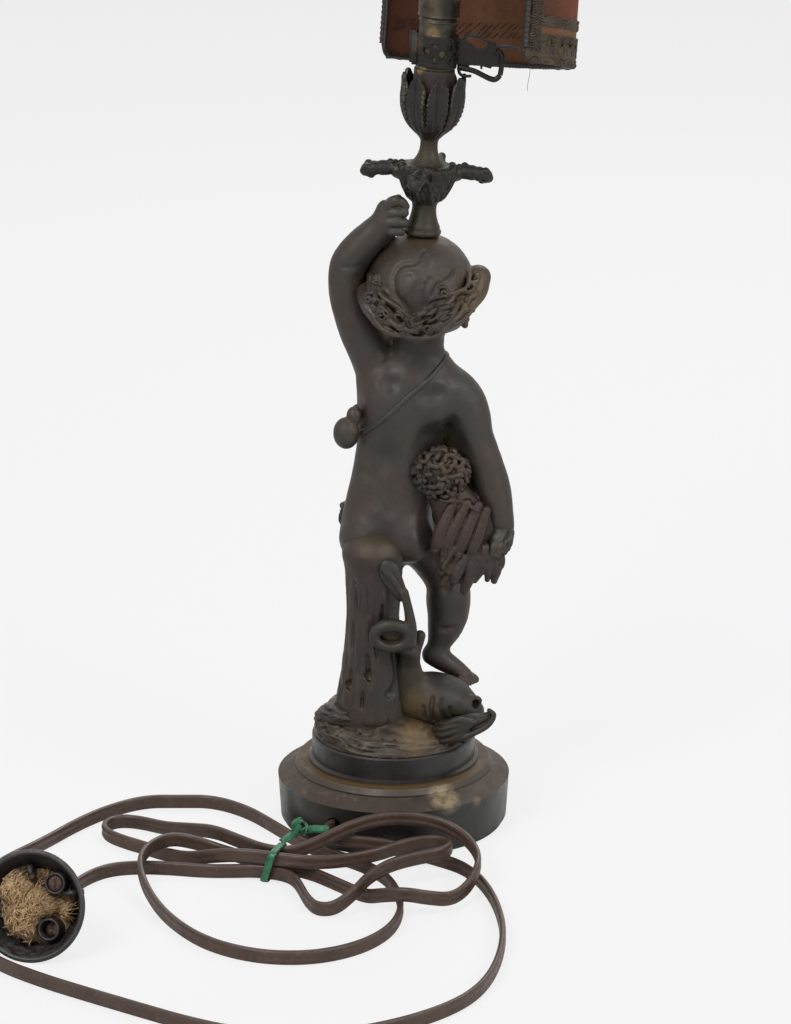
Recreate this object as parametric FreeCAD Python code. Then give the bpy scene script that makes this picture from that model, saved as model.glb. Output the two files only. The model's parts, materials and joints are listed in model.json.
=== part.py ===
import FreeCAD, Part
import math
import os

# A table lamp: a spelter putto with a sheaf, a tree stump and a dolphin on a turned plinth,
# a candle column on the head, a brass lampholder, and a clip-on half shade.
# Frame: +Z up, origin at the middle of the plinth's underside, millimetres. The figure faces +Y.

V = FreeCAD.Vector
Z_AXIS = V(0, 0, 1)

# ---- driving dimensions ----------------------------------------------------
GAP = 0.3                    # clearance between pieces that touch with curved faces

FELT_R = 57.0
FELT_T = 1.5
PLINTH_R = 60.0              # widest, at the rim
PLINTH_FOOT_R = 58.6         # where the side meets the felt
PLINTH_EDGE = 1.2            # rounding of the lower edge
RIM_Z = 24.5                 # top of the plinth's side
SHOULDER_R = 51.0            # where the sloping shoulder meets the step ring
SHOULDER_Z = 29.4
STEP_R = 49.2
PLINTH_TOP_Z = 33.0
DRUM_R = 42.2
DRUM_TOP_Z = 46.7
BEAD_R = 44.0                # bead at the drum's foot
CAVITY_R = 16.0              # wiring hollow under the plinth
CAVITY_TOP_Z = 20.0
LEAD_HOLE_R = 4.0
LEAD_HOLE_Z = 14.5
SCREW_OFFSET = 30.0
SCREW_R = 2.0
SCREW_HEAD_R = 4.0
SCREW_LENGTH = 34.0

LEAN = 4.1                   # degrees, the column leans towards +X
COLUMN_X = 14.4              # where the lean axis meets the top of the head
COLUMN_Z = 312.0
TUBE_R = 3.0                 # threaded tube through all the castings
TUBE_BORE_R = 2.0
TUBE_HOLE_R = TUBE_R + GAP
TUBE_BOTTOM = -297.0         # along the lean axis from COLUMN_Z
TUBE_TOP = 86.0
NUT_T = 4.0
WASHER_R = 9.0
WASHER_T = 1.5

STUMP_X = -10.5
STUMP_Y = -14.0
TAIL_R = 3.4
TAIL_RING_R = 7.8
HEAD_X = 13.0
HEAD_Y = 2.0
HEAD_Z = 282.0
SKULL_R = 25.5
HAIR_R = 28.3
HAIR_CURLS = 10
CURL_R = 6.7
CURLS_FROM = 215.0           # degrees about the head, from beside the raised arm
CURLS_TO = 375.0

FOOT_RING_R = 9.1            # column
COLUMN_NECK_R = 6.0
PAN_FROM = 15.4
PAN_TOP = 33.0
PAN_R = 14.6
PAN_ARM_REACH = 29.5
PAN_ARM_TURNS = (3.0, 78.0, 183.0, 258.0)
STEM_R = 4.3
STEM_TOP = 47.5
CUP_TOP = 78.0
CUP_R = 15.4
CUP_WALL = 1.8
CUP_FLOOR = 60.0
CUP_LEAVES = 8
CANDLE_R = 10.2
CANDLE_WALL = 0.9
CANDLE_TOP = 82.0

HOLDER_R = 9.6               # brass lampholder
HOLDER_WALL = 0.7
HOLDER_TOP = 108.0
HOLDER_FLOOR_T = 1.2
BARREL_R = HOLDER_R - HOLDER_WALL - GAP
BARREL_BORE_R = 7.9
BARREL_BOTTOM = 105.0
BARREL_TOP = 128.0
RING_R = 10.5
RING_BOTTOM = HOLDER_TOP + GAP
RING_TOP = 121.0
INSULATOR_BOTTOM = 96.0
INSULATOR_TOP = 104.6
PLUNGER_R = 1.2
PLUNGER_OFFSET = 3.4
PRESS_TRAVEL = 2.5
CAP_R = 7.5                  # bulb
CAP_BOTTOM = INSULATOR_TOP + 4.0
CAP_TOP = 133.0
CAP_PIN_RISE = 9.0           # bayonet pins above the cap's end
GLASS_R = 17.0
GLASS_NECK_R = 6.9
GLASS_TOP = 172.0
GLASS_WALL = 1.0
PIN_R = 1.0

BAND_R = HOLDER_R + GAP      # shade clip
BAND_WALL = 0.8
BAND_BOTTOM = 83.8
BAND_TOP = 99.6
BAND_SLANT = 6.0
BRACKET_T = 1.2
BRACKET_REACH = 32.0
PIVOT_X = 27.0
PIVOT_S = 95.0
PIVOT_R = 1.1
RIVET_HEAD_R = 2.2
RIVET_HEAD_T = 0.8
WIRE_R = 0.9
EYE_T = 1.6                  # eye of the carrier wire on the rivet
EYE_RIM = 1.4
PIVOT_FIT = 0.08             # running clearance of the eye on the rivet
CARRIER_ANGLE = -30.0        # where the carrier wire meets the shade's bottom wire

SHADE_R = 52.0               # half shade, in its own tilted frame
SHADE_H = 112.0
SHADE_T = 0.9
SHADE_X = 16.5               # shade centre from the lampholder's axis
SHADE_Y = 10.0
SHADE_BOTTOM = 86.0
SHADE_DIP = 13.0             # degrees, the far side hangs lower
SHADE_FROM = -52.0           # the panel's two free edges, degrees about its axis
SHADE_TO = 146.0
TRIM_H = 22.0
TRIM_T = 0.8
BRAID_W = 8.0

CORD_D = 7.2                 # the flat cord's broad side
CORD_Z = CORD_D / 2
TIE_AT = V(-60.0, -86.0, 8.75)
TIE_TURN = -20.0
TIE_GAP = 0.3
TIE_WALL = 0.9
TIE_W = 3.6
TIE_CORNER_R = 3.4
STRAND_PITCH = 7.75

PLUG_R = 27.3
PLUG_BACK_R = 19.0
PLUG_DEPTH = 20.0
PLUG_WALL = 2.6
PLUG_X = -173.0              # where the middle of the plug's open side lies
PLUG_Y = -180.0
PLUG_RISE = 20.7             # degrees, the plug leans back on its lowest pin
PLUG_TURN = -14.0            # degrees about Z, away from -Y
PLUG_PIN_R = 2.4
PLUG_PIN_ROOT_R = 3.4        # shoulder of a pin, moulded into the plug's back
PLUG_PIN_LENGTH = 15.5
PLUG_PIN_OFFSET = 11.0
PLUG_ENTRY_X = 4.0
PLUG_ENTRY_UP = 5.0
PLUG_BOSS_R = 4.6
PLUG_BOSS_H = 9.0
PLUG_WELL_R = 3.0


# ---- helpers ---------------------------------------------------------------
def lean_frame():
    """Where the column's own axis stands: heights along it start at the top of the head."""
    return FreeCAD.Placement(V(COLUMN_X, 0, COLUMN_Z), FreeCAD.Rotation(V(0, 1, 0), LEAN))


def leaned(shape):
    moved = shape.copy()
    moved.Placement = lean_frame().multiply(moved.Placement)
    return moved


def lean_point(s):
    return lean_frame().multVec(V(0, 0, s))


def rod_x(z):
    """X of the lean axis at height z."""
    return COLUMN_X + (z - COLUMN_Z) * math.tan(math.radians(LEAN))


def turned(outline, smooth=True):
    """Solid of revolution about Z. The outline runs from bottom to top as (radius, height)."""
    points = [V(r, 0, z) for r, z in outline]
    if smooth:
        curve = Part.BSplineCurve()
        curve.interpolate(points)
        edges = [curve.toShape()]
    else:
        edges = [Part.LineSegment(a, b).toShape() for a, b in zip(points, points[1:])]
    axis_top = V(0, 0, points[-1].z)
    axis_bottom = V(0, 0, points[0].z)
    if points[-1].x > 1e-6:
        edges.append(Part.LineSegment(points[-1], axis_top).toShape())
    edges.append(Part.LineSegment(axis_top, axis_bottom).toShape())
    if points[0].x > 1e-6:
        edges.append(Part.LineSegment(axis_bottom, points[0]).toShape())
    face = Part.Face(Part.Wire(edges))
    return face.revolve(V(0, 0, 0), Z_AXIS, 360)


def rod(a, b, radius):
    return Part.makeCylinder(radius, (b - a).Length, a, b - a)


def ring(r_out, r_in, bottom, top):
    outer = Part.makeCylinder(r_out, top - bottom, V(0, 0, bottom))
    return outer.cut(Part.makeCylinder(r_in, top - bottom, V(0, 0, bottom)))


def ball(centre, radii, turn=0.0, about=Z_AXIS):
    """Ellipsoid with its three half sizes, or a sphere."""
    if min(radii) == max(radii):
        return Part.makeSphere(radii[0], V(*centre))
    matrix = FreeCAD.Matrix()
    matrix.scale(*radii)
    shape = Part.makeSphere(1.0).transformGeometry(matrix)
    shape.Placement = FreeCAD.Placement(V(*centre), FreeCAD.Rotation(about, turn))
    return shape


def stacked(sections):
    """Loft through level ellipses given as (z, x, y, half width, half depth)."""
    wires = []
    for z, x, y, across, deep in sections:
        oval = Part.Ellipse(V(0, 0, 0), max(across, deep), min(across, deep))
        wire = Part.Wire([oval.toShape()])
        if deep > across:
            wire.Placement = FreeCAD.Placement(V(x, y, z), FreeCAD.Rotation(Z_AXIS, 90))
        else:
            wire.Placement = FreeCAD.Placement(V(x, y, z), FreeCAD.Rotation())
        wires.append(wire)
    return Part.makeLoft(wires, True, False)


def limb(stations):
    """Loft through circles square to the limb's run, given as (x, y, z, radius)."""
    points = [V(*s[:3]) for s in stations]
    wires = []
    for i, station in enumerate(stations):
        before = points[max(i - 1, 0)]
        after = points[min(i + 1, len(points) - 1)]
        wire = Part.Wire([Part.Circle(V(0, 0, 0), Z_AXIS, station[3]).toShape()])
        wire.Placement = FreeCAD.Placement(points[i], FreeCAD.Rotation(Z_AXIS, after - before))
        wires.append(wire)
    return Part.makeLoft(wires, True, False)


def finger(a, b, radius):
    shape = rod(V(*a), V(*b), radius)
    return shape.fuse([Part.makeSphere(radius, V(*a)), Part.makeSphere(radius, V(*b))])


def joined(shapes):
    return shapes[0].fuse(shapes[1:]) if len(shapes) > 1 else shapes[0]


def tangent_path(points):
    """Straight runs joined by tangent arcs, each as large as its two runs allow."""
    edges = []
    radii = []
    length = 0.0
    here = points[0]
    for before, corner, after in zip(points, points[1:], points[2:]):
        run_in = corner - before
        run_out = after - corner
        turn = run_in.getAngle(run_out)
        cut = 0.45 * min(run_in.Length, run_out.Length)
        radius = cut / math.tan(turn / 2)
        start = corner - run_in.normalize() * cut
        end = corner + run_out.normalize() * cut
        inward = (start - corner) + (end - corner)
        to_middle = math.hypot(radius, cut) - radius
        middle = corner + inward.normalize() * to_middle
        edges.append(Part.LineSegment(here, start).toShape())
        edges.append(Part.Arc(start, middle, end).toShape())
        length += (start - here).Length + radius * turn
        radii.append(radius)
        here = end
    edges.append(Part.LineSegment(here, points[-1]).toShape())
    length += (points[-1] - here).Length
    return Part.Wire(edges), radii, length


def tube_along(points, radius):
    path, radii, length = tangent_path(points)
    section = Part.Wire([Part.Circle(points[0], points[1] - points[0], radius).toShape()])
    return path.makePipeShell([section], True, False), path, radii, length


# ---- the plinth ------------------------------------------------------------
def felt_pad():
    return Part.makeCylinder(FELT_R, FELT_T)


def lead_direction():
    x, y = LEAD_EXIT[0], LEAD_EXIT[1]
    return V(x, y, 0).normalize()


def plinth_foot():
    side = PLINTH_R - 0.15
    outline = [(PLINTH_FOOT_R - PLINTH_EDGE, FELT_T), (PLINTH_FOOT_R, FELT_T + PLINTH_EDGE),
               (side, RIM_Z - 0.8), (PLINTH_R, RIM_Z), (SHOULDER_R, SHOULDER_Z),
               (SHOULDER_R, SHOULDER_Z + 0.8), (STEP_R, PLINTH_TOP_Z)]
    body = turned(outline, smooth=False)
    hollow = Part.makeCylinder(CAVITY_R, CAVITY_TOP_Z - FELT_T, V(0, 0, FELT_T))
    hole = Part.makeCylinder(LEAD_HOLE_R, PLINTH_R, V(0, 0, LEAD_HOLE_Z), lead_direction())
    return body.cut(hollow.fuse([hole, tube_hole()] + screw_holes()))


def plinth_drum():
    outline = [(BEAD_R, PLINTH_TOP_Z), (BEAD_R, PLINTH_TOP_Z + 1.4), (DRUM_R, PLINTH_TOP_Z + 2.4),
               (DRUM_R, DRUM_TOP_Z - 0.8), (DRUM_R - 0.8, DRUM_TOP_Z)]
    return turned(outline, smooth=False).cut(tube_hole().fuse(screw_holes()))


def tube_hole():
    return leaned(Part.makeCylinder(TUBE_HOLE_R, TUBE_TOP - TUBE_BOTTOM + 40, V(0, 0, TUBE_BOTTOM - 20)))


def screw_places():
    return [V(side * SCREW_OFFSET, 0, FELT_T) for side in (-1, 1)]


def screw(place, slack):
    shank = Part.makeCylinder(SCREW_R + slack, SCREW_LENGTH + slack, place)
    head = Part.makeCylinder(SCREW_HEAD_R + slack, 2.2 + slack, place)
    return shank.fuse(head).removeSplitter()


def screw_holes():
    return [screw(place, GAP) for place in screw_places()]


def base_screws():
    lift = V(0, 0, GAP / 2)
    return Part.makeCompound([screw(place + lift, 0.0) for place in screw_places()])


# ---- the stack on the threaded tube ------------------------------------------
def nut_seat():
    """Distance along the lean axis of the plinth hollow's roof, with room for the washer's lean."""
    dip = (WASHER_R + 1.0) * math.tan(math.radians(LEAN))
    return (CAVITY_TOP_Z - dip - COLUMN_Z) / math.cos(math.radians(LEAN))


def centre_tube():
    body = Part.makeCylinder(TUBE_R, TUBE_TOP - TUBE_BOTTOM, V(0, 0, TUBE_BOTTOM))
    bore = Part.makeCylinder(TUBE_BORE_R, TUBE_TOP - TUBE_BOTTOM, V(0, 0, TUBE_BOTTOM))
    return leaned(body.cut(bore))


def inner_lead():
    radius = TUBE_BORE_R - GAP
    return leaned(Part.makeCylinder(radius, INSULATOR_BOTTOM - TUBE_BOTTOM, V(0, 0, TUBE_BOTTOM)))


def hexagon(across, thick, s, hole_r):
    corner = across / math.sqrt(3)
    points = [V(corner * math.cos(math.radians(60 * k)), corner * math.sin(math.radians(60 * k)), s)
              for k in range(7)]
    body = Part.Face(Part.makePolygon(points)).extrude(V(0, 0, thick))
    return body.cut(Part.makeCylinder(hole_r, thick, V(0, 0, s)))


def base_washer():
    return leaned(ring(WASHER_R, TUBE_R, nut_seat() - WASHER_T, nut_seat()))


def base_nut():
    return leaned(hexagon(11.0, NUT_T, nut_seat() - WASHER_T - NUT_T, TUBE_R))


def top_nut():
    return leaned(hexagon(10.0, 2.4, CANDLE_TOP + HOLDER_FLOOR_T, TUBE_R))


# ---- ground, stump and dolphin ---------------------------------------------
def ground_casting():
    mound = stacked([(DRUM_TOP_Z, 0, 0, 41.4, 41.4), (52.0, -0.6, 0, 40.0, 39.4),
                     (56.5, -2.5, 1, 35.0, 34.0), (61.0, -5.0, 2, 28.0, 27.0), (65.0, -6.0, 1, 20.0, 20.0)])
    ledges = [ball((-25, -19, 53), (12, 10, 6.0)), ball((-5, -28, 52), (17, 9, 5.4)),
              ball((20, 22, 52), (14, 12, 6.0)), ball((-20, 21, 54), (13, 12, 6.0))]
    whole = joined([mound] + ledges)
    floor = Part.makeCylinder(DRUM_R + 20, 20, V(0, 0, DRUM_TOP_Z - 20))
    return whole.cut(floor.fuse(tube_hole()))


def tree_stump(others):
    trunk = stacked([(56.0, STUMP_X - 1.5, STUMP_Y + 1, 23.5, 15.0), (62.0, STUMP_X - 1.0, STUMP_Y, 20.5, 14.8),
                     (71.0, STUMP_X - 0.5, STUMP_Y, 18.2, 14.4), (84.0, STUMP_X - 0.2, STUMP_Y, 16.4, 14.0),
                     (100.0, STUMP_X, STUMP_Y, 14.6, 13.6), (118.0, STUMP_X + 0.2, STUMP_Y, 13.7, 13.4),
                     (136.0, STUMP_X + 0.2, STUMP_Y, 14.2, 13.6), (145.0, STUMP_X, STUMP_Y, 14.4, 13.8)])
    crown = ball((STUMP_X, STUMP_Y - 1.5, 142.5), (14.2, 12.4, 12.0))
    whole = joined([trunk, crown])
    return solid_of(whole.cut(others + [tube_hole()]))


def dolphin_body(others):
    body = ball((22.5, -11, 67.5), (20.5, 15.5, 14.5), 12, V(0, 1, 0))
    snout = ball((39.5, -15, 62), (7.5, 7.0, 6.5))
    rise = limb([(11, -14, 70, 9.0), (9.0, -17, 80, 7.6), (8.2, -20, 89, 6.0), (8.6, -22.5, 97, 4.4)])
    return solid_of(joined([body, snout, rise]).cut(others + [tube_hole()]))


def dolphin_tail(others):
    """Tail curled into an upright ring, with a broad fluke laid on the stump."""
    loop = Part.makeTorus(TAIL_RING_R, TAIL_R, V(0.0, -32.0, 109.0), V(0, 1, 0))
    root = limb([(8.6, -22.5, 95.0, 4.0), (8.2, -26.0, 99.0, 3.8), (6.0, -30.0, 101.5, 3.4)])
    stem = limb([(6.2, -31.5, 109.0, 3.2), (8.4, -31.0, 116.0, 2.9), (7.6, -30.6, 124.0, 2.6),
                 (5.0, -30.0, 131.0, 2.4)])
    fluke = stacked([(128.0, 3.4, -30.0, 2.8, 1.8), (131.0, 1.8, -30.0, 4.8, 2.2),
                     (135.0, 0.0, -29.8, 6.6, 2.3), (139.5, -0.8, -29.6, 6.9, 2.2),
                     (143.0, -0.4, -29.4, 5.6, 1.9), (146.0, 0.4, -29.2, 3.0, 1.4)])
    return solid_of(joined([loop, root, stem, fluke]).cut(others + [tube_hole()]))


def dolphin_leaf(others):
    blade = limb([(14, -26, 50.5, 3.0), (21, -28, 52.0, 6.4), (29, -29.5, 54.0, 7.0), (37, -30.5, 56.4, 5.6),
                  (44, -31.3, 59.6, 3.8), (50, -32, 63.5, 1.6)])
    floor = Part.makeCylinder(2 * DRUM_R, 20, V(0, 0, DRUM_TOP_Z - 20))
    return solid_of(blade.cut(others + [floor]))


def solid_of(shape):
    """The largest solid of a cut, without its slivers."""
    return max(shape.Solids, key=lambda s: s.Volume)


# ---- the figure --------------------------------------------------------------
TORSO = [(135.5, -3.5, 1.0, 14.0, 13.0), (142.0, -3.8, 0.0, 20.5, 18.0), (152.0, -4.2, -0.5, 22.8, 20.5),
         (163.0, -3.6, 0.0, 22.8, 19.5), (175.0, -1.6, 1.0, 22.0, 17.6), (188.0, 0.6, 1.5, 21.2, 16.6),
         (200.0, 2.6, 2.0, 21.4, 16.2), (212.0, 4.2, 2.0, 22.6, 16.8), (225.0, 6.2, 2.0, 24.4, 17.2),
         (236.0, 8.8, 2.0, 25.0, 16.0), (244.5, 10.6, 2.0, 22.0, 14.0), (251.5, 12.4, 1.6, 15.0, 12.0),
         (258.0, 13.2, 1.2, 12.4, 11.2), (266.0, 13.2, 1.2, 12.0, 11.6)]


def swollen(extra):
    """The torso grown sideways, for what is wrapped round it."""
    return stacked([(z, x, y, a + extra, d + extra) for z, x, y, a, d in TORSO])


def figure_torso():
    blades = [ball((-6, -9, 226), (9, 6, 12)), ball((20, -9, 225), (9, 6, 12))]
    seat = [ball((-14.5, -9, 150), (12.2, 12, 13)), ball((8.0, -9, 150), (12.2, 12, 13))]
    belly = [ball((2, 9, 186), (17, 14, 20))]
    return solid_of(joined([stacked(TORSO)] + blades + seat + belly).cut(tube_hole()))


def standing_leg(others):
    stations = [(148, -1.0, 3, 14), (136, 0.0, 3, 13.2), (124, 0.4, 3.5, 12.0), (112, 0.2, 4.5, 11.2),
                (100, -1.0, 3.5, 11.0), (88, -2.2, 2.5, 9.4), (76, -2.8, 2.0, 7.2), (67, -3.2, 2.0, 6.8),
                (61, -3.6, 3.0, 7.6)]
    leg = limb([(x, y, z, r) for z, x, y, r in stations])
    foot = ball((-4.5, 13, 62.5), (6.6, 13.5, 4.6))
    return solid_of(joined([leg, foot]).cut(others + [tube_hole()]))


def bent_leg(others):
    leg = limb([(7, 4, 152, 13.5), (17, 12, 138, 12.8), (26, 15, 124, 11.6), (28.6, 12, 112, 11.0),
                (27.0, 9, 102, 9.4), (24.0, 7, 93.5, 6.4), (22.0, 6, 87.5, 5.8)])
    foot = limb([(19.5, 5.5, 86.5, 4.8), (24, 5, 84.5, 5.8), (32, 3.5, 81.5, 5.2), (39.5, 2, 79.0, 4.2),
                 (43.5, 1, 77.8, 2.6)])
    return solid_of(joined([leg, foot]).cut(others + [tube_hole()]))


def raised_arm(others):
    arm = limb([(-8.0, 2, 236, 11.0), (-13.0, 2, 248, 10.0), (-18.9, 1, 261, 8.8), (-23.2, 0, 275, 8.2),
                (-24.4, -1, 287, 8.2), (-23.2, -2, 296, 8.4), (-18.2, -3, 304, 8.0), (-11.5, -4.5, 311.5, 6.8),
                (-5.8, -6, 317.8, 5.6)])
    palm = finger((-3.0, -7.0, 316.5), (-2.2, -7.0, 324.0), 5.4)
    knuckles = [(327.4, 0.5, 5.0, 2.7), (322.0, -1.5, 5.4, 2.9), (316.6, -1.5, 4.6, 2.8),
                (312.4, -1.5, 3.6, 2.1)]
    fingers = [finger((x0, -10.0, z), (x1, -8.6, z - 0.6), r) for z, x0, x1, r in knuckles]
    thumb = finger((-3, -3.2, 326), (2.0, -1.6, 328.0), 2.2)
    return solid_of(joined([arm, palm, thumb] + fingers).cut(others))


def lowered_arm(others):
    arm = limb([(26, 2, 237, 10.4), (33.5, 1, 230, 11.0), (38.4, 0, 218, 10.2), (42.0, -1, 204, 9.4),
                (47.0, -2.5, 190, 9.0), (50.8, -4, 178, 8.6), (53.8, -6.5, 166, 7.4), (55.6, -9, 156, 5.6),
                (54.8, -11, 149, 5.2)])
    palm = ball((51.5, -12, 144.5), (6.6, 5.2, 8.0), 25, V(0, 1, 0))
    fingers = [finger((50 - 2.2 * k, -15.0, 145 - 2.6 * k), (44.5 - 1.4 * k, -15.6, 140.2 - 3.4 * k), 2.3)
               for k in range(4)]
    return solid_of(joined([arm, palm] + fingers).cut(others))


def figure_head(others):
    skull = ball((HEAD_X, HEAD_Y, HEAD_Z), (SKULL_R, SKULL_R, SKULL_R))
    jaw = ball((HEAD_X, HEAD_Y + 9, HEAD_Z - 12), (15, 15, 15))
    cheeks = [ball((HEAD_X + side * 10, HEAD_Y + 16, HEAD_Z - 11), (7.6, 7.6, 7.6)) for side in (-1, 1)]
    nose = ball((HEAD_X, HEAD_Y + 25.5, HEAD_Z - 10), (3.4, 3.4, 3.4))
    ears = [ball((HEAD_X + side * 23, HEAD_Y + 3, HEAD_Z - 6), (4.8, 4.8, 4.8)) for side in (-1, 1)]
    return solid_of(joined([skull, jaw, nose] + cheeks + ears).cut(others + [tube_hole()]))


def hair(head, others):
    """Combed cap with a roll of curls round the nape."""
    shell = ball((HEAD_X + 0.4, HEAD_Y - 0.6, HEAD_Z + 0.6), (HAIR_R, HAIR_R, HAIR_R))
    face_side = Part.makeBox(80, 60, 46, V(HEAD_X - 40, HEAD_Y + 9, HEAD_Z - 34))
    under = Part.makeBox(80, 80, 30, V(HEAD_X - 40, HEAD_Y - 40, HEAD_Z - 44))
    cap = shell.cut([face_side, under])
    curls = []
    for k in range(HAIR_CURLS):
        angle = math.radians(CURLS_FROM + (CURLS_TO - CURLS_FROM) * k / (HAIR_CURLS - 1))
        x = HEAD_X + 25.5 * math.cos(angle)
        y = HEAD_Y + 23.5 * math.sin(angle)
        drop = 12.0 + 8.0 * abs(math.sin(angle))
        curls.append(Part.makeSphere(CURL_R, V(x, y, HEAD_Z - drop)))
    side_curl = Part.makeSphere(CURL_R, V(HEAD_X + 31.0, HEAD_Y + 1, HEAD_Z + 1))
    return solid_of(joined([cap, side_curl] + curls).cut([head, tube_hole()] + others))


def shoulder_strap(others):
    band = swollen(1.5).cut([swollen(0.0)])
    slab = Part.makeBox(90, 90, 4.4, V(-45, -45, -2.2))
    slab.Placement = FreeCAD.Placement(V(6, 0, 229), FreeCAD.Rotation(V(0, 1, 0), -42))
    return solid_of(band.common(slab).cut(others))


def gourd_flask():
    """Gourd bottle with a waist, hung from the strap."""
    outline = [(0.0, -8.0), (4.4, -6.4), (6.4, -0.4), (4.7, 4.6), (2.7, 7.2), (3.7, 10.2), (2.6, 13.2),
               (1.1, 14.6), (1.1, 16.0)]
    flask = turned(outline)
    flask.Placement = FreeCAD.Placement(V(-24.1, -7.95, 209.0), FreeCAD.Rotation(V(0, 1, 0), 25.0))
    return flask


def sheaf_ears(others):
    heart = ball((24.0, -13.0, 190.5), (12.4, 12.4, 12.4))
    grains = []
    for k in range(9):
        angle = math.radians(40 * k)
        place = (24.0 + 9.6 * math.cos(angle), -19.0, 190.5 + 9.6 * math.sin(angle))
        grains.append(ball(place, (4.3, 4.3, 4.3)))
    return solid_of(joined([heart] + grains).cut(others))


def sheaf_stalks(others):
    bundle = stacked([(187.0, 25.0, -9.0, 10.0, 7.0), (176.0, 30.0, -9.5, 14.5, 8.6),
                      (164.0, 34.6, -9.5, 16.6, 8.4),
                      (152.0, 37.0, -8.5, 15.0, 7.6), (141.0, 37.0, -7.0, 10.5, 6.6), (130.0, 35.6, -5.5, 5.6, 5.0)])
    return solid_of(bundle.cut(others))


def loin_drape(others):
    band = swollen(2.2).cut([swollen(0.0)])
    front = Part.makeBox(70, 40, 26, V(-36, 6.0, 143))
    return solid_of(band.common(front).cut(others))


# ---- column, pan and cup (own heights along the lean axis) -----------------------
def column_foot(others):
    outline = [(FOOT_RING_R, -1.2), (FOOT_RING_R, 1.2), (8.3, 2.4), (8.3, 3.2), (6.6, 7.0),
               (COLUMN_NECK_R, 12.0), (6.2, 14.6), (7.0, PAN_FROM)]
    body = leaned(turned(outline, smooth=False))
    return solid_of(body.cut(others + [tube_hole()]))


def drip_pan(others):
    outline = [(7.0, PAN_FROM), (10.5, 18.5), (12.6, 23.0), (PAN_R - 0.4, 28.0), (PAN_R, 31.2),
               (PAN_R - 1.0, PAN_TOP)]
    bowl = turned(outline, smooth=False)
    arms = []
    for degrees in PAN_ARM_TURNS:
        turn = math.radians(degrees)
        reach = [(9.0, 29.0, 3.6), (15.0, 31.4, 3.2), (20.0, 32.0, 2.6), (25.0, 31.2, 3.4),
                 (PAN_ARM_REACH, 30.4, 2.4)]
        arms.append(limb([(r * math.cos(turn), r * math.sin(turn), s, w) for r, s, w in reach]))
    whole = leaned(joined([bowl] + arms))
    return solid_of(whole.cut(others + [tube_hole()]))


def stem_with_cup():
    """The tulip leaves, with their stem, as one casting."""
    outline = [(10.4, PAN_TOP), (8.2, 34.6), (5.6, 38.0), (STEM_R, 42.0), (STEM_R, 46.0),
               (6.6, 48.6), (10.8, 53.4), (13.9, 59.5), (CUP_R, 67.0), (CUP_R - 0.2, 73.0),
               (CUP_R + 0.5, CUP_TOP)]
    body = turned(outline)
    inside = Part.makeCylinder(CUP_R - CUP_WALL, CUP_TOP - CUP_FLOOR - 4, V(0, 0, CUP_FLOOR + 4))
    funnel = Part.makeCone(CANDLE_R + GAP, CUP_R - CUP_WALL, 4.0, V(0, 0, CUP_FLOOR))
    cuts = [inside, funnel]
    for k in range(CUP_LEAVES):
        notch = Part.makePolygon([V(10, -2.4, CUP_TOP + 1), V(10, 2.4, CUP_TOP + 1), V(10, 0, CUP_TOP - 9),
                                  V(10, -2.4, CUP_TOP + 1)])
        wedge = Part.Face(notch).extrude(V(10, 0, 0))
        wedge.rotate(V(0, 0, 0), Z_AXIS, 360.0 / CUP_LEAVES * k)
        cuts.append(wedge)
    return solid_of(leaned(body.cut(cuts)).cut([tube_hole()]))


def candle_tube():
    """Card candle sleeve standing in the cup, with a disc at the top that carries the lampholder."""
    sleeve = ring(CANDLE_R, CANDLE_R - CANDLE_WALL, CUP_FLOOR, CANDLE_TOP)
    disc = ring(CANDLE_R, TUBE_R + GAP, CANDLE_TOP - 1.6, CANDLE_TOP)
    return leaned(sleeve.fuse(disc).removeSplitter())


# ---- lampholder and bulb --------------------------------------------------------
def holder_cup():
    body = Part.makeCylinder(HOLDER_R, HOLDER_TOP - CANDLE_TOP, V(0, 0, CANDLE_TOP))
    inside_bottom = CANDLE_TOP + HOLDER_FLOOR_T
    inside = Part.makeCylinder(HOLDER_R - HOLDER_WALL, HOLDER_TOP - inside_bottom, V(0, 0, inside_bottom))
    hole = Part.makeCylinder(TUBE_HOLE_R, HOLDER_FLOOR_T, V(0, 0, CANDLE_TOP))
    return leaned(body.cut([inside, hole]))


def holder_insulator():
    height = INSULATOR_TOP - INSULATOR_BOTTOM
    body = Part.makeCylinder(HOLDER_R - HOLDER_WALL, height, V(0, 0, INSULATOR_BOTTOM))
    for side in (-1, 1):
        deep = PRESS_TRAVEL + 4.0
        well = Part.makeCylinder(PLUNGER_R + GAP / 2, deep, V(side * PLUNGER_OFFSET, 0, INSULATOR_TOP - deep))
        body = body.cut(well)
    return leaned(body)


def contact_plungers():
    bottom = INSULATOR_TOP - 3.4
    pins = [Part.makeCylinder(PLUNGER_R, CAP_BOTTOM - bottom, V(side * PLUNGER_OFFSET, 0, bottom))
            for side in (-1, 1)]
    return leaned(Part.makeCompound(pins))


def cap_pin_level():
    return CAP_BOTTOM + CAP_PIN_RISE


def holder_barrel():
    body = ring(BARREL_R, BARREL_BORE_R, BARREL_BOTTOM, BARREL_TOP)
    for side in (-1, 1):
        slot = Part.makeBox(4, 2 * (PIN_R + GAP), BARREL_TOP - cap_pin_level() + PRESS_TRAVEL + 2,
                            V(-2, -(PIN_R + GAP), cap_pin_level() - PRESS_TRAVEL - PIN_R - GAP))
        slot.translate(V(0, side * BARREL_R, 0))
        slot.rotate(V(0, 0, 0), Z_AXIS, 90)
        body = body.cut(slot)
    return leaned(body)


def shade_ring():
    body = ring(RING_R, BARREL_R + GAP, RING_BOTTOM, RING_TOP)
    groove = ring(RING_R + 1, RING_R - 0.5, RING_BOTTOM + 5.0, RING_BOTTOM + 6.2)
    return leaned(body.cut(groove))


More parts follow.
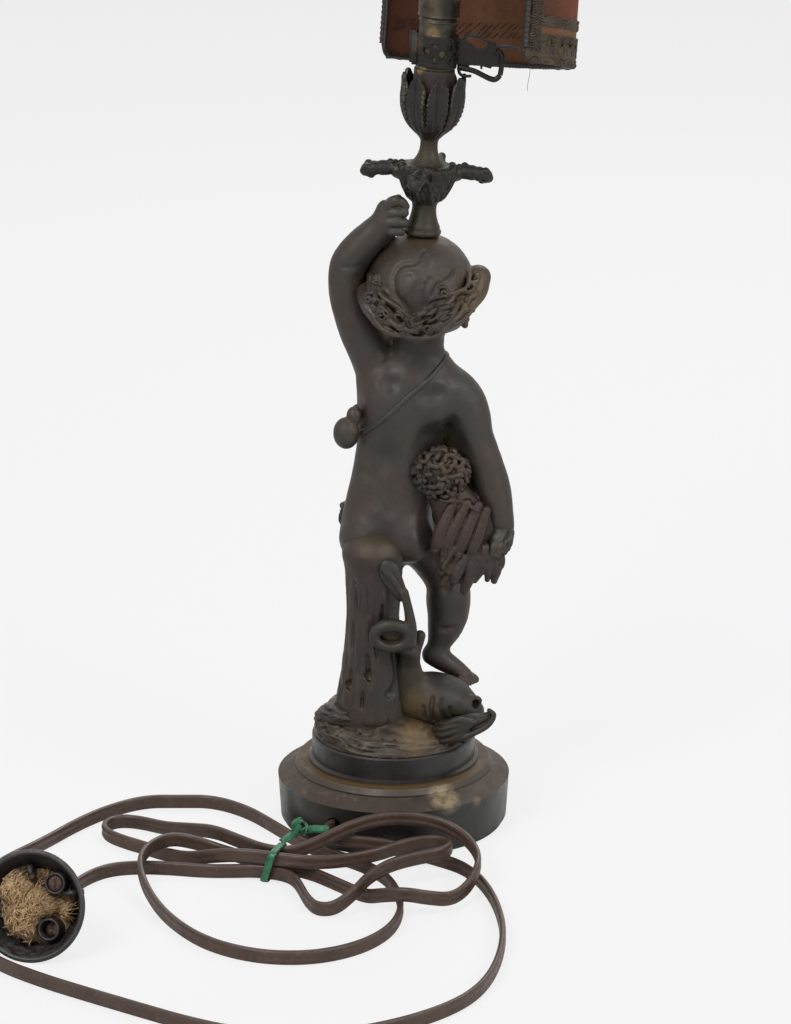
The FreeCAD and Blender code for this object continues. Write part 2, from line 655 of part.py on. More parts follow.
def bulb_cap():
    body = Part.makeCylinder(CAP_R, CAP_TOP - CAP_BOTTOM, V(0, 0, CAP_BOTTOM))
    pin = Part.makeCylinder(PIN_R, 2 * BARREL_R, V(-BARREL_R, 0, cap_pin_level()), V(1, 0, 0))
    return leaned(body.fuse(pin).removeSplitter())


def bulb_side(inset):
    """Neck and ball of the bulb as one open outline, from the cap up to the axis."""
    radius = GLASS_R - inset
    neck_r = GLASS_NECK_R - inset
    middle = GLASS_TOP - GLASS_R
    reach = math.hypot(neck_r, middle - CAP_TOP)
    turn = math.acos(radius / reach) - math.atan2(middle - CAP_TOP, neck_r)
    touch = V(radius * math.cos(turn), 0, middle + radius * math.sin(turn))
    side = V(radius, 0, middle)
    crown = V(0, 0, middle + radius)
    neck = V(neck_r, 0, CAP_TOP)
    return [Part.LineSegment(neck, touch).toShape(), Part.Arc(touch, side, crown).toShape()], neck, crown


def bulb_glass():
    """Thin envelope, open at the cap."""
    outer, outer_neck, outer_crown = bulb_side(0.0)
    inner, inner_neck, inner_crown = bulb_side(GLASS_WALL)
    mouth = Part.LineSegment(inner_neck, outer_neck).toShape()
    axis = Part.LineSegment(outer_crown, inner_crown).toShape()
    wall = Part.Face(Part.Wire(Part.__sortEdges__(outer + inner + [mouth, axis])))
    return leaned(wall.revolve(V(0, 0, 0), Z_AXIS, 360))


# ---- clip, bracket and shade ------------------------------------------------------
def clip_band():
    body = ring(BAND_R + BAND_WALL, BAND_R, BAND_BOTTOM - 3, BAND_TOP + 3)
    for level, up in ((BAND_BOTTOM, -1), (BAND_TOP, 1)):
        block = Part.makeBox(60, 60, 20, V(-30, -30, 0 if up > 0 else -20))
        block.Placement = FreeCAD.Placement(V(0, 0, level), FreeCAD.Rotation(V(0, 1, 0), BAND_SLANT))
        body = body.cut(block)
    mid = (BAND_BOTTOM + BAND_TOP) / 2
    for k in range(5):
        hole = Part.makeCylinder(2.0, 16, V(0, 0, mid), V(1, 0, 0))
        hole.rotate(V(0, 0, mid), Z_AXIS, 210 + 30 * k)
        body = body.cut(hole)
    flange = Part.makeBox(1.0, 4.4, BAND_TOP - BAND_BOTTOM, V(-BAND_R - BAND_WALL - 0.6, -2.2, BAND_BOTTOM))
    core = Part.makeCylinder(BAND_R, 60, V(0, 0, BAND_BOTTOM - 20))
    return leaned(solid_of(body.fuse(flange).cut(core)))


def clip_bracket():
    """Sheet bracket: a plate out from the band, with a slot and an open loop below."""
    inner = BAND_R + 0.2
    plate = Part.makeBox(BRACKET_REACH - inner, BRACKET_T, 15.0, V(inner, -BRACKET_T / 2, 84.0))
    loop_at = V(BRACKET_REACH - 5.0, -BRACKET_T / 2, 83.0)
    loop = Part.makeCylinder(5.0, BRACKET_T, loop_at, V(0, 1, 0))
    eye = Part.makeCylinder(3.2, BRACKET_T, loop_at, V(0, 1, 0))
    slot = Part.makeBox(9.0, BRACKET_T, 2.6, V(15.0, -BRACKET_T / 2, 92.6))
    hole = Part.makeCylinder(PIVOT_R, BRACKET_T, V(PIVOT_X, -BRACKET_T / 2, PIVOT_S), V(0, 1, 0))
    body = plate.fuse(loop).cut([eye, slot, hole, Part.makeCylinder(BAND_R + BAND_WALL, 60, V(0, 0, 60))])
    return leaned(solid_of(body))


def clip_hook():
    points = [V(12.0, -1.6, 84.0), V(12.6, -1.6, 80.4), V(15.4, -1.6, 78.6), V(19.4, -1.6, 79.2)]
    path = tangent_path(points)[0]
    section = Part.Wire([Part.Circle(points[0], points[1] - points[0], 0.8).toShape()])
    return leaned(path.makePipeShell([section], True, False))


def eye_middle():
    """How far in front of the bracket's middle the carrier wire runs."""
    return -(BRACKET_T / 2 + GAP + WIRE_R)


def pivot_rivet():
    front = eye_middle() - WIRE_R - GAP
    back = BRACKET_T / 2
    shank = Part.makeCylinder(PIVOT_R, back - front, V(PIVOT_X, front, PIVOT_S), V(0, 1, 0))
    heads = [Part.makeCylinder(RIVET_HEAD_R, RIVET_HEAD_T, V(PIVOT_X, y, PIVOT_S), V(0, 1, 0))
             for y in (front - RIVET_HEAD_T, back)]
    return leaned(shank.fuse(heads).removeSplitter())


def shade_frame_place():
    tilt = FreeCAD.Rotation(V(1, 0, 0), -SHADE_DIP)
    local = FreeCAD.Placement(V(SHADE_X, SHADE_Y, SHADE_BOTTOM), tilt)
    return lean_frame().multiply(local)


def in_shade(shape):
    moved = shape.copy()
    moved.Placement = shade_frame_place().multiply(moved.Placement)
    return moved


def arc_band(r_out, r_in, bottom, top, start, end):
    """Part of a ring between two angles in degrees."""
    face = Part.Face(Part.makePolygon([V(r_in, 0, bottom), V(r_out, 0, bottom), V(r_out, 0, top),
                                       V(r_in, 0, top), V(r_in, 0, bottom)]))
    face.rotate(V(0, 0, 0), Z_AXIS, start)
    return face.revolve(V(0, 0, 0), Z_AXIS, end - start)


def shade_point(angle, s, radius=SHADE_R):
    a = math.radians(angle)
    return V(radius * math.cos(a), radius * math.sin(a), s)


def shade_panel():
    return in_shade(arc_band(SHADE_R, SHADE_R - SHADE_T, WIRE_R, SHADE_H - WIRE_R, SHADE_FROM, SHADE_TO))


def shade_wires():
    """Bottom and top wires with two uprights, bent as one frame."""
    mid = SHADE_R - SHADE_T - WIRE_R - 0.1
    parts = []
    for s in (0.0, SHADE_H):
        wire = Part.makeTorus(mid, WIRE_R, V(0, 0, s), Z_AXIS, -180, 180, SHADE_TO - SHADE_FROM)
        wire.rotate(V(0, 0, 0), Z_AXIS, SHADE_FROM)
        parts.append(wire)
    for angle in (SHADE_FROM, SHADE_TO):
        parts.append(rod(shade_point(angle, 0, mid), shade_point(angle, SHADE_H, mid), WIRE_R))
        parts.append(Part.makeSphere(WIRE_R, shade_point(angle, 0, mid)))
        parts.append(Part.makeSphere(WIRE_R, shade_point(angle, SHADE_H, mid)))
    return in_shade(joined(parts))


def shade_trims():
    bottom = arc_band(SHADE_R + TRIM_T, SHADE_R, 0.0, TRIM_H, SHADE_FROM, SHADE_TO)
    top = arc_band(SHADE_R + TRIM_T, SHADE_R, SHADE_H - 12.0, SHADE_H, SHADE_FROM, SHADE_TO)
    return in_shade(Part.makeCompound([bottom, top]))


def edge_braids():
    width = math.degrees(BRAID_W / SHADE_R)
    first = arc_band(SHADE_R + TRIM_T, SHADE_R, TRIM_H, SHADE_H - 12.0, SHADE_FROM, SHADE_FROM + width)
    last = arc_band(SHADE_R + TRIM_T, SHADE_R, TRIM_H, SHADE_H - 12.0, SHADE_TO - width, SHADE_TO)
    return in_shade(Part.makeCompound([first, last]))


def carrier_wire(frame):
    """Wire from the pivot out to the shade's bottom wire, one long bend."""
    mid = SHADE_R - SHADE_T - WIRE_R - 0.1
    foot = lean_frame().inverse().multVec(shade_frame_place().multVec(shade_point(CARRIER_ANGLE, 0, mid)))
    y = eye_middle()
    points = [V(PIVOT_X, y, PIVOT_S), V(PIVOT_X + 7, y, PIVOT_S + 1.4),
              V(PIVOT_X + 16, y - 6, PIVOT_S + 1.0), foot]
    path = tangent_path(points)[0]
    section = Part.Wire([Part.Circle(points[0], points[1] - points[0], WIRE_R).toShape()])
    wire = leaned(path.makePipeShell([section], True, False))
    bore_r = PIVOT_R + PIVOT_FIT
    eye = ring(bore_r + EYE_RIM, bore_r, -EYE_T / 2, EYE_T / 2)
    eye.Placement = FreeCAD.Placement(V(PIVOT_X, y, PIVOT_S), FreeCAD.Rotation(V(1, 0, 0), 90))
    bore = Part.makeCylinder(bore_r, 4 * EYE_T, V(PIVOT_X, y - 2 * EYE_T, PIVOT_S), V(0, 1, 0))
    return solid_of(wire.fuse(leaned(eye)).cut([leaned(bore), frame]))


# ---- cord, tie and plug --------------------------------------------------------------
LEAD_EXIT = (-30.9, -51.4, LEAD_HOLE_Z)
LEAD_ROUTE = [
    LEAD_EXIT, (-36.0, -60.0, 14.5), (-30.5, -68.0, 14.2), (-18.5, -71.0, 13.4), (-5.0, -70.5, 11.8),
    (9.0, -69.8, 7.6), (22.5, -72.0, 4.4), (35.0, -80.5, 3.6), (44.5, -100.0, 3.6), (51.0, -129.0, 3.6),
    (53.5, -164.0, 3.6), (49.0, -201.5, 3.6), (39.5, -230.5, 3.6), (24.0, -250.5, 3.6), (2.0, -266.5, 3.6),
    (-22.0, -277.0, 3.6), (-47.0, -280.5, 3.6), (-72.0, -275.0, 3.6), (-95.0, -263.5, 3.6), (-118.5, -248.0, 3.6),
    (-141.0, -233.0, 3.6), (-165.0, -216.5, 3.6), (-187.0, -198.0, 3.6), (-204.0, -174.0, 3.6),
    (-213.0, -143.5, 3.6), (-212.0, -109.0, 3.6), (-198.5, -77.0, 3.6), (-178.5, -49.5, 3.6),
    (-163.5, -24.0, 3.6), (-149.0, -5.5, 3.6), (-130.5, 8.6, 3.6), (-112.0, 8.6, 3.6)]
# The hank: a wide loop in front, then four strands through the tie with a loop or fold at each end.
HANK_ROUTE = [
    (-112.0, 8.6, 3.6), (-94.5, 8.6, 3.6), (-76.5, -5.0, 3.6), (-61.5, -27.5, 4.0), (-49.0, -47.5, 4.2),
    (-34.5, -62.5, 3.6), (-17.0, -76.0, 3.6), (-4.0, -93.0, 3.6), (2.5, -114.0, 3.6), (4.0, -137.0, 3.6),
    (-1.5, -160.0, 3.6), (-15.5, -179.0, 3.6), (-35.5, -190.0, 3.6), (-56.5, -191.0, 3.6), (-75.0, -184.5, 3.6),
    (-91.5, -172.0, 3.6), (-105.0, -153.0, 3.6), (-115.5, -131.5, 3.8), (-123.5, -111.0, 7.4),
    (-127.0, -92.0, 11.8), (-122.5, -74.5, 12.4), (-112.5, -62.5, 12.2), (-100.0, -58.5, 8.0),
    (-88.0, -61.5, 4.9), (-77.0, -69.5, 4.9), (-65.3, -79.9, 4.9), (-52.1, -84.7, 4.9),
    # large right loop, over the lead and up against the plinth
    (-41.0, -90.0, 4.5), (-31.5, -98.5, 3.8), (-22.5, -108.0, 3.6), (-13.5, -118.5, 4.0), (-5.0, -128.5, 9.2),
    (5.5, -135.5, 12.8), (17.5, -134.5, 10.2), (28.0, -127.5, 6.4), (36.0, -117.5, 7.4), (41.5, -105.0, 11.8),
    (42.5, -91.0, 14.2), (37.5, -79.5, 18.0), (27.5, -71.5, 22.0), (15.0, -68.0, 24.6), (1.5, -67.0, 25.2),
    (-12.0, -69.0, 24.2), (-24.5, -73.5, 21.2), (-38.0, -79.5, 16.4), (-52.1, -84.7, 12.6), (-65.3, -79.9, 12.6),
    # left fold
    (-78.0, -68.5, 13.0), (-91.0, -55.0, 12.8), (-104.5, -42.0, 8.4), (-117.5, -30.0, 4.2), (-130.5, -20.5, 3.6),
    (-142.5, -18.0, 3.6), (-149.5, -26.5, 3.6), (-147.0, -37.5, 3.6), (-138.0, -46.5, 3.6), (-127.0, -54.5, 3.6),
    (-115.5, -63.5, 3.6), (-103.5, -71.5, 4.6), (-92.0, -79.5, 9.4), (-80.0, -85.5, 12.6), (-67.9, -87.3, 12.6),
    (-54.7, -92.1, 12.6),
    # small right loop with its tight fold
    (-43.0, -95.0, 12.5), (-30.5, -94.0, 12.3), (-18.0, -90.0, 12.4), (-6.0, -84.0, 12.8), (3.5, -77.5, 13.8),
    (13.5, -74.0, 14.7), (23.5, -74.2, 15.3), (29.5, -82.2, 15.4), (24.0, -90.6, 15.2), (13.0, -93.5, 14.6),
    (0.0, -98.5, 13.2), (-8.0, -108.0, 12.8), (-13.5, -119.5, 13.3), (-19.5, -130.0, 10.4), (-28.5, -136.5, 5.4),
    (-37.5, -133.0, 3.6), (-42.5, -122.0, 3.6), (-45.5, -109.5, 3.8), (-49.0, -98.5, 4.6), (-54.7, -92.1, 4.9),
    (-67.9, -87.3, 4.9),
    # on to the plug
    (-80.5, -86.5, 4.2), (-95.0, -85.0, 3.6), (-111.5, -81.5, 3.6), (-127.5, -80.0, 3.6), (-142.5, -83.0, 3.6),
    (-153.0, -94.0, 3.6), (-159.5, -108.5, 3.8), (-161.5, -123.5, 7.0), (-161.8, -137.0, 13.4)]


def plug_frame():
    """Plug's own frame: its Z leaves the open side, its Y goes up the back."""
    stand_up = FreeCAD.Rotation(V(1, 0, 0), 90 - PLUG_RISE)
    turn = FreeCAD.Rotation(Z_AXIS, PLUG_TURN)
    height = PLUG_R * math.cos(math.radians(PLUG_RISE)) + GAP / 6
    return FreeCAD.Placement(V(PLUG_X, PLUG_Y, height), turn.multiply(stand_up))


def in_plug(shape):
    moved = shape.copy()
    moved.Placement = plug_frame().multiply(moved.Placement)
    return moved


def plug_entry(back):
    """A point on the line by which the cord enters the plug's back."""
    return plug_frame().multVec(V(PLUG_ENTRY_X, PLUG_ENTRY_UP, -PLUG_DEPTH - back))


def cord_points(route, ends=()):
    return [V(*p) for p in route] + list(ends)


def report_tube(name, tube, path, radii, length):
    exact = math.pi * CORD_Z ** 2 * length
    print(name, "length", round(length, 1), "smallest radius", round(min(radii), 1),
          "volume over section x length", round(tube.Volume / exact, 4))
    print("  radii", [round(r, 1) for r in radii])


def least_gap(path, skip):
    """Least clear distance between stretches of one tube that are further apart than skip along it."""
    samples = path.discretize(Distance=1.5)
    reach = int(skip / 1.5)
    least = 1e9
    for i, a in enumerate(samples):
        for b in samples[i + reach:]:
            d = (a.x - b.x) ** 2 + (a.y - b.y) ** 2 + (a.z - b.z) ** 2
            if d < least:
                least = d
    return math.sqrt(least) - CORD_D


def lengthwise_edges(box):
    return [e for e in box.Edges if abs(e.tangentAt(e.FirstParameter).x) > 0.9]


def twist_tie():
    """Green tie round the four strands, with its two twisted tails."""
    half_y = STRAND_PITCH / 2 + CORD_Z + TIE_GAP
    half_z = half_y
    outer = Part.makeBox(TIE_W, 2 * (half_y + TIE_WALL), 2 * (half_z + TIE_WALL),
                         V(-TIE_W / 2, -half_y - TIE_WALL, -half_z - TIE_WALL))
    outer = outer.makeFillet(TIE_CORNER_R, lengthwise_edges(outer))
    inner = Part.makeBox(TIE_W, 2 * half_y, 2 * half_z, V(-TIE_W / 2, -half_y, -half_z))
    inner = inner.makeFillet(TIE_CORNER_R - TIE_WALL, lengthwise_edges(inner))
    top = half_z + TIE_WALL
    tail = limb([(0, half_y - 2, top - 0.6, 1.0), (3, half_y + 2, top + 2.4, 1.0),
                 (9, half_y + 6, top + 4.4, 1.0), (17, half_y + 9.5, top + 3.6, 1.0)])
    stub = limb([(0, half_y - 2.5, top - 0.6, 1.0), (-1, half_y + 1, top + 3.0, 1.0),
                 (2.5, half_y + 5, top + 6.5, 1.0)])
    whole = joined([outer, tail, stub]).cut(inner)
    whole = solid_of(whole)
    whole.Placement = FreeCAD.Placement(TIE_AT, FreeCAD.Rotation(Z_AXIS, TIE_TURN)).multiply(whole.Placement)
    return whole


def plug_body():
    shell = Part.makeCone(PLUG_BACK_R, PLUG_R, PLUG_DEPTH, V(0, 0, -PLUG_DEPTH))
    inside = Part.makeCone(PLUG_BACK_R - PLUG_WALL, PLUG_R - PLUG_WALL, PLUG_DEPTH - PLUG_WALL,
                           V(0, 0, -PLUG_DEPTH + PLUG_WALL))
    entry = Part.makeCylinder(CORD_Z + GAP, PLUG_WALL, V(PLUG_ENTRY_X, PLUG_ENTRY_UP, -PLUG_DEPTH))
    holes = [Part.makeCylinder(PLUG_PIN_ROOT_R, PLUG_WALL, V(p.x, p.y, -PLUG_DEPTH)) for p in pin_places()]
    floor = -PLUG_DEPTH + PLUG_WALL
    bosses = [Part.makeCylinder(PLUG_BOSS_R, PLUG_BOSS_H, V(p.x, p.y, floor)) for p in pin_places()]
    wells = [Part.makeCylinder(PLUG_WELL_R, PLUG_BOSS_H, V(p.x, p.y, floor)) for p in pin_places()]
    cup = shell.cut([inside])
    return in_plug(solid_of(cup.fuse(bosses).cut([entry] + holes + wells)))


def pin_places():
    return [V(PLUG_PIN_OFFSET * math.cos(math.radians(a)), PLUG_PIN_OFFSET * math.sin(math.radians(a)), 0)
            for a in (200, 340, 270)]


def plug_pins():
    pins = []
    for place in pin_places():
        shank = Part.makeCylinder(PLUG_PIN_R, PLUG_PIN_LENGTH, place - V(0, 0, PLUG_DEPTH + PLUG_PIN_LENGTH))
        root = Part.makeCylinder(PLUG_PIN_ROOT_R, PLUG_WALL, place - V(0, 0, PLUG_DEPTH))
        pins.append(shank.fuse(root))
    return in_plug(Part.makeCompound(pins))


def plug_terminals():
    floor = -PLUG_DEPTH + PLUG_WALL
    screws = [Part.makeCylinder(PLUG_WELL_R - GAP, 0.6 * PLUG_BOSS_H, V(p.x, p.y, floor)) for p in pin_places()]
    return in_plug(Part.makeCompound(screws))


def plug_packing():
    """Fibre stuffing that fills the upper half of the cup."""
    fill = Part.makeCone(PLUG_BACK_R - PLUG_WALL - GAP, PLUG_R - PLUG_WALL - 1.0, PLUG_DEPTH - PLUG_WALL - 2.0,
                         V(0, 0, -PLUG_DEPTH + PLUG_WALL))
    below = [Part.makeCylinder(PLUG_BOSS_R + GAP, 2 * PLUG_DEPTH, V(p.x, p.y, -PLUG_DEPTH))
             for p in pin_places()]
    return in_plug(solid_of(fill.cut(below)))


# ---- build everything ---------------------------------------------------------------
def build():
    made = {}
    made["felt_pad"] = felt_pad()
    made["plinth_foot"] = plinth_foot()
    made["plinth_drum"] = plinth_drum()
    made["base_screws"] = base_screws()
    made["base_washer"] = base_washer()
    made["base_nut"] = base_nut()
    made["centre_tube"] = centre_tube()
    made["inner_lead"] = inner_lead()
    made["ground_casting"] = ground_casting()
    made["figure_torso"] = figure_torso()
    torso = made["figure_torso"]
    made["standing_leg"] = standing_leg([torso, made["ground_casting"]])
    made["tree_stump"] = tree_stump([torso, made["ground_casting"], made["standing_leg"]])
    made["bent_leg"] = bent_leg([torso, made["standing_leg"], made["tree_stump"]])
    low = [made[n] for n in ("ground_casting", "tree_stump", "standing_leg", "bent_leg")]
    made["dolphin_body"] = dolphin_body(low)
    made["dolphin_tail"] = dolphin_tail([made["tree_stump"], made["dolphin_body"]])
    made["dolphin_leaf"] = dolphin_leaf([made["ground_casting"], made["dolphin_body"]])
    made["figure_head"] = figure_head([torso])
    made["raised_arm"] = raised_arm([torso, made["figure_head"]])
    made["column_foot"] = column_foot([made["figure_head"], made["raised_arm"]])
    made["hair"] = hair(made["figure_head"], [made["column_foot"]])
    made["lowered_arm"] = lowered_arm([torso])
    made["sheaf_stalks"] = sheaf_stalks([torso, made["lowered_arm"], made["bent_leg"]])
    made["sheaf_ears"] = sheaf_ears([torso, made["sheaf_stalks"], made["lowered_arm"]])
    made["shoulder_strap"] = shoulder_strap([torso, made["raised_arm"], made["lowered_arm"]])
    made["gourd_flask"] = gourd_flask()
    made["loin_drape"] = loin_drape([torso, made["bent_leg"], made["standing_leg"], made["sheaf_stalks"]])
    made["leaf_cup"] = stem_with_cup()
    made["drip_pan"] = drip_pan([made["leaf_cup"]])
    made["candle_tube"] = candle_tube()
    made["holder_cup"] = holder_cup()
    made["top_nut"] = top_nut()
    made["holder_insulator"] = holder_insulator()
    made["contact_plungers"] = contact_plungers()
    made["holder_barrel"] = holder_barrel()
    made["shade_ring"] = shade_ring()
    made["bulb_cap"] = bulb_cap()
    made["bulb_glass"] = bulb_glass()
    made["clip_band"] = clip_band()
    made["clip_bracket"] = clip_bracket()
    made["clip_hook"] = clip_hook()
    made["pivot_rivet"] = pivot_rivet()
    made["shade_frame"] = shade_wires()
    made["carrier_wire"] = carrier_wire(made["shade_frame"])
    made["shade_panel"] = shade_panel()
    made["shade_lace"] = shade_trims()
    made["edge_braid"] = edge_braids()
    made["plug_body"] = plug_body()
    made["plug_pins"] = plug_pins()
    made["plug_terminals"] = plug_terminals()
    made["plug_packing"] = plug_packing()
    made["twist_tie"] = twist_tie()

    lead, path, radii, length = tube_along(cord_points(LEAD_ROUTE), CORD_Z)
    report_tube("cord_lead", lead, path, radii, length)
    made["cord_lead"] = lead
    ends = [plug_entry(1.6 * CORD_D), plug_entry(0.0)]
    hank, path, radii, length = tube_along(cord_points(HANK_ROUTE, ends), CORD_Z)
    report_tube("cord_hank", hank, path, radii, length)
    print("hank's least gap to itself", round(least_gap(path, 3.4 * CORD_D), 2))
    made["cord_hank"] = hank
    return made


def main():
    os.makedirs("parts", exist_ok=True)
    for name, shape in build().items():
        shape.exportStep("parts/" + name + ".step")
        box = shape.BoundBox
        print(name, len(shape.Solids), "valid" if shape.isValid() else "INVALID", round(shape.Volume, 1),
              [round(v, 1) for v in (box.XMin, box.YMin, box.ZMin, box.XMax, box.YMax, box.ZMax)])


main()
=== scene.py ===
# %% [markdown]
# # A figural table lamp
# The object is an old table lamp: a cast child stands against a tree stump with a dolphin at its feet,
# and carries a candle column on its head. A half shade clips to the lampholder, and a flat cord lies in
# front of the plinth with its plug. The solid model gives every size and place, and this file dresses it.

# %% Setup
import bpy
import json
import numpy as np
from math import atan2, copysign, cos, degrees, exp, pi, radians, sin, sqrt, tan
from mathutils import Matrix, Vector

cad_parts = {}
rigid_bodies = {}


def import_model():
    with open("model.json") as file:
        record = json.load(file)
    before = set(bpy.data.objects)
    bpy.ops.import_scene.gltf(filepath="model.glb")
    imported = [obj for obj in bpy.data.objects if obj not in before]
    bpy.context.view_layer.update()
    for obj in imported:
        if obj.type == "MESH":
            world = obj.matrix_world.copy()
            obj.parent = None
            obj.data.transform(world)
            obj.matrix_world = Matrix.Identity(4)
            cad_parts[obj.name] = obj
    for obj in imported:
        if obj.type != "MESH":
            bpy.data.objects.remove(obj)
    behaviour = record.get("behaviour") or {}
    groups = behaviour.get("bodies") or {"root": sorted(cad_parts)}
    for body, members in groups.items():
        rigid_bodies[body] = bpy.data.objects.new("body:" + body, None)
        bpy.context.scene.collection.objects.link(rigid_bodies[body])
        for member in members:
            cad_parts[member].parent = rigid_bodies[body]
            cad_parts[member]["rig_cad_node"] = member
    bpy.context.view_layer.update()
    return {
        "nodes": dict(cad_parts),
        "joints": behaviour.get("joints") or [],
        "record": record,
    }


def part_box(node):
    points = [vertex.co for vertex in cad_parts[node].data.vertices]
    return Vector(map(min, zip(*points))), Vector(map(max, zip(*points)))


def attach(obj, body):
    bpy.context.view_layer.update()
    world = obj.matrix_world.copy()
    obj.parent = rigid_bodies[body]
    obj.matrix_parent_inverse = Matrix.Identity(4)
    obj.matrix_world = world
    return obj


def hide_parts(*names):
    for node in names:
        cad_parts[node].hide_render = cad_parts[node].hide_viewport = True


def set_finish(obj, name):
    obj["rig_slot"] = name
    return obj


MM = 0.001
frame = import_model()

# %% [markdown]
# ## Camera
# The photograph was taken from behind the figure and a little above, with a long lens. A camera is easiest
# to match when it is written as a place, a pitch and a focal length in pixels of the picture, because each
# of the three changes one thing: what overlaps, how round the plinth looks, and how large it all is.

# %% Camera
PICTURE_HEIGHT = 1024
CAMERA_PLACE = Vector((0.001, -1.900, 0.768))
CAMERA_PITCH = radians(17.6)
FOCAL_PIXELS = 3916.0
SENSOR_HEIGHT = 24.0

camera_data = bpy.data.cameras.new("camera")
camera_data.sensor_fit = "VERTICAL"
camera_data.sensor_height = SENSOR_HEIGHT
camera_data.lens = FOCAL_PIXELS / PICTURE_HEIGHT * SENSOR_HEIGHT
camera_data.clip_start = 0.05
camera_data.clip_end = 20.0
camera = bpy.data.objects.new("camera", camera_data)
bpy.context.collection.objects.link(camera)
camera.location = CAMERA_PLACE
camera.rotation_euler = (pi / 2 - CAMERA_PITCH, 0.0, 0.0)
bpy.context.scene.camera = camera
bpy.context.scene.view_settings.view_transform = "Standard"
print("lens", round(camera_data.lens, 1), "mm on a sensor", SENSOR_HEIGHT, "mm high")

# %% [markdown]
# ## Studio
# The lamp stands on a white table in soft light. Three large lamps make the broad, weak highlights of the
# dark castings, and a pale world fills the shadows. What the camera sees of the world is plain white, by
# the light path, so that the background stays white while the light on the object stays low.

# %% Studio helpers
def add_lamp(name, place, aim, size, power):
    data = bpy.data.lights.new(name, "AREA")
    data.shape = "RECTANGLE"
    data.size = size[0]
    data.size_y = size[1]
    data.energy = power
    lamp = bpy.data.objects.new(name, data)
    bpy.context.collection.objects.link(lamp)
    lamp.location = place
    lamp.rotation_euler = (Vector(aim) - Vector(place)).to_track_quat("-Z", "Y").to_euler()
    return lamp


def node(tree, kind, **inputs):
    """A shader node with its plain settings and sockets, the sockets by name with _ for a space."""
    made = tree.nodes.new(kind)
    for key, value in inputs.items():
        socket = made.inputs.get(key.replace("_", " "))
        if socket is None:
            setattr(made, key, value)
        elif isinstance(value, bpy.types.NodeSocket):
            tree.links.new(value, socket)
        else:
            socket.default_value = value
    return made


# %% Studio
WORLD_FILL = 0.34
WORLD_SEEN = 0.90

world = bpy.data.worlds.new("studio")
bpy.context.scene.world = world
world.use_nodes = True
tree = world.node_tree
tree.nodes.clear()
rays = node(tree, "ShaderNodeLightPath")
seen = node(tree, "ShaderNodeMath", operation="MAXIMUM")
tree.links.new(rays.outputs["Is Camera Ray"], seen.inputs[0])
tree.links.new(rays.outputs["Is Glossy Ray"], seen.inputs[1])
shown = node(tree, "ShaderNodeMath", operation="MAXIMUM")
tree.links.new(seen.outputs[0], shown.inputs[0])
tree.links.new(rays.outputs["Is Transmission Ray"], shown.inputs[1])
fill = node(tree, "ShaderNodeBackground", Color=(1, 1, 1, 1), Strength=WORLD_FILL)
white = node(tree, "ShaderNodeBackground", Color=(0.95, 0.95, 0.95, 1), Strength=WORLD_SEEN)
mix = node(tree, "ShaderNodeMixShader", Fac=shown.outputs[0])
tree.links.new(fill.outputs[0], mix.inputs[1])
tree.links.new(white.outputs[0], mix.inputs[2])
tree.links.new(mix.outputs[0], node(tree, "ShaderNodeOutputWorld").inputs["Surface"])

add_lamp("key", (-0.9, -1.3, 1.6), (0, 0, 0.2), (0.9, 0.9), 19.0)
add_lamp("fill", (1.1, -0.9, 1.1), (0, 0, 0.2), (0.8, 0.8), 9.0)
add_lamp("back", (0.3, 1.3, 1.5), (0, 0, 0.25), (0.9, 0.9), 11.0)

floor_mesh = bpy.data.meshes.new("table_top")
half = 6.0
floor_mesh.from_pydata([(-half, -half, 0), (half, -half, 0), (half, half, 0), (-half, half, 0)], [],
                       [(0, 1, 2, 3)])
table_top = bpy.data.objects.new("table_top", floor_mesh)
bpy.context.collection.objects.link(table_top)
table_top.location.z = -0.0002
table_paint = bpy.data.materials.new("table_white")
table_paint.use_nodes = True
tree = table_paint.node_tree
tree.nodes.clear()
matte = node(tree, "ShaderNodeBsdfDiffuse", Color=(0.90, 0.90, 0.90, 1))
glow = node(tree, "ShaderNodeEmission", Color=(0.95, 0.95, 0.95, 1), Strength=0.985)
rays = node(tree, "ShaderNodeLightPath")
share = node(tree, "ShaderNodeMath", operation="MULTIPLY")
tree.links.new(rays.outputs["Is Camera Ray"], share.inputs[0])
share.inputs[1].default_value = 0.84
mix = node(tree, "ShaderNodeMixShader", Fac=share.outputs[0])
tree.links.new(matte.outputs[0], mix.inputs[1])
tree.links.new(glow.outputs[0], mix.inputs[2])
tree.links.new(mix.outputs[0], node(tree, "ShaderNodeOutputMaterial").inputs["Surface"])
floor_mesh.materials.append(table_paint)

# %% [markdown]
# ## Cord
# The cord is flat twin flex, 7.2 by 3.4 millimetres, 2.2 metres from the plinth to the plug. It bends across
# its thin side, so where it runs in curves on the table it stands on edge. Its line is a smooth spline of
# control points: out of the plinth, round in front, through a loose hank that a green tie holds, and on to
# the plug. The section is swept along points read from that spline, with its broad side kept upright.

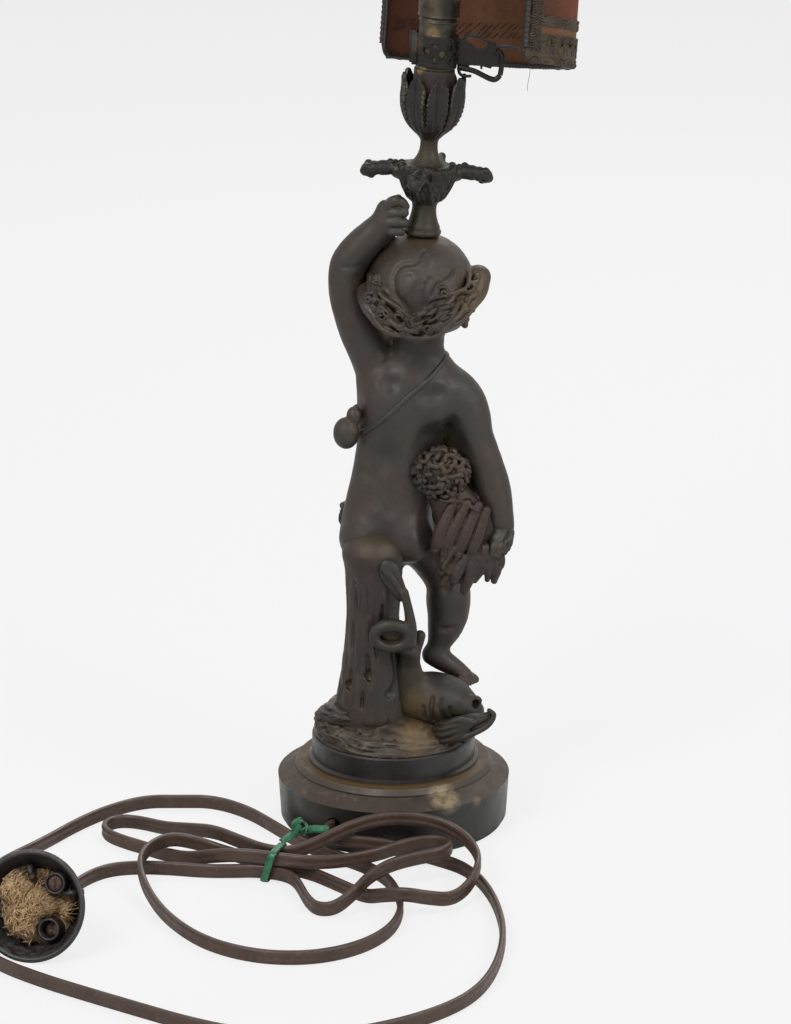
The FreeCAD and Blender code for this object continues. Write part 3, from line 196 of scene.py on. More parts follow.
# %% Cord routes, in millimetres
CORD_WIDTH = 7.2
CORD_THICK = 3.4
LEAD_ROUTE = [
    (-30.9, -51.4, 14.5), (-36, -60, 14.5), (-30.5, -68, 14.2), (-18.5, -71, 13.4), (-5, -70.5, 11.8),
    (9, -69.8, 7.6), (22.5, -72, 4.4), (35, -80.5, 3.6), (44.5, -100, 3.6), (51, -129, 3.6),
    (53.5, -164, 3.6), (49, -201.5, 3.6), (39.5, -230.5, 3.6), (24, -250.5, 3.6), (2, -266.5, 3.6),
    (-22, -277, 3.6), (-47, -280.5, 3.6), (-72, -275, 3.6), (-95, -263.5, 3.6), (-118.5, -248, 3.6),
    (-141, -233, 3.6), (-165, -216.5, 3.6), (-187, -198, 3.6), (-204, -174, 3.6),
    (-213, -143.5, 3.6), (-212, -109, 3.6), (-198.5, -77, 3.6), (-178.5, -49.5, 3.6),
    (-163.5, -24, 3.6), (-149, -5.5, 3.6), (-130.5, 8.6, 3.6), (-112, 8.6, 3.6)]
HANK_ROUTE = [
    (-112, 8.6, 3.6), (-94.5, 8.6, 3.6), (-76.5, -5, 3.6), (-61.5, -27.5, 4), (-49, -47.5, 4.2),
    (-34.5, -62.5, 3.6), (-17, -76, 3.6), (-4, -93, 3.6), (2.5, -114, 3.6), (4, -137, 3.6),
    (-1.5, -160, 3.6), (-15.5, -179, 3.6), (-35.5, -190, 3.6), (-56.5, -191, 3.6), (-75, -184.5, 3.6),
    (-91.5, -172, 3.6), (-105, -153, 3.6), (-115.5, -131.5, 3.8), (-123.5, -111, 7.4),
    (-127, -92, 11.8), (-122.5, -74.5, 12.4), (-112.5, -62.5, 12.2), (-100, -58.5, 8),
    (-88, -61.5, 4.9), (-77, -69.5, 4.9), (-65.3, -79.9, 4.9), (-52.1, -84.7, 4.9),
    # the large right loop, over the lead and up against the plinth
    (-41, -90, 4.5), (-31.5, -98.5, 3.8), (-22.5, -108, 3.6), (-13.5, -118.5, 4), (-5, -128.5, 9.2),
    (5.5, -135.5, 12.8), (17.5, -134.5, 10.2), (28, -127.5, 6.4), (36, -117.5, 7.4), (41.5, -105, 11.8),
    (42.5, -91, 14.2), (37.5, -79.5, 18), (27.5, -71.5, 22), (15, -68, 24.6), (1.5, -67, 25.2),
    (-12, -69, 24.2), (-24.5, -73.5, 21.2), (-38, -79.5, 16.4), (-52.1, -84.7, 12.6), (-65.3, -79.9, 12.6),
    # the left fold
    (-78, -68.5, 13), (-91, -55, 12.8), (-104.5, -42, 8.4), (-117.5, -30, 4.2), (-130.5, -20.5, 3.6),
    (-142.5, -18, 3.6), (-149.5, -26.5, 3.6), (-147, -37.5, 3.6), (-138, -46.5, 3.6), (-127, -54.5, 3.6),
    (-115.5, -63.5, 3.6), (-103.5, -71.5, 4.6), (-92, -79.5, 9.4), (-80, -85.5, 12.6), (-67.9, -87.3, 12.6),
    (-54.7, -92.1, 12.6),
    # the small right loop with its tight fold
    (-43, -95, 12.5), (-30.5, -94, 12.3), (-18, -90, 12.4), (-6, -84, 12.8), (3.5, -77.5, 13.8),
    (13.5, -74, 14.7), (23.5, -74.2, 15.3), (29.5, -82.2, 15.4), (24, -90.6, 15.2), (13, -93.5, 14.6),
    (0, -98.5, 13.2), (-8, -108, 12.8), (-13.5, -119.5, 13.3), (-19.5, -130, 10.4), (-28.5, -136.5, 5.4),
    (-37.5, -133, 3.6), (-42.5, -122, 3.6), (-45.5, -109.5, 3.8), (-49, -98.5, 4.6), (-54.7, -92.1, 4.9),
    (-67.9, -87.3, 4.9),
    # on to the plug
    (-80.5, -86.5, 4.2), (-95, -85, 3.6), (-111.5, -81.5, 3.6), (-127.5, -80, 3.6), (-142.5, -83, 3.6),
    (-153, -94, 3.6), (-159.5, -108.5, 3.8), (-161.5, -123.5, 7), (-161.8, -137, 13.4),
    (-161.6, -150.6, 19.1), (-164.2, -161.1, 23.2)]
print("cord control points", len(LEAD_ROUTE), "and", len(HANK_ROUTE))


# %% Cord helpers
def spline_points(name, route, steps=10):
    """Points along the smooth line that the route's control points steer, in metres."""
    data = bpy.data.curves.new(name, "CURVE")
    data.dimensions = "3D"
    spline = data.splines.new("NURBS")
    spline.points.add(len(route) - 1)
    for point, place in zip(spline.points, route):
        point.co = (*[c * MM for c in place], 1.0)
    spline.order_u = 3
    spline.use_endpoint_u = True
    spline.resolution_u = steps
    guide = bpy.data.objects.new(name, data)
    bpy.context.collection.objects.link(guide)
    bpy.context.view_layer.update()
    mesh = bpy.data.meshes.new_from_object(guide.evaluated_get(bpy.context.evaluated_depsgraph_get()))
    line = np.array([tuple(v.co) for v in mesh.vertices])
    bpy.data.objects.remove(guide)
    bpy.data.curves.remove(data)
    bpy.data.meshes.remove(mesh)
    return line


def new_object(name, verts, faces, smooth=True):
    mesh = bpy.data.meshes.new(name)
    mesh.from_pydata([tuple(v) for v in verts], [], [tuple(f) for f in faces])
    if smooth:
        mesh.shade_smooth()
    mesh.validate()
    made = bpy.data.objects.new(name, mesh)
    bpy.context.collection.objects.link(made)
    return made


def unit(vectors):
    return vectors / np.maximum(np.linalg.norm(vectors, axis=-1, keepdims=True), 1e-12)


def swept(name, line, section):
    """A mesh that carries a section, given as (side, up) points, along a line with up kept upright."""
    line = np.asarray(line, float)
    section = np.asarray(section, float)
    along = unit(np.gradient(line, axis=0))
    side = unit(np.cross(np.broadcast_to((0.0, 0.0, 1.0), along.shape), along))
    lift = unit(np.cross(along, side))
    rings = line[:, None] + side[:, None] * section[None, :, :1] + lift[:, None] * section[None, :, 1:]
    count = len(section)
    verts = rings.reshape(-1, 3)
    faces = []
    for i in range(len(line) - 1):
        for k in range(count):
            n = (k + 1) % count
            faces.append((i * count + k, i * count + n, (i + 1) * count + n, (i + 1) * count + k))
    faces.append(tuple(range(count))[::-1])
    faces.append(tuple((len(line) - 1) * count + k for k in range(count)))
    return new_object(name, verts, faces)


def twin_flex_section(width, thick, points=28):
    """Two round cores side by side under one jacket, with a shallow groove between them."""
    outline = []
    for k in range(points):
        angle = 2 * pi * k / points
        up = sin(angle)
        side = copysign(abs(cos(angle)) ** 0.55, cos(angle))
        groove = 1.0 - 0.32 * exp(-(up / 0.26) ** 2)
        outline.append((side * groove * thick / 2, up * width / 2))
    return outline


# %% Cord
FLEX = [(a * MM, b * MM) for a, b in twin_flex_section(CORD_WIDTH, CORD_THICK)]
cord_line = spline_points("flex_line", LEAD_ROUTE + HANK_ROUTE[1:])
flex_cord = swept("flex_cord", cord_line, FLEX)
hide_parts("cord_lead", "cord_hank")
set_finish(flex_cord, "cord_cover")
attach(flex_cord, "root")
cord_length = float(np.linalg.norm(np.diff(cord_line, axis=0), axis=1).sum())
print("cord length", round(cord_length, 3), "m, least height of its line", round(cord_line[:, 2].min(), 4))

# %% [markdown]
# ## Sculpting with distances
# The castings have no flat faces to build from, so they are sculpted. A block of clay here is a grid of
# numbers: each says how far that point is from the surface, below zero inside. Adding a limb takes the
# smaller of two distances, with a soft blend where they meet, and a carved hollow takes the larger. At the
# end a mesh is laid where the numbers change sign, and its points are drawn onto the surface.

# %% Clay
FAR = 20.0


def blend_least(a, b, soft):
    """The smaller of two distances, rounded where they are within soft of each other."""
    if soft <= 0:
        return np.minimum(a, b)
    h = np.clip(0.5 + 0.5 * (b - a) / soft, 0.0, 1.0)
    return b + (a - b) * h - soft * h * (1.0 - h)


class Clay:
    """A block of clay in millimetres, with grains of one size."""

    def __init__(self, low, high, grain):
        self.low = np.array(low, float)
        self.grain = grain
        count = np.ceil((np.array(high, float) - self.low) / grain).astype(int) + 1
        self.field = np.full(count, FAR, np.float32)

    def window(self, low, high):
        start = np.clip(np.floor((np.array(low) - self.low) / self.grain).astype(int), 0, None)
        stop = np.minimum(np.ceil((np.array(high) - self.low) / self.grain).astype(int) + 1, self.field.shape)
        if (stop <= start).any():
            return None, None
        cut = tuple(slice(a, b) for a, b in zip(start, stop))
        x, y, z = (np.float32(self.low[i]) + np.float32(self.grain)
                   * np.arange(start[i], stop[i], dtype=np.float32)
                   for i in range(3))
        return cut, (x[:, None, None], y[None, :, None], z[None, None, :])

    def work(self, shape, soft=0.0, take=False):
        """Adds a shape, or takes it away. A shape is its distance and the box it lies in."""
        distance, low, high = shape
        margin = soft + 3 * self.grain
        cut, grid = self.window([c - margin for c in low], [c + margin for c in high])
        if cut is None:
            return self
        old = self.field[cut]
        new = distance(*grid).astype(np.float32)
        self.field[cut] = -blend_least(-old, new, soft) if take else blend_least(old, new, soft)
        return self

    def texture(self, relief, deep=2.5):
        """Raises or sinks the surface by a relief, a function of x, y and z in millimetres outward."""
        near = np.nonzero(np.abs(self.field) < deep)
        x, y, z = (np.float32(self.low[i]) + np.float32(self.grain) * near[i].astype(np.float32)
                   for i in range(3))
        self.field[near] -= relief(x, y, z).astype(np.float32)
        return self

    def sample(self, points):
        """Distances at points, read between the grains."""
        place = (points - self.low) / self.grain
        base = np.clip(np.floor(place).astype(int), 0, np.array(self.field.shape) - 2)
        f = np.clip(place - base, 0.0, 1.0)
        total = np.zeros(len(points))
        for corner in range(8):
            step = np.array([corner >> 2 & 1, corner >> 1 & 1, corner & 1])
            share = np.prod(np.where(step, f, 1.0 - f), axis=1)
            total += share * self.field[tuple((base + step).T)]
        return total

    def slope(self, points):
        """Which way is out, at points."""
        reach = 0.75 * self.grain
        return np.stack([self.sample(points + axis * reach) - self.sample(points - axis * reach)
                         for axis in np.eye(3)], axis=1)

    def touch(self, x, z, side):
        """The y at which a needle along y, from the side +1 or -1, meets the surface at x and z."""
        ys = np.arange(self.low[1], self.low[1] + self.grain * (self.field.shape[1] - 1), self.grain / 2)
        inside = self.sample(np.stack([np.full_like(ys, x), ys, np.full_like(ys, z)], axis=1)) < 0
        return ys[inside][-1 if side > 0 else 0] if inside.any() else 0.0

    def skin(self):
        """The surface as points and four-sided faces: one point in each grain cell that it crosses."""
        f = self.field
        inside = f < 0
        shape = np.array(f.shape) - 1
        count = np.zeros(shape, np.int8)
        corners = [np.array([i >> 2 & 1, i >> 1 & 1, i & 1]) for i in range(8)]
        for c in corners:
            count += inside[c[0]:c[0] + shape[0], c[1]:c[1] + shape[1], c[2]:c[2] + shape[2]]
        crossed = (count > 0) & (count < 8)
        number = np.full(shape, -1, np.int64)
        cells = np.argwhere(crossed)
        number[crossed] = np.arange(len(cells))
        total = np.zeros((len(cells), 3))
        hits = np.zeros(len(cells))
        for i in range(8):
            for axis in range(3):
                if corners[i][axis]:
                    continue
                other = corners[i].copy()
                other[axis] = 1
                a = f[tuple((cells + corners[i]).T)].astype(float)
                b = f[tuple((cells + other).T)].astype(float)
                through = (a < 0) != (b < 0)
                t = np.where(through, a / np.where(a == b, 1.0, a - b), 0.0)
                place = corners[i] + np.outer(t, np.eye(3)[axis])
                total[through] += place[through]
                hits[through] += 1
        points = (cells + total / np.maximum(hits, 1)[:, None]) * self.grain + self.low
        faces = []
        for axis in range(3):
            u, v = (axis + 1) % 3, (axis + 2) % 3
            here = [slice(1, -1)] * 3
            here[axis] = slice(0, -1)
            ahead = [slice(1, -1)] * 3
            ahead[axis] = slice(1, None)
            start = inside[tuple(here)]
            change = start != inside[tuple(ahead)]
            spots = np.argwhere(change)
            outward = start[tuple(spots.T)]
            spots = spots + [0 if i == axis else 1 for i in range(3)]
            back_u, back_v = np.eye(3, dtype=int)[u], np.eye(3, dtype=int)[v]
            quad = np.stack([number[tuple((spots - s).T)]
                             for s in (back_u + back_v, back_v, 0 * back_u, back_u)],
                            axis=1)
            quad[~outward] = quad[~outward][:, ::-1]
            faces.append(quad)
        return points, np.concatenate(faces)


def settle(clay, points, rounds=3):
    """Draws points onto the surface along its slope."""
    for _ in range(rounds):
        slope = clay.slope(points)
        steep = np.linalg.norm(slope, axis=1, keepdims=True)
        step = clay.sample(points)[:, None] * slope * (1.5 * clay.grain) / np.maximum(steep, 1e-6) ** 2
        points = points - np.clip(step, -clay.grain, clay.grain)
    return points


HOLLOW_REACH = (1.2, 4)


def cast(clay, name, place=None, replaces=()):
    """Turns the clay into a smooth object in metres, and notes on each point how hollow its place is."""
    points, faces = clay.skin()
    points = settle(clay, points)
    out = unit(clay.slope(points))
    hollow = [1.0 - clay.sample(points + out * reach) / reach for reach in HOLLOW_REACH]
    world_points = points * MM
    if place is not None:
        turn = np.array(place.to_3x3())
        world_points = world_points @ turn.T + np.array(place.to_translation())
    mesh = bpy.data.meshes.new(name)
    mesh.vertices.add(len(points))
    mesh.vertices.foreach_set("co", world_points.astype(np.float32).ravel())
    mesh.loops.add(faces.size)
    mesh.loops.foreach_set("vertex_index", faces.astype(np.int32).ravel())
    mesh.polygons.add(len(faces))
    mesh.polygons.foreach_set("loop_start", np.arange(0, faces.size, 4, dtype=np.int32))
    mesh.update(calc_edges=True)
    mesh.shade_smooth()
    for key, values in (("crease", hollow[0]), ("shelter", hollow[1])):
        layer = mesh.attributes.new(key, "FLOAT", "POINT")
        layer.data.foreach_set("value", np.clip(values, -1.0, 1.0).astype(np.float32))
    made = bpy.data.objects.new(name, mesh)
    bpy.context.collection.objects.link(made)
    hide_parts(*replaces)
    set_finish(made, "gilt_spelter")
    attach(made, "root")
    print(name, "has", len(faces), "faces")
    return made


# %% [markdown]
# ## Shapes for the clay
# Three shapes make almost everything: an egg, a limb through a row of balls, and a stack of ovals for a
# trunk. A limb's row is smoothed first, so that an arm bends without corners. Noise from a small table of
# numbers gives bark, rock and cast metal their unevenness.

# %% Shapes
def egg(centre, radii, turn=0.0, about="Y"):
    rows = np.array(Matrix.Rotation(radians(-turn), 3, about))
    reach = max(radii)

    def distance(x, y, z):
        p = [x - centre[0], y - centre[1], z - centre[2]]
        q = [sum(rows[i][k] * p[k] for k in range(3)) / radii[i] for i in range(3)]
        near = np.sqrt(q[0] ** 2 + q[1] ** 2 + q[2] ** 2)
        steep = np.sqrt((q[0] / radii[0]) ** 2 + (q[1] / radii[1]) ** 2 + (q[2] / radii[2]) ** 2)
        return near * (near - 1.0) / np.maximum(steep, 1e-4)

    return distance, [c - reach for c in centre], [c + reach for c in centre]


def smooth_row(row, steps=5):
    """More stations through the given ones, on a Catmull-Rom line."""
    row = np.array(row, float)
    padded = np.vstack([2 * row[0] - row[1], row, 2 * row[-1] - row[-2]])
    t = np.linspace(0, 1, steps, endpoint=False)[:, None]
    out = []
    for a, b, c, d in zip(padded, padded[1:], padded[2:], padded[3:]):
        out.append(0.5 * (2 * b + (c - a) * t + (2 * a - 5 * b + 4 * c - d) * t ** 2
                          + (3 * b - a - 3 * c + d) * t ** 3))
    return np.vstack(out + [row[-1:]])


def limb(row, steps=5, squash=None):
    """A limb through balls (x, y, z, radius)."""
    stations = smooth_row(row, steps) if steps > 1 else np.array(row, float)
    reach = stations[:, 3].max()

    def distance(x, y, z):
        best = None
        for a, b in zip(stations, stations[1:]):
            run = b[:3] - a[:3]
            length = max(float(run @ run), 1e-9)
            px, py, pz = x - a[0], y - a[1], z - a[2]
            t = np.clip((px * run[0] + py * run[1] + pz * run[2]) / length, 0.0, 1.0)
            d = np.sqrt((px - t * run[0]) ** 2 + (py - t * run[1]) ** 2 + (pz - t * run[2]) ** 2)
            d = d - (a[3] + t * (b[3] - a[3]))
            best = d if best is None else np.minimum(best, d)
        return best

    return distance, stations[:, :3].min(axis=0) - reach, stations[:, :3].max(axis=0) + reach


def stack(rows):
    """A trunk through level ovals (z, x, y, half width, half depth)."""
    rows = smooth_row(sorted(rows), 6)
    level = rows[:, 0]

    def distance(x, y, z):
        cx, cy, rx, ry = (np.interp(z, level, rows[:, k]).astype(np.float32) for k in range(1, 5))
        px, py = (x - cx) / rx, (y - cy) / ry
        near = np.sqrt(px ** 2 + py ** 2)
        steep = np.sqrt((px / rx) ** 2 + (py / ry) ** 2)
        round_d = near * (near - 1.0) / np.maximum(steep, 1e-4)
        end_d = np.maximum(z - level[-1], level[0] - z)
        return np.maximum(round_d, end_d)

    reach_x, reach_y = rows[:, 3].max(), rows[:, 4].max()
    low = (rows[:, 1].min() - reach_x, rows[:, 2].min() - reach_y, level[0])
    high = (rows[:, 1].max() + reach_x, rows[:, 2].max() + reach_y, level[-1])
    return distance, low, high


LATTICE = np.random.RandomState(7).uniform(-1.0, 1.0, (32, 32, 32)).astype(np.float32)


def noise(x, y, z):
    """Smooth noise between about -1 and 1 that changes over a length of 1."""
    i, j, k = (np.floor(c).astype(int) for c in (x, y, z))
    u, v, w = (c - n for c, n in ((x, i), (y, j), (z, k)))
    u, v, w = (c * c * (3.0 - 2.0 * c) for c in (u, v, w))
    total = 0.0
    for a in (0, 1):
        for b in (0, 1):
            for c in (0, 1):
                share = (u if a else 1 - u) * (v if b else 1 - v) * (w if c else 1 - w)
                total = total + share * LATTICE[(i + a) % 32, (j + b) % 32, (k + c) % 32]
    return total


def rough(x, y, z, size, layers=3):
    """Noise in layers, each half the size and half the height of the last."""
    total = 0.0
    for n in range(layers):
        scale = 2.0 ** n / size
        total = total + noise(x * scale + 5.3 * n, y * scale + 1.7 * n, z * scale + 3.1 * n) / 2.0 ** n
    return total


GRAIN = 0.84
FINE = 0.55
print("grain", GRAIN, "mm, fine grain", FINE, "mm")

# %% [markdown]
# ## The child
# The body is one casting to the eye: a chubby child with its weight on the left leg, the right foot on the
# dolphin, the left arm up to steady the column and the right arm down round a sheaf. The trunk is a stack
# of ovals, limbs blend into it, and the back gets its blades, spine, waist and seat as soft raised or
# sunk eggs. The front is never seen in the picture, so it follows what any small child's body has.

# %% Trunk and limbs
TORSO = [(141.5, -4, 1, 12, 12), (145, -3.8, 0, 19.5, 17.5), (152, -4.2, -0.5, 22.8, 20.5),
         (163, -3.6, 0, 22.8, 19.5), (175, -1.6, 1, 22, 17.6), (188, 0.6, 1.5, 21.2, 16.6),
         (200, 2.6, 2, 21.4, 16.2), (212, 4.2, 2, 22.6, 16.8), (225, 6.2, 2, 24.4, 17.2),
         (236, 8.8, 2, 25, 16), (243.5, 10.2, 2, 20.5, 14), (250.5, 12.2, 1.6, 13.6, 12),
         (258, 13.2, 1.2, 12.4, 11.2), (270, 13.2, 1.2, 12, 11.6)]
STANDING_LEG = [(-5, 3, 148, 13), (-7.5, 3, 136, 12.2), (-9, 3.5, 124, 11.4), (-9.5, 4.5, 112, 10.8),
                (-9.5, 3.5, 100, 10.6), (-9, 2.5, 88, 9), (-7, 2, 76, 7.2), (-5, 2, 67, 6.8)]
STANDING_FOOT = [(-3.4, 1, 62.5, 6), (-4.2, 9, 62.8, 5.6), (-4.8, 18, 61.4, 4.8), (-5, 24, 60.6, 3.4)]
BENT_LEG = [(8, 4, 153, 13), (19, 12, 139, 12), (27.4, 15, 124, 11), (28.6, 12, 112, 11),
            (27, 9, 102, 9.4), (24, 7, 93.5, 6.4), (22, 6, 87.5, 5.8)]
BENT_FOOT = [(19.6, 5.5, 86.2, 5), (25, 4.5, 83.8, 5.6), (31.5, 3.2, 80, 4.8), (37, 2, 76.4, 3.8)]
RAISED_ARM = [(-6, 2, 234, 11.6), (-12, 2, 248, 10.2), (-18.5, 1, 261, 9.1), (-22.6, 0, 275, 8.7),
              (-23.8, -1, 287, 8.9), (-22.2, -2, 296, 9.1), (-17, -3, 304, 8.7), (-10.5, -4.5, 311.5, 7.5),
              (-5.5, -6, 317.5, 6.1)]
LOWERED_ARM = [(22, 2, 231, 11), (32.4, 1, 227, 11.4), (38.2, 0, 218, 10.4), (41.6, -1, 205, 9.3),
               (46.8, -2.5, 191, 9), (50.8, -4, 178, 8.8), (53.6, -6.5, 166, 7.4), (56, -9.5, 158, 5),
               (55.2, -11.5, 154, 4.4)]

body = Clay((-45, -34, 46), (70, 46, 336), GRAIN)
body.work(stack(TORSO))
for shape, soft in ((limb(STANDING_LEG), 5.0), (limb(STANDING_FOOT), 3.0), (limb(BENT_LEG), 5.0),
                    (limb(BENT_FOOT), 2.6), (limb(RAISED_ARM), 5.0), (limb(LOWERED_ARM), 4.0)):
    body.work(shape, soft)
print("clay block", body.field.shape)

# %% Back, waist and seat
RAISED_FORMS = [
    ((-14.5, -9.5, 153), (12, 11.5, 12), 6.0), ((8, -9.5, 154), (12.2, 12, 12.2), 5.0),
    ((-5, -8.5, 226), (8.5, 7, 12.5), 7.0), ((20.5, -8, 226), (9, 7.6, 12.5), 7.0),
    ((28, 0, 233), (10, 9.5, 7.8), 4.0), ((33, 6, 205), (8, 8, 16), 4.0),
    ((2, 10, 186), (16.5, 13.5, 19), 7.0),
    ((-3, 9, 222), (9, 8, 8), 6.0), ((14.5, 9, 222), (9, 8, 8), 6.0),
    ((27.6, 10, 115.5), (9.6, 9, 12), 4.0), ((-9.5, -1, 101), (9.6, 10, 13), 4.0)]
for centre, radii, soft in RAISED_FORMS:
    body.work(egg(centre, radii), soft)
ARM_TO_HEAD = limb([(-10, 6, 252, 5), (-3, 6, 261, 6), (-9, 7, 275, 5), (-13, 7, 284, 5),
                    (-12, 7, 295, 6.5), (-5, 6, 308, 6)])
BEHIND_SHEAF = egg((35, 6, 182), (12, 6, 14))
for shape in (ARM_TO_HEAD, BEHIND_SHEAF):
    body.work(shape, 3.0)
SUNK_FORMS = [
    (egg((-3.8, -17.5, 200), (3.6, 5, 9), 4), 3.6), (egg((20.8, -18.5, 232), (8.6, 5.6, 4.6), -12), 3.6),
    (egg((-1.3, -17.5, 238), (5, 5.4, 5.4)), 3.6), (egg((8, -20, 184), (4.2, 3.2, 5), 20), 4.0),
    (egg((-6, -26.5, 158.5), (8, 4.6, 4.2), 8), 4.0), (egg((19.5, -18, 164), (5, 6, 13), 8), 5.0),
    (egg((-15.5, -16, 205), (3, 3.2, 12), -6), 4.0),
    (limb([(12.6, -15.6, 246, 1.6), (8, -18.4, 230, 1.6), (4.4, -18.2, 210, 1.8), (1.2, -18.6, 190, 1.9),
           (-1.6, -19.8, 172, 1.6)]), 5.0),
    (limb([(-3, -24.2, 160, 1.2), (-3.2, -25, 151, 2), (-3, -22, 140, 2.4)]), 2.6),
    (egg((21.5, -18.5, 209.5), (9.5, 7.4, 6.4), -20), 4.0), (egg((30.6, -10.5, 208), (3, 5, 9), -12), 4.0),
    (egg((-9.5, -20, 176), (3.2, 2.4, 3.2)), 4.0), (egg((6, -20.5, 176), (3.2, 2.4, 3.2)), 4.0),
    (egg((-18, -12, 190), (6, 3.2, 2.4), 8), 5.0), (egg((19, -12, 190), (6, 3.2, 2.4), -8), 5.0),
    (egg((1, 24.5, 185), (1.5, 2.4, 1.8)), 1.6), (limb([(-6.5, 18.8, 214, 1), (6, 20, 212, 1.2),
                                                           (18.5, 18.8, 214, 1)]), 5.0),
    (limb([(18, -3.5, 103.5, 0.3), (24, -0.8, 102, 0.4), (31, 0.5, 103, 0.3)]), 3.0),
    (limb([(-25, -10.6, 296.4, 0.4), (-19.5, -11.8, 295.8, 0.9), (-13.5, -11, 296.8, 0.9)]), 2.0),
    (limb([(52.4, -13, 159.6, 0.5), (56.8, -14.6, 160.4, 0.6), (61, -12, 160, 0.5)]), 1.6)]
for shape, soft in SUNK_FORMS:
    body.work(shape, soft, take=True)

# %% [markdown]
# ## Hands and feet
# A child's fingers are short and tapered, with a crease at each joint. Each is a limb of three or four
# balls. The raised hand lies on the column's foot with its fingers curled one above the other, and the
# lowered one is wrapped round the stalks.

# %% Hands and feet
body.work(egg((-3.6, -7, 320.6), (5.4, 5.2, 9), -8), 3.0)
RAISED_FINGERS = ([(-2.5, -10, 327, 2.6), (0.5, -11, 330, 2.7), (3.8, -11, 329.4, 2.5),
                   (6.2, -10, 326.8, 1.9)],
                  [(-1.5, -10.8, 323.4, 2.3), (2, -11.6, 324.2, 2.4), (5.6, -10.4, 323.6, 2.2)],
                  [(-2, -10.8, 318.8, 2.6), (2, -11.6, 319.3, 2.7), (5.4, -10.4, 318.6, 2.4)],
                  [(-1, -10.4, 314, 2.3), (2, -11, 314.4, 2.3), (4, -9.8, 313.8, 2)])
body.work(egg((0, -6.6, 321), (5.6, 4.2, 9)), 1.0)
body.work(egg((2.2, -9, 326.6), (3.6, 2.6, 2.4)), 0.6)
for finger in RAISED_FINGERS:
    body.work(limb(finger), 0.3)
for z in (325.6, 321.5, 316.5):
    body.work(limb([(-0.5, -13.6, z, 0.6), (3.0, -14.0, z + 0.2, 0.8), (7.5, -12.2, z - 0.2, 0.9)]), 0.6,
              take=True)
body.work(limb([(-4, -3.4, 323, 2.6), (-1.5, -1.4, 327, 2.5), (2.4, -1, 328.8, 2.1)]), 1.4)
body.work(egg((54.4, -12, 154), (6.4, 4.6, 5.6), 20), 2.0)
LOWERED_FINGERS = ((50.6, 152.3, 50, 148.2), (54.1, 152.3, 52.5, 147.2), (57, 154.3, 56.1, 149.6),
                   (58.9, 156, 57.7, 151.6))
for x, z, tip_x, tip_z in LOWERED_FINGERS:
    body.work(limb([(x + 0.6, -14.0, z + 3.0, 1.9), (x, -17.4, z, 1.8), (tip_x, -18.2, tip_z, 1.55)]), 0.15)
for x, z in ((52.2, 152.6), (55.3, 153.6), (58, 155)):
    body.work(limb([(x, -18.6, z, 0.4), (x - 1.2, -20.0, z - 5.0, 0.7)]), 0.5, take=True)
for k in range(5):
    size = 2.5 - 0.26 * k
    body.work(limb([(37.6 - 0.9 * k, 5.2 - 2.3 * k, 76.0 + 0.2 * k, size),
                    (40.8 - 1.2 * k, 4.8 - 2.5 * k, 74.0, size),
                    (42.2 - 1.5 * k, 4.6 - 2.6 * k, 73.0, size * 0.9)]), 0.8)
    body.work(limb([(0.2 - 2.5 * k, 24.0 - 0.9 * k, 60.4, size), (0.4 - 2.7 * k, 28.4 - 1.4 * k, 59.8, size),
                    (0.5 - 2.8 * k, 30.0 - 1.7 * k, 59.4, size * 0.9)]), 0.8)

# %% [markdown]
# ## Head and face
# The face is a plain, calm child's face on the usual proportions: eyes half way up the head, the nose half
# way from brow to chin, the mouth a third of the way below the nose, and an eye's width between the eyes.
# Sockets are sunk first, then balls go in for the eyes, and thin limbs make the lids and lips.

# %% Head and face
HEAD = (13, 2, 282)
EYE_OUT, EYE_LEVEL, NOSE_LEVEL, MOUTH_LEVEL, CHIN_LEVEL = 8.4, 279, 271.5, 266, 259.5

head = Clay((-20, -30, 248), (46, 42, 314), GRAIN * 0.75)
head.work(egg(HEAD, (24.5, 25.5, 26.5)))
head.work(egg((HEAD[0], HEAD[1] + 9.0, 270.0), (17, 15.5, 14.5)), 6.0)
head.work(egg((HEAD[0], HEAD[1] + 18.5, CHIN_LEVEL), (5.4, 4.6, 4.2)), 4.0)
for side in (-1, 1):
    head.work(egg((HEAD[0] + side * 10.5, HEAD[1] + 15.5, 270.5), (8.2, 7.6, 8.2)), 5.0)
    head.work(egg((HEAD[0] + side * 24.2, HEAD[1] + 2.0, 276.5), (2.6, 4.8, 6.6)), 1.5)
    head.work(egg((HEAD[0] + side * 26.0, HEAD[1] + 2.6, 276.8), (1.6, 2.8, 4.2)), 1.2, take=True)
    face_y = head.touch(HEAD[0] + side * EYE_OUT, EYE_LEVEL, 1)
    head.work(egg((HEAD[0] + side * EYE_OUT, face_y + 0.6, EYE_LEVEL), (5.4, 2.6, 3.6)), 2.6, take=True)
    head.work(egg((HEAD[0] + side * EYE_OUT, face_y - 3.4, EYE_LEVEL), (4.6, 4.2, 4)), 0.2)
    for rise, bow, thick in ((1.9, 1.5, 0.75), (-1.9, -1.1, 0.6)):
        lid = [(HEAD[0] + side * (EYE_OUT + 4.4 * t), face_y - 0.5 - 1.5 * t * t,
                EYE_LEVEL + rise * 0.35 + bow * (1 - t * t), thick) for t in (-1, -0.5, 0, 0.5, 1)]
        head.work(limb(lid), 0.7)
    brow = [(HEAD[0] + side * (EYE_OUT + 5.0 * t), face_y - 0.9 - 1.4 * t * t,
             EYE_LEVEL + 6.4 - 1.1 * t * t, 1.2)
            for t in (-0.9, 0, 0.9)]
    head.work(limb(brow), 2.4)
nose_y = head.touch(HEAD[0], NOSE_LEVEL, 1)
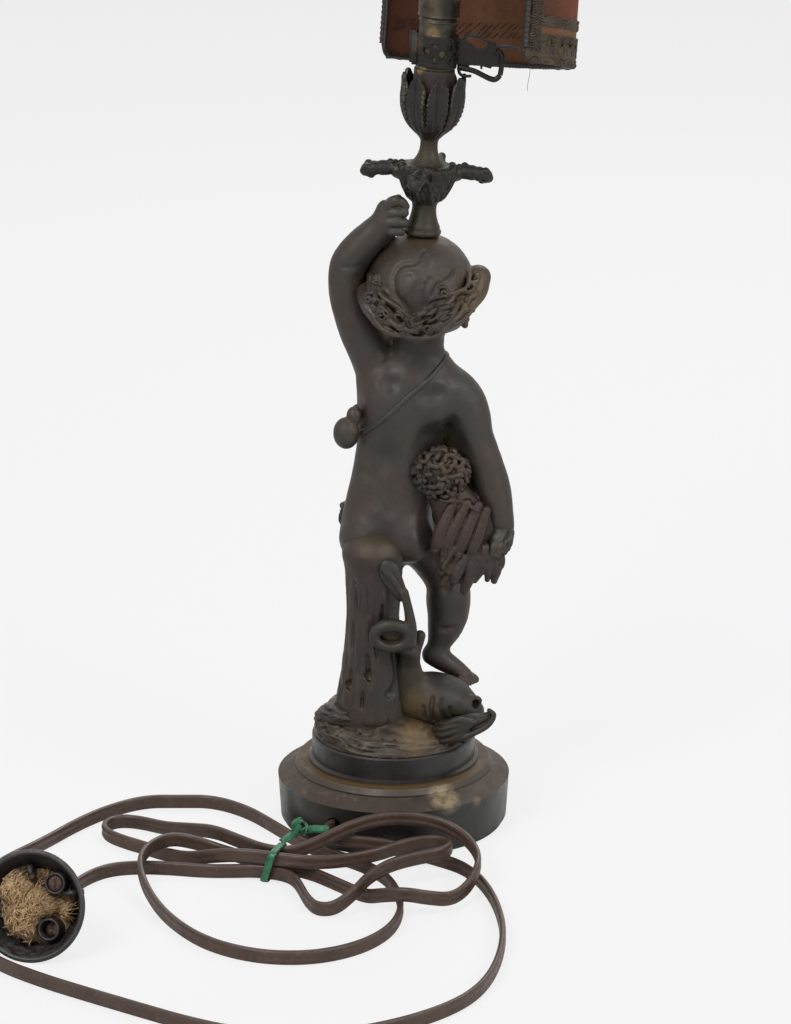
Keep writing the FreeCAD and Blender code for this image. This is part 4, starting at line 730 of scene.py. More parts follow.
head.work(limb([(HEAD[0], nose_y - 1.8, EYE_LEVEL + 4.0, 1.5), (HEAD[0], nose_y - 0.6, EYE_LEVEL - 2.0, 1.6),
                (HEAD[0], nose_y + 1.6, NOSE_LEVEL + 0.6, 2.3)]), 2.2)
for side in (-1, 1):
    head.work(egg((HEAD[0] + side * 2.5, nose_y + 0.2, NOSE_LEVEL), (1.6, 2, 1.5)), 1.2)
    head.work(egg((HEAD[0] + side * 1.3, nose_y + 2.2, NOSE_LEVEL - 1.6), (0.7, 1, 0.7)), 0.4, take=True)
mouth_y = head.touch(HEAD[0], MOUTH_LEVEL, 1)
for side in (-1, 1):
    head.work(limb([(HEAD[0], mouth_y - 0.1, MOUTH_LEVEL + 0.9, 0.9), (HEAD[0] + side * 2.4, mouth_y - 0.2,
                    MOUTH_LEVEL + 1.1, 0.9),
                    (HEAD[0] + side * 5.0, mouth_y - 1.8, MOUTH_LEVEL + 0.1, 0.5)]), 0.9)
head.work(limb([(HEAD[0] + 4.0 * t, mouth_y - 0.3 - 1.2 * t * t, MOUTH_LEVEL - 1.5 + 0.6 * t * t,
                 1.25 - 0.5 * abs(t))
                for t in (-1, -0.5, 0, 0.5, 1)]), 0.9)
head.work(limb([(HEAD[0] + 5.4 * t, mouth_y + 0.9 - 2.0 * t * t, MOUTH_LEVEL - 0.1 + 0.3 * t * t, 0.3)
                for t in (-1, -0.5, 0, 0.5, 1)]), 0.5, take=True)


def head_field(x, y, z):
    points = np.stack([np.broadcast_to(c, np.broadcast_shapes(x.shape, y.shape, z.shape)).ravel()
                       for c in (x, y, z)], axis=1).astype(float)
    return head.sample(points).reshape(np.broadcast_shapes(x.shape, y.shape, z.shape))


margin = 3.0
low = head.low + margin
high = head.low + head.grain * (np.array(head.field.shape) - 1) - margin
body.work((head_field, low, high), 2.0)
body.texture(lambda x, y, z: 0.14 * rough(x, y, z, 7.0))
print("mouth at y", round(float(mouth_y), 1), "mm")

# %% [markdown]
# ## Hair
# The hair is a smooth combed crown with a few long S-shaped locks, and a thick curly band round the nape
# and the hairline. A lock is a bundle of strands laid side by side on whatever surface is already there,
# and a curl is a strand wound into a rising spiral. The dark gaps between locks are carved last.

# %% Hair
CAP_MIDDLE = (HEAD[0] + 0.4, HEAD[1] - 0.6, HEAD[2] + 0.6)
HAIR_GRAIN = FINE

hair = Clay((-24, -38, 252), (54, 34, 314), HAIR_GRAIN)
hair.work(egg(CAP_MIDDLE, (27.6, 27.6, 28.2)))
hair.work(egg((HEAD[0], HEAD[1] + 34.0, 272.0), (25.5, 25, 24)), 2.0, take=True)
hair.work(egg((HEAD[0], HEAD[1] - 2.0, 240.0), (34, 34, 25.5)), 3.0, take=True)
hair.texture(lambda x, y, z: 0.35 * noise(x / 11.0, y / 11.0, z / 16.0))


def on_hair(x, z, side, lift=0.0):
    y = hair.touch(x, z, side)
    out = unit(np.array([x, y, z]) - np.array(CAP_MIDDLE))
    return np.array([x, y, z]) + out * lift


def lock(path, side, width=3.0, strands=3, thick=1.7, lift=0.4, taper=0.45):
    """Strands side by side along a path of (x, z) places on the hair."""
    places = np.array([on_hair(x, z, side, lift) for x, z in path])
    along = unit(np.gradient(places, axis=0))
    out = unit(places - np.array(CAP_MIDDLE))
    across = unit(np.cross(along, out))
    t = np.linspace(-1, 1, len(places))
    swell = 1.0 - (1.0 - taper) * np.abs(t) ** 3
    for k in range(strands):
        shift = (k - (strands - 1) / 2) * width / max(strands - 1, 1)
        rise = -0.25 * abs(shift)
        row = places + across * (shift * swell)[:, None] + out * rise
        hair.work(limb(np.column_stack([row, thick * swell])), 0.25)


def curl(x, z, side, size, hand=1, turns=1.5, start=0.0, thick=1.7):
    """A strand wound into a spiral that rises to its middle."""
    middle = on_hair(x, z, side)
    out = unit(middle - np.array(CAP_MIDDLE))
    level = unit(np.cross(out, (0, 0, 1)))
    up = np.cross(level, out)
    row = []
    for t in np.linspace(0, 1, 14):
        angle = start + hand * 2 * pi * turns * t
        reach = size * (1.0 - 0.85 * t)
        place = middle + (level * cos(angle) + up * sin(angle)) * reach + out * (0.2 + 1.8 * t)
        row.append((*place, thick * (1.0 - 0.25 * t)))
    hair.work(limb(row, 1), 0.2)


NAPE = [(-14, -6, 282, 5), (-10, -18, 277.5, 5.6), (-2, -24, 271.5, 5.6), (10, -25, 267.6, 5.2),
        (22, -23.5, 270, 5.2), (32, -17, 276, 5.8), (40, -8, 283, 6.4), (42.2, -3, 289, 6.4)]
hair.work(limb(NAPE), 2.0)
# shallow grooves outline the locks of the crown, and low ridges run inside them
for path, deep in (([(14.8, 304.9), (10.6, 300.6), (4.5, 299.4), (0.8, 295.5), (0, 291.6), (1.5, 286.1),
                     (5.3, 281.4),
                     (7.6, 278.3), (7, 273)], 0.9),
                   ([(-11.5, 299), (-12.5, 293), (-12, 287.5)], 0.7),
                   ([(17.5, 293), (14.5, 286), (15.5, 280)], 0.9),
                   ([(31, 297), (27, 292.5), (22, 290.5), (19.5, 286)], 0.7)):
    hair.work(limb([(*on_hair(x, z, -1, 0.3), deep) for x, z in path]), 1.8, take=True)
for path, thick in (([(3.8, 290), (4.5, 294.7), (9.1, 296.3), (10.6, 293.9), (8.3, 289.3), (6.8, 284.6),
                      (8.4, 278.3)], 1.5),
                    ([(13.5, 302), (16.5, 304.5), (18.5, 301), (16, 297.5)], 0.9),
                    ([(22.7, 302.5), (24.3, 299.4), (23, 296), (26.5, 294)], 1.2),
                    ([(23.5, 292.4), (28.1, 296.3), (31.5, 297.5)], 1.2),
                    ([(3, 288), (5.5, 281), (10, 274), (7, 268)], 1.9),
                    ([(14, 289), (12.5, 283), (13.5, 277), (12, 270.5)], 1.6),
                    ([(-13.7, 290.8), (-6.1, 287.7), (0, 282.2), (4.6, 278.3)], 1.5)):
    hair.work(limb([(*on_hair(x, z, -1, -0.7 * thick), thick) for x, z in path]), 1.0)

# the band round the nape is woven of wavy strands
dice = np.random.RandomState(3)
BAND_LINE = np.array([(-13, 290), (-10, 283), (-4.5, 276), (3, 270.5), (11.5, 269.5), (20, 272.5),
                      (28, 277.5),
                      (34, 281), (39, 285.5), (42.5, 290)])
for k in range(13):
    shift = -5.6 + 11.2 * k / 12
    start, stop = sorted(dice.choice(10, 2, replace=False))
    start, stop = (min(start, 5), max(stop, min(start, 5) + 4)) if k % 3 else (0, 10)
    part = BAND_LINE[start:stop]
    across = unit(np.gradient(part, axis=0))[:, ::-1] * (-1, 1)
    wave = shift + 1.9 * np.sin(1.7 * np.arange(len(part)) + 2.4 * k) + dice.uniform(-0.5, 0.5, len(part))
    row = part + across * wave[:, None]
    places = [on_hair(x, z, -1, 0.3) for x, z in row if x < 44.0]
    hair.work(limb([(*place, dice.uniform(1.2, 1.9)) for place in places if place[1] < -5.0]), 0.2)
for x, z, size, hand, start, turns, thick in ((-5.3, 276.7, 5, 1, 0.4, 2.3, 0.85),
                                              (-11.5, 284, 3, -1, 2, 1.3, 1),
                                              (24.5, 286.5, 2.8, 1, 1, 1.4, 0.9),
                                              (34.5, 282.5, 2.8, 1, 3, 1.3, 1),
                                              (17, 271.5, 2.8, 1, 3.4, 1.3, 0.9),
                                              (4, 269, 3.2, -1, 4, 1.4, 1.1),
                                              (2.5, 275, 2.6, -1, 4, 1.2, 0.8)):
    curl(x, z, -1, size, hand, turns, start, thick)
for centre, radii, turn in (((-5.3, 276.7), (1.2, 2, 1.2), 0), ((22.5, 282.2), (5.6, 4.2, 1.9), -17),
                            ((33.5, 283.6), (3.4, 3.6, 1.6), -20), ((27, 275.5), (4.4, 3, 1.1), -24),
                            ((14, 275), (4.6, 3.2, 1.2), -16), ((7, 273.5), (1.1, 2.8, 3.4), -20),
                            ((-9, 281), (1, 2.4, 3.2), 30), ((38.5, 288), (3.2, 2.6, 0.9), -20),
                            ((0.5, 270.5), (3, 2.4, 0.9), 30),
                            ((-8, 289.5), (3, 1.6, 0.9), 20), ((41, 291), (3.4, 1.8, 0.8), -10)):
    place = (centre[0], hair.touch(*centre, -1), centre[1])
    hair.work(egg(place, radii, turn), 0.5, take=True)

# %% Fringe and side curls
for k in range(7):
    x = HEAD[0] + 5.2 * (k - 3)
    z = 297.5 - 0.55 * (k - 3) ** 2
    curl(x, z, 1, 3.9, 1 if k % 2 else -1, 1.4, 0.9 * k, 1.5)
for side in (-1, 1):
    for n, (reach, level) in enumerate(((23.5, 288), (26.5, 281), (26, 274), (22.5, 267))):
        place = np.array([HEAD[0] + side * reach, HEAD[1] + 5.0 - 2.0 * n, level])
        out = np.array([side * 1.0, 0.5, 0.0])
        row = []
        for t in np.linspace(0, 1, 12):
            angle = 0.8 * n + side * 2 * pi * 1.4 * t
            spot = place + np.array([0.0, cos(angle), sin(angle)]) * 4.6 * (1 - 0.85
                                                                                      * t) + out * 1.4 * t
            row.append((*spot, 1.8 - 0.4 * t))
        hair.work(limb(row, 1), 0.3)
    for n in range(3):
        x = HEAD[0] + side * (3.0 + 5.0 * n)
        lock([(HEAD[0] + side * 2.0, 309 - n), (x, 306 - 1.5 * n), (x + side * 3.0, 301 - 2.5 * n)], 1,
             3.0, 3, 1.4)
hair.texture(lambda x, y, z: 0.10 * rough(x, y, z, 2.4, 2))

# %% [markdown]
# ## Rock and stump
# The foot of the casting is a rock of thin layers that flow to the right, and out of it grows a sawn tree
# stump. Bark is noise stretched along the trunk, with its zero lines sunk as gouges. The layers of rock
# are the same noise lying flat. The sawn top is a low dome with a raised scalloped lip.

# %% Rock
DRUM_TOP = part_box("plinth_drum")[1][2] / MM
STUMP_X, STUMP_Y = -10.5, -14

rock = Clay((-46, -44, DRUM_TOP - 2), (46, 44, 72), GRAIN * 0.85)
rock.work(stack([(DRUM_TOP - 4, 0, 0, 41.4, 41.4), (DRUM_TOP, 0, 0, 41.3, 41.2), (52, -0.6, 0, 40, 39.4),
                 (56.5, -2.5, 1, 35, 34), (61, -5, 2, 28, 27), (65, -6, 1, 20, 20)]))
for centre, radii in (((-25, -19, 53), (12, 10, 6)), ((-5, -28, 52), (17, 9, 5.4)),
                      ((20, 22, 52), (14, 12, 6)),
                      ((-20, 21, 54), (13, 12, 6)), ((8, -24, 54), (13, 10, 7.5)),
                      ((-32, -14, 58), (9, 9, 9)),
                      ((-27, -20, 62), (8, 7, 6))):
    rock.work(egg(centre, radii), 3.0)


def rock_layers(x, y, z):
    flow = z + 0.10 * x + 2.2 * noise(x / 17.0, y / 17.0, z / 30.0)
    thin = noise(x / 15.0 + 9.0, y / 15.0, flow / 2.1)
    steps = 0.5 * np.sin(flow * 1.9)
    smooth_dome = np.exp(-((x - 10.0) / 9.0) ** 2 - ((y + 28.0) / 12.0) ** 2)
    relief = 0.7 * steps - 1.4 * np.exp(-(thin / 0.11) ** 2) + 0.35 * rough(x, y, z, 5.0, 2)
    rim = np.clip((z - DRUM_TOP) / 3.0, 0.15, 1.0)
    return relief * (1.0 - 0.85 * smooth_dome) * rim


rock.texture(rock_layers)
rock.work((lambda x, y, z: z - DRUM_TOP + 0 * x + 0 * y, (-46, -46, DRUM_TOP - 8), (46, 46, DRUM_TOP)),
          take=True)

# %% Stump
TRUNK = [(54.0, STUMP_X - 1.5, STUMP_Y + 1, 25.5, 15.8), (58.0, STUMP_X - 1.4, STUMP_Y + 1, 22.6, 15.0),
         (62.0, STUMP_X - 1.0, STUMP_Y, 20.5, 14.8), (71.0, STUMP_X - 0.5, STUMP_Y, 18.2, 14.4),
         (84.0, STUMP_X - 0.2, STUMP_Y, 16.4, 14.0), (100.0, STUMP_X, STUMP_Y, 14.6, 13.6),
         (118.0, STUMP_X + 0.2, STUMP_Y, 13.7, 13.4), (136.0, STUMP_X + 0.2, STUMP_Y, 14.2, 13.6),
         (145.0, STUMP_X, STUMP_Y - 0.6, 15.0, 13.8), (150.0, STUMP_X + 0.2, STUMP_Y - 1.4, 15.2, 13.6)]
stump = Clay((-40, -34, 50), (22, 8, 165), GRAIN * 0.85)
stump.work(stack(TRUNK))


def bark(x, y, z):
    lines = noise(x / 3.6, y / 3.6 + 3.0, z / 26.0)
    broad = noise(x / 7.5 + 4.0, y / 7.5, z / 34.0)
    fade = np.clip((143.0 - z) / 9.0, 0.0, 1.0)
    return fade * (0.8 * broad - 0.7 * np.exp(-(lines / 0.24) ** 2) + 0.12 * rough(x, y, z, 3.0, 2))


stump.texture(bark)
stump.work(egg((STUMP_X + 0.2, STUMP_Y - 2.0, 149.0), (15.6, 13.4, 11.2)), 1.6)
for k in range(3, 9):
    angle = radians(-104 + 20 * k)
    stump.work(egg((STUMP_X + 13.4 * cos(angle), STUMP_Y + 12.8 * sin(angle),
                    145.0 + 1.3 * (k - 3)),
                   (2.2, 2.2, 3.4)), 0.7)
for x, z, tall, wide, turn in ((-22, 83, 6.5, 1, 6), (-13, 90, 8, 1.3, -4), (-16, 73, 5, 1, 4),
                               (0, 79, 5, 1.2, 10), (-19, 128, 9, 0.9, -3), (-6, 118, 7, 0.8, 5),
                               (-20.5, 107, 8, 0.9, 2), (-9, 101, 6, 0.8, -8),
                               (-22.5, 79.5, 2.6, 2.4, 10), (-12.5, 86, 3, 2.6, -8), (-2, 76, 2.4, 2.2, 12)):
    y = stump.touch(x, z, -1)
    stump.work(egg((x, y, z), (wide, 1.5, tall), turn), 0.8, take=True)

# %% [markdown]
# ## Dolphin
# The dolphin is the old ornamental kind: a fat body, folds behind the head, a beard of leaf under the
# mouth, and a tail that curls into a ring and ends in a leaf-shaped fluke. It lies right of the stump and
# the child's foot rests on it.

# %% Dolphin
dolphin = Clay((-14, -42, DRUM_TOP - 1), (56, 8, 152), FINE)
for shape, soft in ((egg((22.5, -11, 67.5), (20.5, 15.5, 14.2), 12), 0),
                    (egg((39, -15, 63), (7.5, 7, 6.5)), 5.0),
                    (limb([(11, -14, 70, 9.6), (8.6, -17, 80, 7.6), (8, -20, 89, 6),
                           (8.6, -22.5, 96, 4.6)]), 6.0)):
    dolphin.work(shape, soft)
for fold, deep in (([(15.1, 69.1), (15.3, 66.8), (16, 62.4)], 0.8),
                   ([(20.1, 73.6), (19.2, 68), (20.6, 61.4)], 0.9),
                   ([(24.8, 72.6), (24.4, 67.8), (26.4, 62)], 0.8),
                   ([(29, 68.6), (29.4, 65), (31.4, 61.6)], 0.5)):
    dolphin.work(limb([(x, dolphin.touch(x, z, -1), z, deep) for x, z in fold]), 1.2, take=True)
eye = (41.4, dolphin.touch(41.4, 69.5, -1), 69.5)
dolphin.work(egg((eye[0], eye[1] + 0.5, eye[2]), (4, 2, 3)), 1.5)
dolphin.work(egg((eye[0] + 0.6, eye[1] - 1.0, eye[2] - 1.2), (1.8, 3.4, 2.2)), 0.6, take=True)
dolphin.work(limb([(33, -28.5, 57.5, 0.8), (40, -24, 58.4, 1.1), (46.5, -16, 60, 1.2)]), 1.0, take=True)
dolphin.texture(lambda x, y, z: 0.12 * rough(x, y, z, 5.0, 2))

TAIL_RING = (-1, -32, 109.4)
TAIL_RING_R = (8.6, 6)
ring_row = [(TAIL_RING[0] + TAIL_RING_R[0] * cos(a), TAIL_RING[1],
             TAIL_RING[2] + TAIL_RING_R[1] * sin(a),
             2.8 + 0.9 * exp(-((a - 1.7) / 0.9) ** 2)) for a in np.linspace(-0.6, 2 * pi - 0.6, 30)]
dolphin.work(limb(ring_row, 1), 0.6)
dolphin.work(egg((TAIL_RING[0] + 1.0, -28.0, TAIL_RING[2] - 0.5), (8.4, 2, 5.6)), 0.8)
dolphin.work(limb([(8.6, -22.5, 95, 4.6), (8.2, -26, 99, 4.4), (6.4, -30, 102, 3.6)]), 2.0)
dolphin.work(limb([(8, -31.6, 106, 3.6), (8.8, -31.4, 114, 3), (7.4, -30.8, 124, 2.3),
                   (5.4, -30, 132, 2.3)]), 1.2)
dolphin.work(limb([(11, -24, 98.5, 2.8), (12.8, -24, 103, 2.5), (13.4, -24, 107, 2.9)]), 1.6)

# fluke, a pointed leaf bent over the stump
FLUKE = [(4.4, 128.4, 1.8), (2.4, 131.5, 4), (0.6, 135.5, 5.8), (-0.8, 139.5, 6.2), (-1.6, 143.5, 5.4),
         (-1.2, 147, 4)]
for a, b in zip(smooth_row([(x, w, z) for x, z, w in FLUKE], 3),
                smooth_row([(x, w, z) for x, z, w in FLUKE], 3)[1:]):
    dolphin.work(egg(((a[0] + b[0]) / 2, -29.4 + 0.02 * (a[2] - 138) ** 2, (a[2] + b[2]) / 2),
                     (max(a[1], 1.0), 1.6, 2.4), 28), 1.6)
for side in (-1, 0, 1):
    vein = [(5.4 + side * 0.6, 129.0), (1.4 + side * 2.6, 136.0), (-3.4 + side * 2.8, 143.0)]
    dolphin.work(limb([(x, dolphin.touch(x, z, -1) - 0.1, z, 0.35) for x, z in vein]), 1.0, take=side != 0)

# beard, a fluted leaf that turns up at its tip
BEARD = [(22.5, -28, 56.4, 3.2), (27, -30, 57, 4.6), (33, -31.5, 60, 5), (39, -32, 62.6, 4.4),
         (45, -32, 64, 3.2), (49.5, -32, 66.6, 1.8)]
dolphin.work(limb([(x, y + 3.0, z, r * 0.9) for x, y, z, r in BEARD]), 1.0)
for start, middle in (((24.4, 61.4), (33, 64.8)), ((22.6, 58.4), (32, 62)), ((22.2, 55.2), (31.5, 59)),
                      ((25, 52.6), (32.5, 56.4))):
    dolphin.work(limb([(start[0], -29.0, start[1], 1.5), (start[0] + 3.4, -31.6, start[1] + 0.9, 1.9),
                       (*middle[:1], -33.2,
                       middle[1], 1.9), (41, -33.4, 63.6, 1.5), (47, -32.8, 66, 1.1)]), 0.3)
dolphin.work(egg((35.5, -24, 53.5), (3.4, 6, 4.4)), 1.0)
dolphin.work(egg((43, -31.6, 62.4), (7.4, 1.8, 3.4), -20), 0.6)
dolphin.work(limb([(25, -31, 52.6, 1.6), (33, -33.4, 54.6, 1.7), (41, -34, 58, 1.6), (48, -33.4, 62, 1.5),
                   (51, -32.5, 67, 1.4), (48.6, -32, 69.6, 1.2)]), 0.8)
dolphin.work((lambda x, y, z: z - DRUM_TOP + 0 * x + 0 * y, (-46, -46, DRUM_TOP - 8), (60, 46, DRUM_TOP)),
             take=True)

# %% [markdown]
# ## Sheaf
# Under the right arm the child holds a sheaf: a round head of small curled ears, stalks that are fluted
# like a bundle of reeds, and a few leaves at the tied end. The ears are about a hundred little hooks
# strewn on an egg by the golden angle, so that no two touch in the same way.

# %% Sheaf
dice = np.random.RandomState(11)
EARS = (24, -14.5, 190.5)
EARS_R = (13.6, 9.5, 12.4)

sheaf = Clay((4, -34, 112), (64, 6, 208), FINE)
sheaf.work(egg(EARS, [r - 1.2 for r in EARS_R]))
for k in range(84):
    rise = 1 - 2 * (k + 0.5) / 84
    spin = 2.39996 * k
    out = np.array([sqrt(1 - rise * rise) * cos(spin),
                    sqrt(1 - rise * rise) * sin(spin), rise])
    if out[1] > 0.55:
        continue
    place = np.array(EARS) + out * np.array(EARS_R)
    level = unit(np.cross(out, dice.normal(size=3)))
    up = np.cross(out, level)
    bend = dice.uniform(1.7, 2.4)
    row = [(*(place + (level * cos(a) + up * sin(a)) * bend + out
              * (0.9 * sin(2 * a) - 0.2)), 1.3)
           for a in np.linspace(0, dice.uniform(2.2, 3.8), 6)]
    sheaf.work(limb(row, 1), 0.2)

BUNDLE = [(186, 25, -9.5, 9, 6.4), (176, 30, -10, 12.6, 6.6), (164, 36, -10, 15.4, 6.2),
          (152, 37.4, -9, 14.4, 6), (141, 35, -7.5, 8.6, 5.4), (130, 35, -6, 3.6, 4)]
sheaf.work(stack(BUNDLE), 0.5)
# long leaves lean from the upper right to the lower left, each (x, z, radius) with its tip last
LEAVES = [[(28, 137.3, 2.4), (24.4, 132.4, 1.2)],
          [(28.6, 150, 2.8), (25.1, 141.5, 3), (22.4, 135.4, 1)],
          [(36, 146, 3), (32, 137.6, 3.2), (29.6, 130.2, 1.4)],
          [(41.8, 149.5, 3), (39.4, 139, 3.4), (36, 128.6, 2.4)],
          [(46.6, 151, 3), (45.2, 142.4, 2.8), (41.6, 133.6, 1.2)],
          [(48.6, 148, 2.4), (48.2, 141, 2.4), (47.6, 134.6, 1.4)],
          [(51.4, 148.5, 2.4), (52.4, 141, 2.9), (50.8, 133.6, 1.7)],
          [(54.6, 148.5, 2), (54.6, 143.6, 2), (53.6, 139.6, 1)],
          [(30.4, 175, 2.4), (24.8, 163.5, 3.5), (21.6, 154, 3.3), (19, 146.2, 1)],
          [(47, 171, 2.4), (43.4, 159.5, 3.4), (39.6, 150.4, 3.2), (36.4, 141.4, 1)],
          [(37, 175, 2.4), (30.8, 162.5, 3.5), (27.2, 152.8, 3.4), (23.6, 142.2, 1)],
          [(42.6, 174, 2.4), (37.6, 162, 3.5), (33.8, 152.6, 3.4), (29.6, 141.4, 1)]]
for k, leaf in enumerate(LEAVES):
    row = []
    for n, (x, z, thick) in enumerate(leaf):
        bulge = 2.2 * sin(pi * (n + 0.4) / len(leaf))
        row.append((x + dice.uniform(-0.3, 0.3), -14.6 - 0.35 * (k % 3) - bulge, z, thick))
    row = smooth_row(row, 3)
    sheaf.work(limb(row, 1), 0.1)
    for shift in (-0.42, 0.3) if len(leaf) > 2 else ():
        sheaf.work(limb([(x + shift * r, y - 0.95 * r, z, 0.35) for x, y, z, r in row[1:-2]], 1), 0.7,
                   take=True)
for path, thick in (([(16.5, 176), (24, 177.5), (34, 176), (42, 172)], 1.5),
                    ([(30.9, 152), (27, 146), (24.8, 142)], 1.6),
                    ([(33.2, 148.6), (30, 143), (27.7, 138.4)], 1.6)):
    sheaf.work(limb([(x, sheaf.touch(x, z, -1), z, thick * 0.8) for x, z in path]), 0.5)
sheaf.texture(lambda x, y, z: 0.08 * rough(x, y, z, 2.0, 2))

# %% [markdown]
# ## Strap, flask and drape
# What is wrapped round the body follows the body. So the strap is the thin skin between the body's surface
# and a surface a little further out, kept only inside a slanting slab, and the drape is the same thing kept
# round the hips with folds pressed into it. The gourd flask hangs from the strap at the left side.

# %% Strap, flask and drape
def body_skin(low, high, thick, keep):
    """A skin on the body, thick(x, y, z) millimetres high, where keep(x, y, z) is below zero."""
    made = Clay(low, high, FINE)
    axes = [made.low[i] + made.grain * np.arange(made.field.shape[i]) for i in range(3)]
    x, y, z = np.meshgrid(*axes, indexing="ij")
    points = np.stack([x.ravel(), y.ravel(), z.ravel()], axis=1)
    from_body = body.sample(points).reshape(x.shape)
    outer = from_body - thick(x, y, z)
    made.field = np.maximum(np.maximum(outer, -1.2 - from_body), keep(x, y, z)).astype(np.float32)
    return made


STRAP_TURN = radians(-42.0)
STRAP_WIDTH = 2.6


def strap_side(x, z):
    """How far a place is from the strap's middle line."""
    return (x - 6.0) * sin(STRAP_TURN) + (z - 229.0) * cos(STRAP_TURN)


strap = body_skin((-22, -24, 196), (34, 30, 262), lambda x, y, z: 0.85 - 0.20 * strap_side(x, z) ** 2,
                  lambda x, y, z: np.abs(strap_side(x, z)) - STRAP_WIDTH / 2)
flask = Clay((-34, -18, 196), (-12, 4, 226), FINE)
flask.work(egg((-23.8, -8, 209.6), (6.6, 6.3, 8.2))).work(egg((-19.6, -8, 218.6), (4.1, 3.9, 4.9)), 1.2)
flask.work(limb([(-24.6 + 4.1 * cos(a), -8.0 + 4.1 * sin(a), 214.4 + 0.9 * cos(a), 0.6)
                 for a in np.linspace(0, 2 * pi, 13)], 1), 0.2)
flask.work(limb([(-20.6, -8, 220.5, 1.5), (-18.8, -8.4, 223.5, 1.3)]), 0.5)
flask.texture(lambda x, y, z: 0.06 * rough(x, y, z, 3.0, 2))


def drape_folds(x, y, z):
    return 2.0 + 0.75 * np.sin(0.55 * x + 0.42 * (z - 156.0) * np.sign(x + 4.0) + 1.2
                               * noise(x / 9.0, y / 9.0, z / 9.0))


def drape_edge(x, y, z):
    bottom = 143.5 + 2.2 * np.sin(0.34 * x) - z
    top = z - 167.0 - 1.6 * np.cos(0.16 * (x + 4.0))
    return np.maximum(np.maximum(bottom, top), 6.5 - y)


drape = body_skin((-34, 4, 138), (30, 34, 173), drape_folds, drape_edge)
drape.work(limb([(-26, 9, 166, 1.7), (-14, 20, 167.5, 1.9), (-3, 23.4, 168.2, 1.9), (9, 20.4, 167, 1.9),
                 (18.5, 10.5, 166, 1.6)]), 0.8)

# %% [markdown]
# ## Column
# The column leans a little towards the right, so its pieces are made upright about their own axis and then
# set along the lean, which the shade's swivel joint gives. The vase is turned. The drip pan above it is
# cast leaf work with four knobbed arms, and the cup is eight folded leaves. Leaf work is written in polar
# terms: how far the surface stands out at each angle and height.

# %% The lean axis
swivel = next(j for j in frame["joints"] if j["name"] == "shade_swivel")
LEAN_AXIS = Vector(swivel["axis"]).normalized()
LEAN_PLACE = (14.4, 0, 312)
LEAN = Matrix.Translation(Vector(LEAN_PLACE) * MM) @ Matrix.Rotation(atan2(LEAN_AXIS.x, LEAN_AXIS.z),
                                                                     4, "Y")
print("the column leans", round(degrees(atan2(LEAN_AXIS.x, LEAN_AXIS.z)), 2), "degrees")


def turned_shape(profile, stand=None):
    """A solid of revolution from (radius, height) places, with relief stand(angle, height) on it."""
    rows = smooth_row([(s, r, 0.0, 0.0) for r, s in profile], 6)
    heights, radii = rows[:, 0], rows[:, 1]
    order = np.argsort(heights)
    heights, radii = heights[order], radii[order]
    reach = radii.max() + 3.0

    def distance(x, y, z):
        r = np.sqrt(x * x + y * y)
        wall = r - np.interp(z, heights, radii).astype(np.float32)
        if stand is not None:
            wall = wall - stand(np.arctan2(y, x), z, r)
        steep = np.interp(z, heights, np.abs(np.gradient(radii, heights + 1e-6 * np.arange(len(heights)))))
        wall = wall / np.sqrt(1.0 + np.minimum(steep, 2.0).astype(np.float32) ** 2)
        return np.maximum(wall, np.maximum(z - heights[-1], heights[0] - z))

    return distance, (-reach, -reach, heights[0]), (reach, reach, heights[-1])


# %% Vase of the column
vase = Clay((-13, -13, -3), (13, 13, 18), FINE * 0.85)
vase.work(turned_shape([(8.6, -1.4), (9.2, -0.6), (9.3, 0.6), (8.7, 1.5), (8.2, 1.9), (8.6, 2.4),
                        (8.4, 3.2), (7.4, 5.2),
                        (6.5, 8.4), (6.1, 11.4), (6.2, 13.6), (6.7, 14.9), (7.3, 15.5), (7.3, 16.4)]))
vase.texture(lambda x, y, z: 0.05 * rough(x, y, z, 3.0, 2))

# %% Drip pan
PAN_ARMS = (3, 78, 183, 258)
PAN_ARM_KNOBS = [(10, 28.6, 4.2), (14.5, 30.2, 3.9), (17, 31, 3), (19.5, 31.2, 3.7), (22.5, 31, 3.8),
                 (24.6, 30.8, 3), (26, 30.6, 3.7), (27.4, 30.3, 3.2), (29.2, 29.8, 3.6), (30.6, 29, 2.6)]


def pan_leaves(angle, z, r):
    out = 0.0
    for k in range(8):
        middle = radians(PAN_ARMS[k // 2] + (0.0 if k % 2 == 0 else 45.0))
        u = np.arctan2(np.sin(angle - middle), np.cos(angle - middle)) / radians(24.0)
        edge = np.exp(-((np.abs(u) - 0.86) / 0.16) ** 2)
        vein = np.exp(-(u / 0.13) ** 2)
        out = out + 0.75 * edge - 0.9 * np.exp(-((np.abs(u) - 1.08) / 0.10) ** 2) - 0.5 * vein
        out = out + 0.3 * np.cos(8.0 * np.abs(u) + 0.8 * (z - 20.0)) * (np.abs(u) < 0.8)
    return out * np.clip((z - 15.5) / 2.0, 0.0, 1.0)


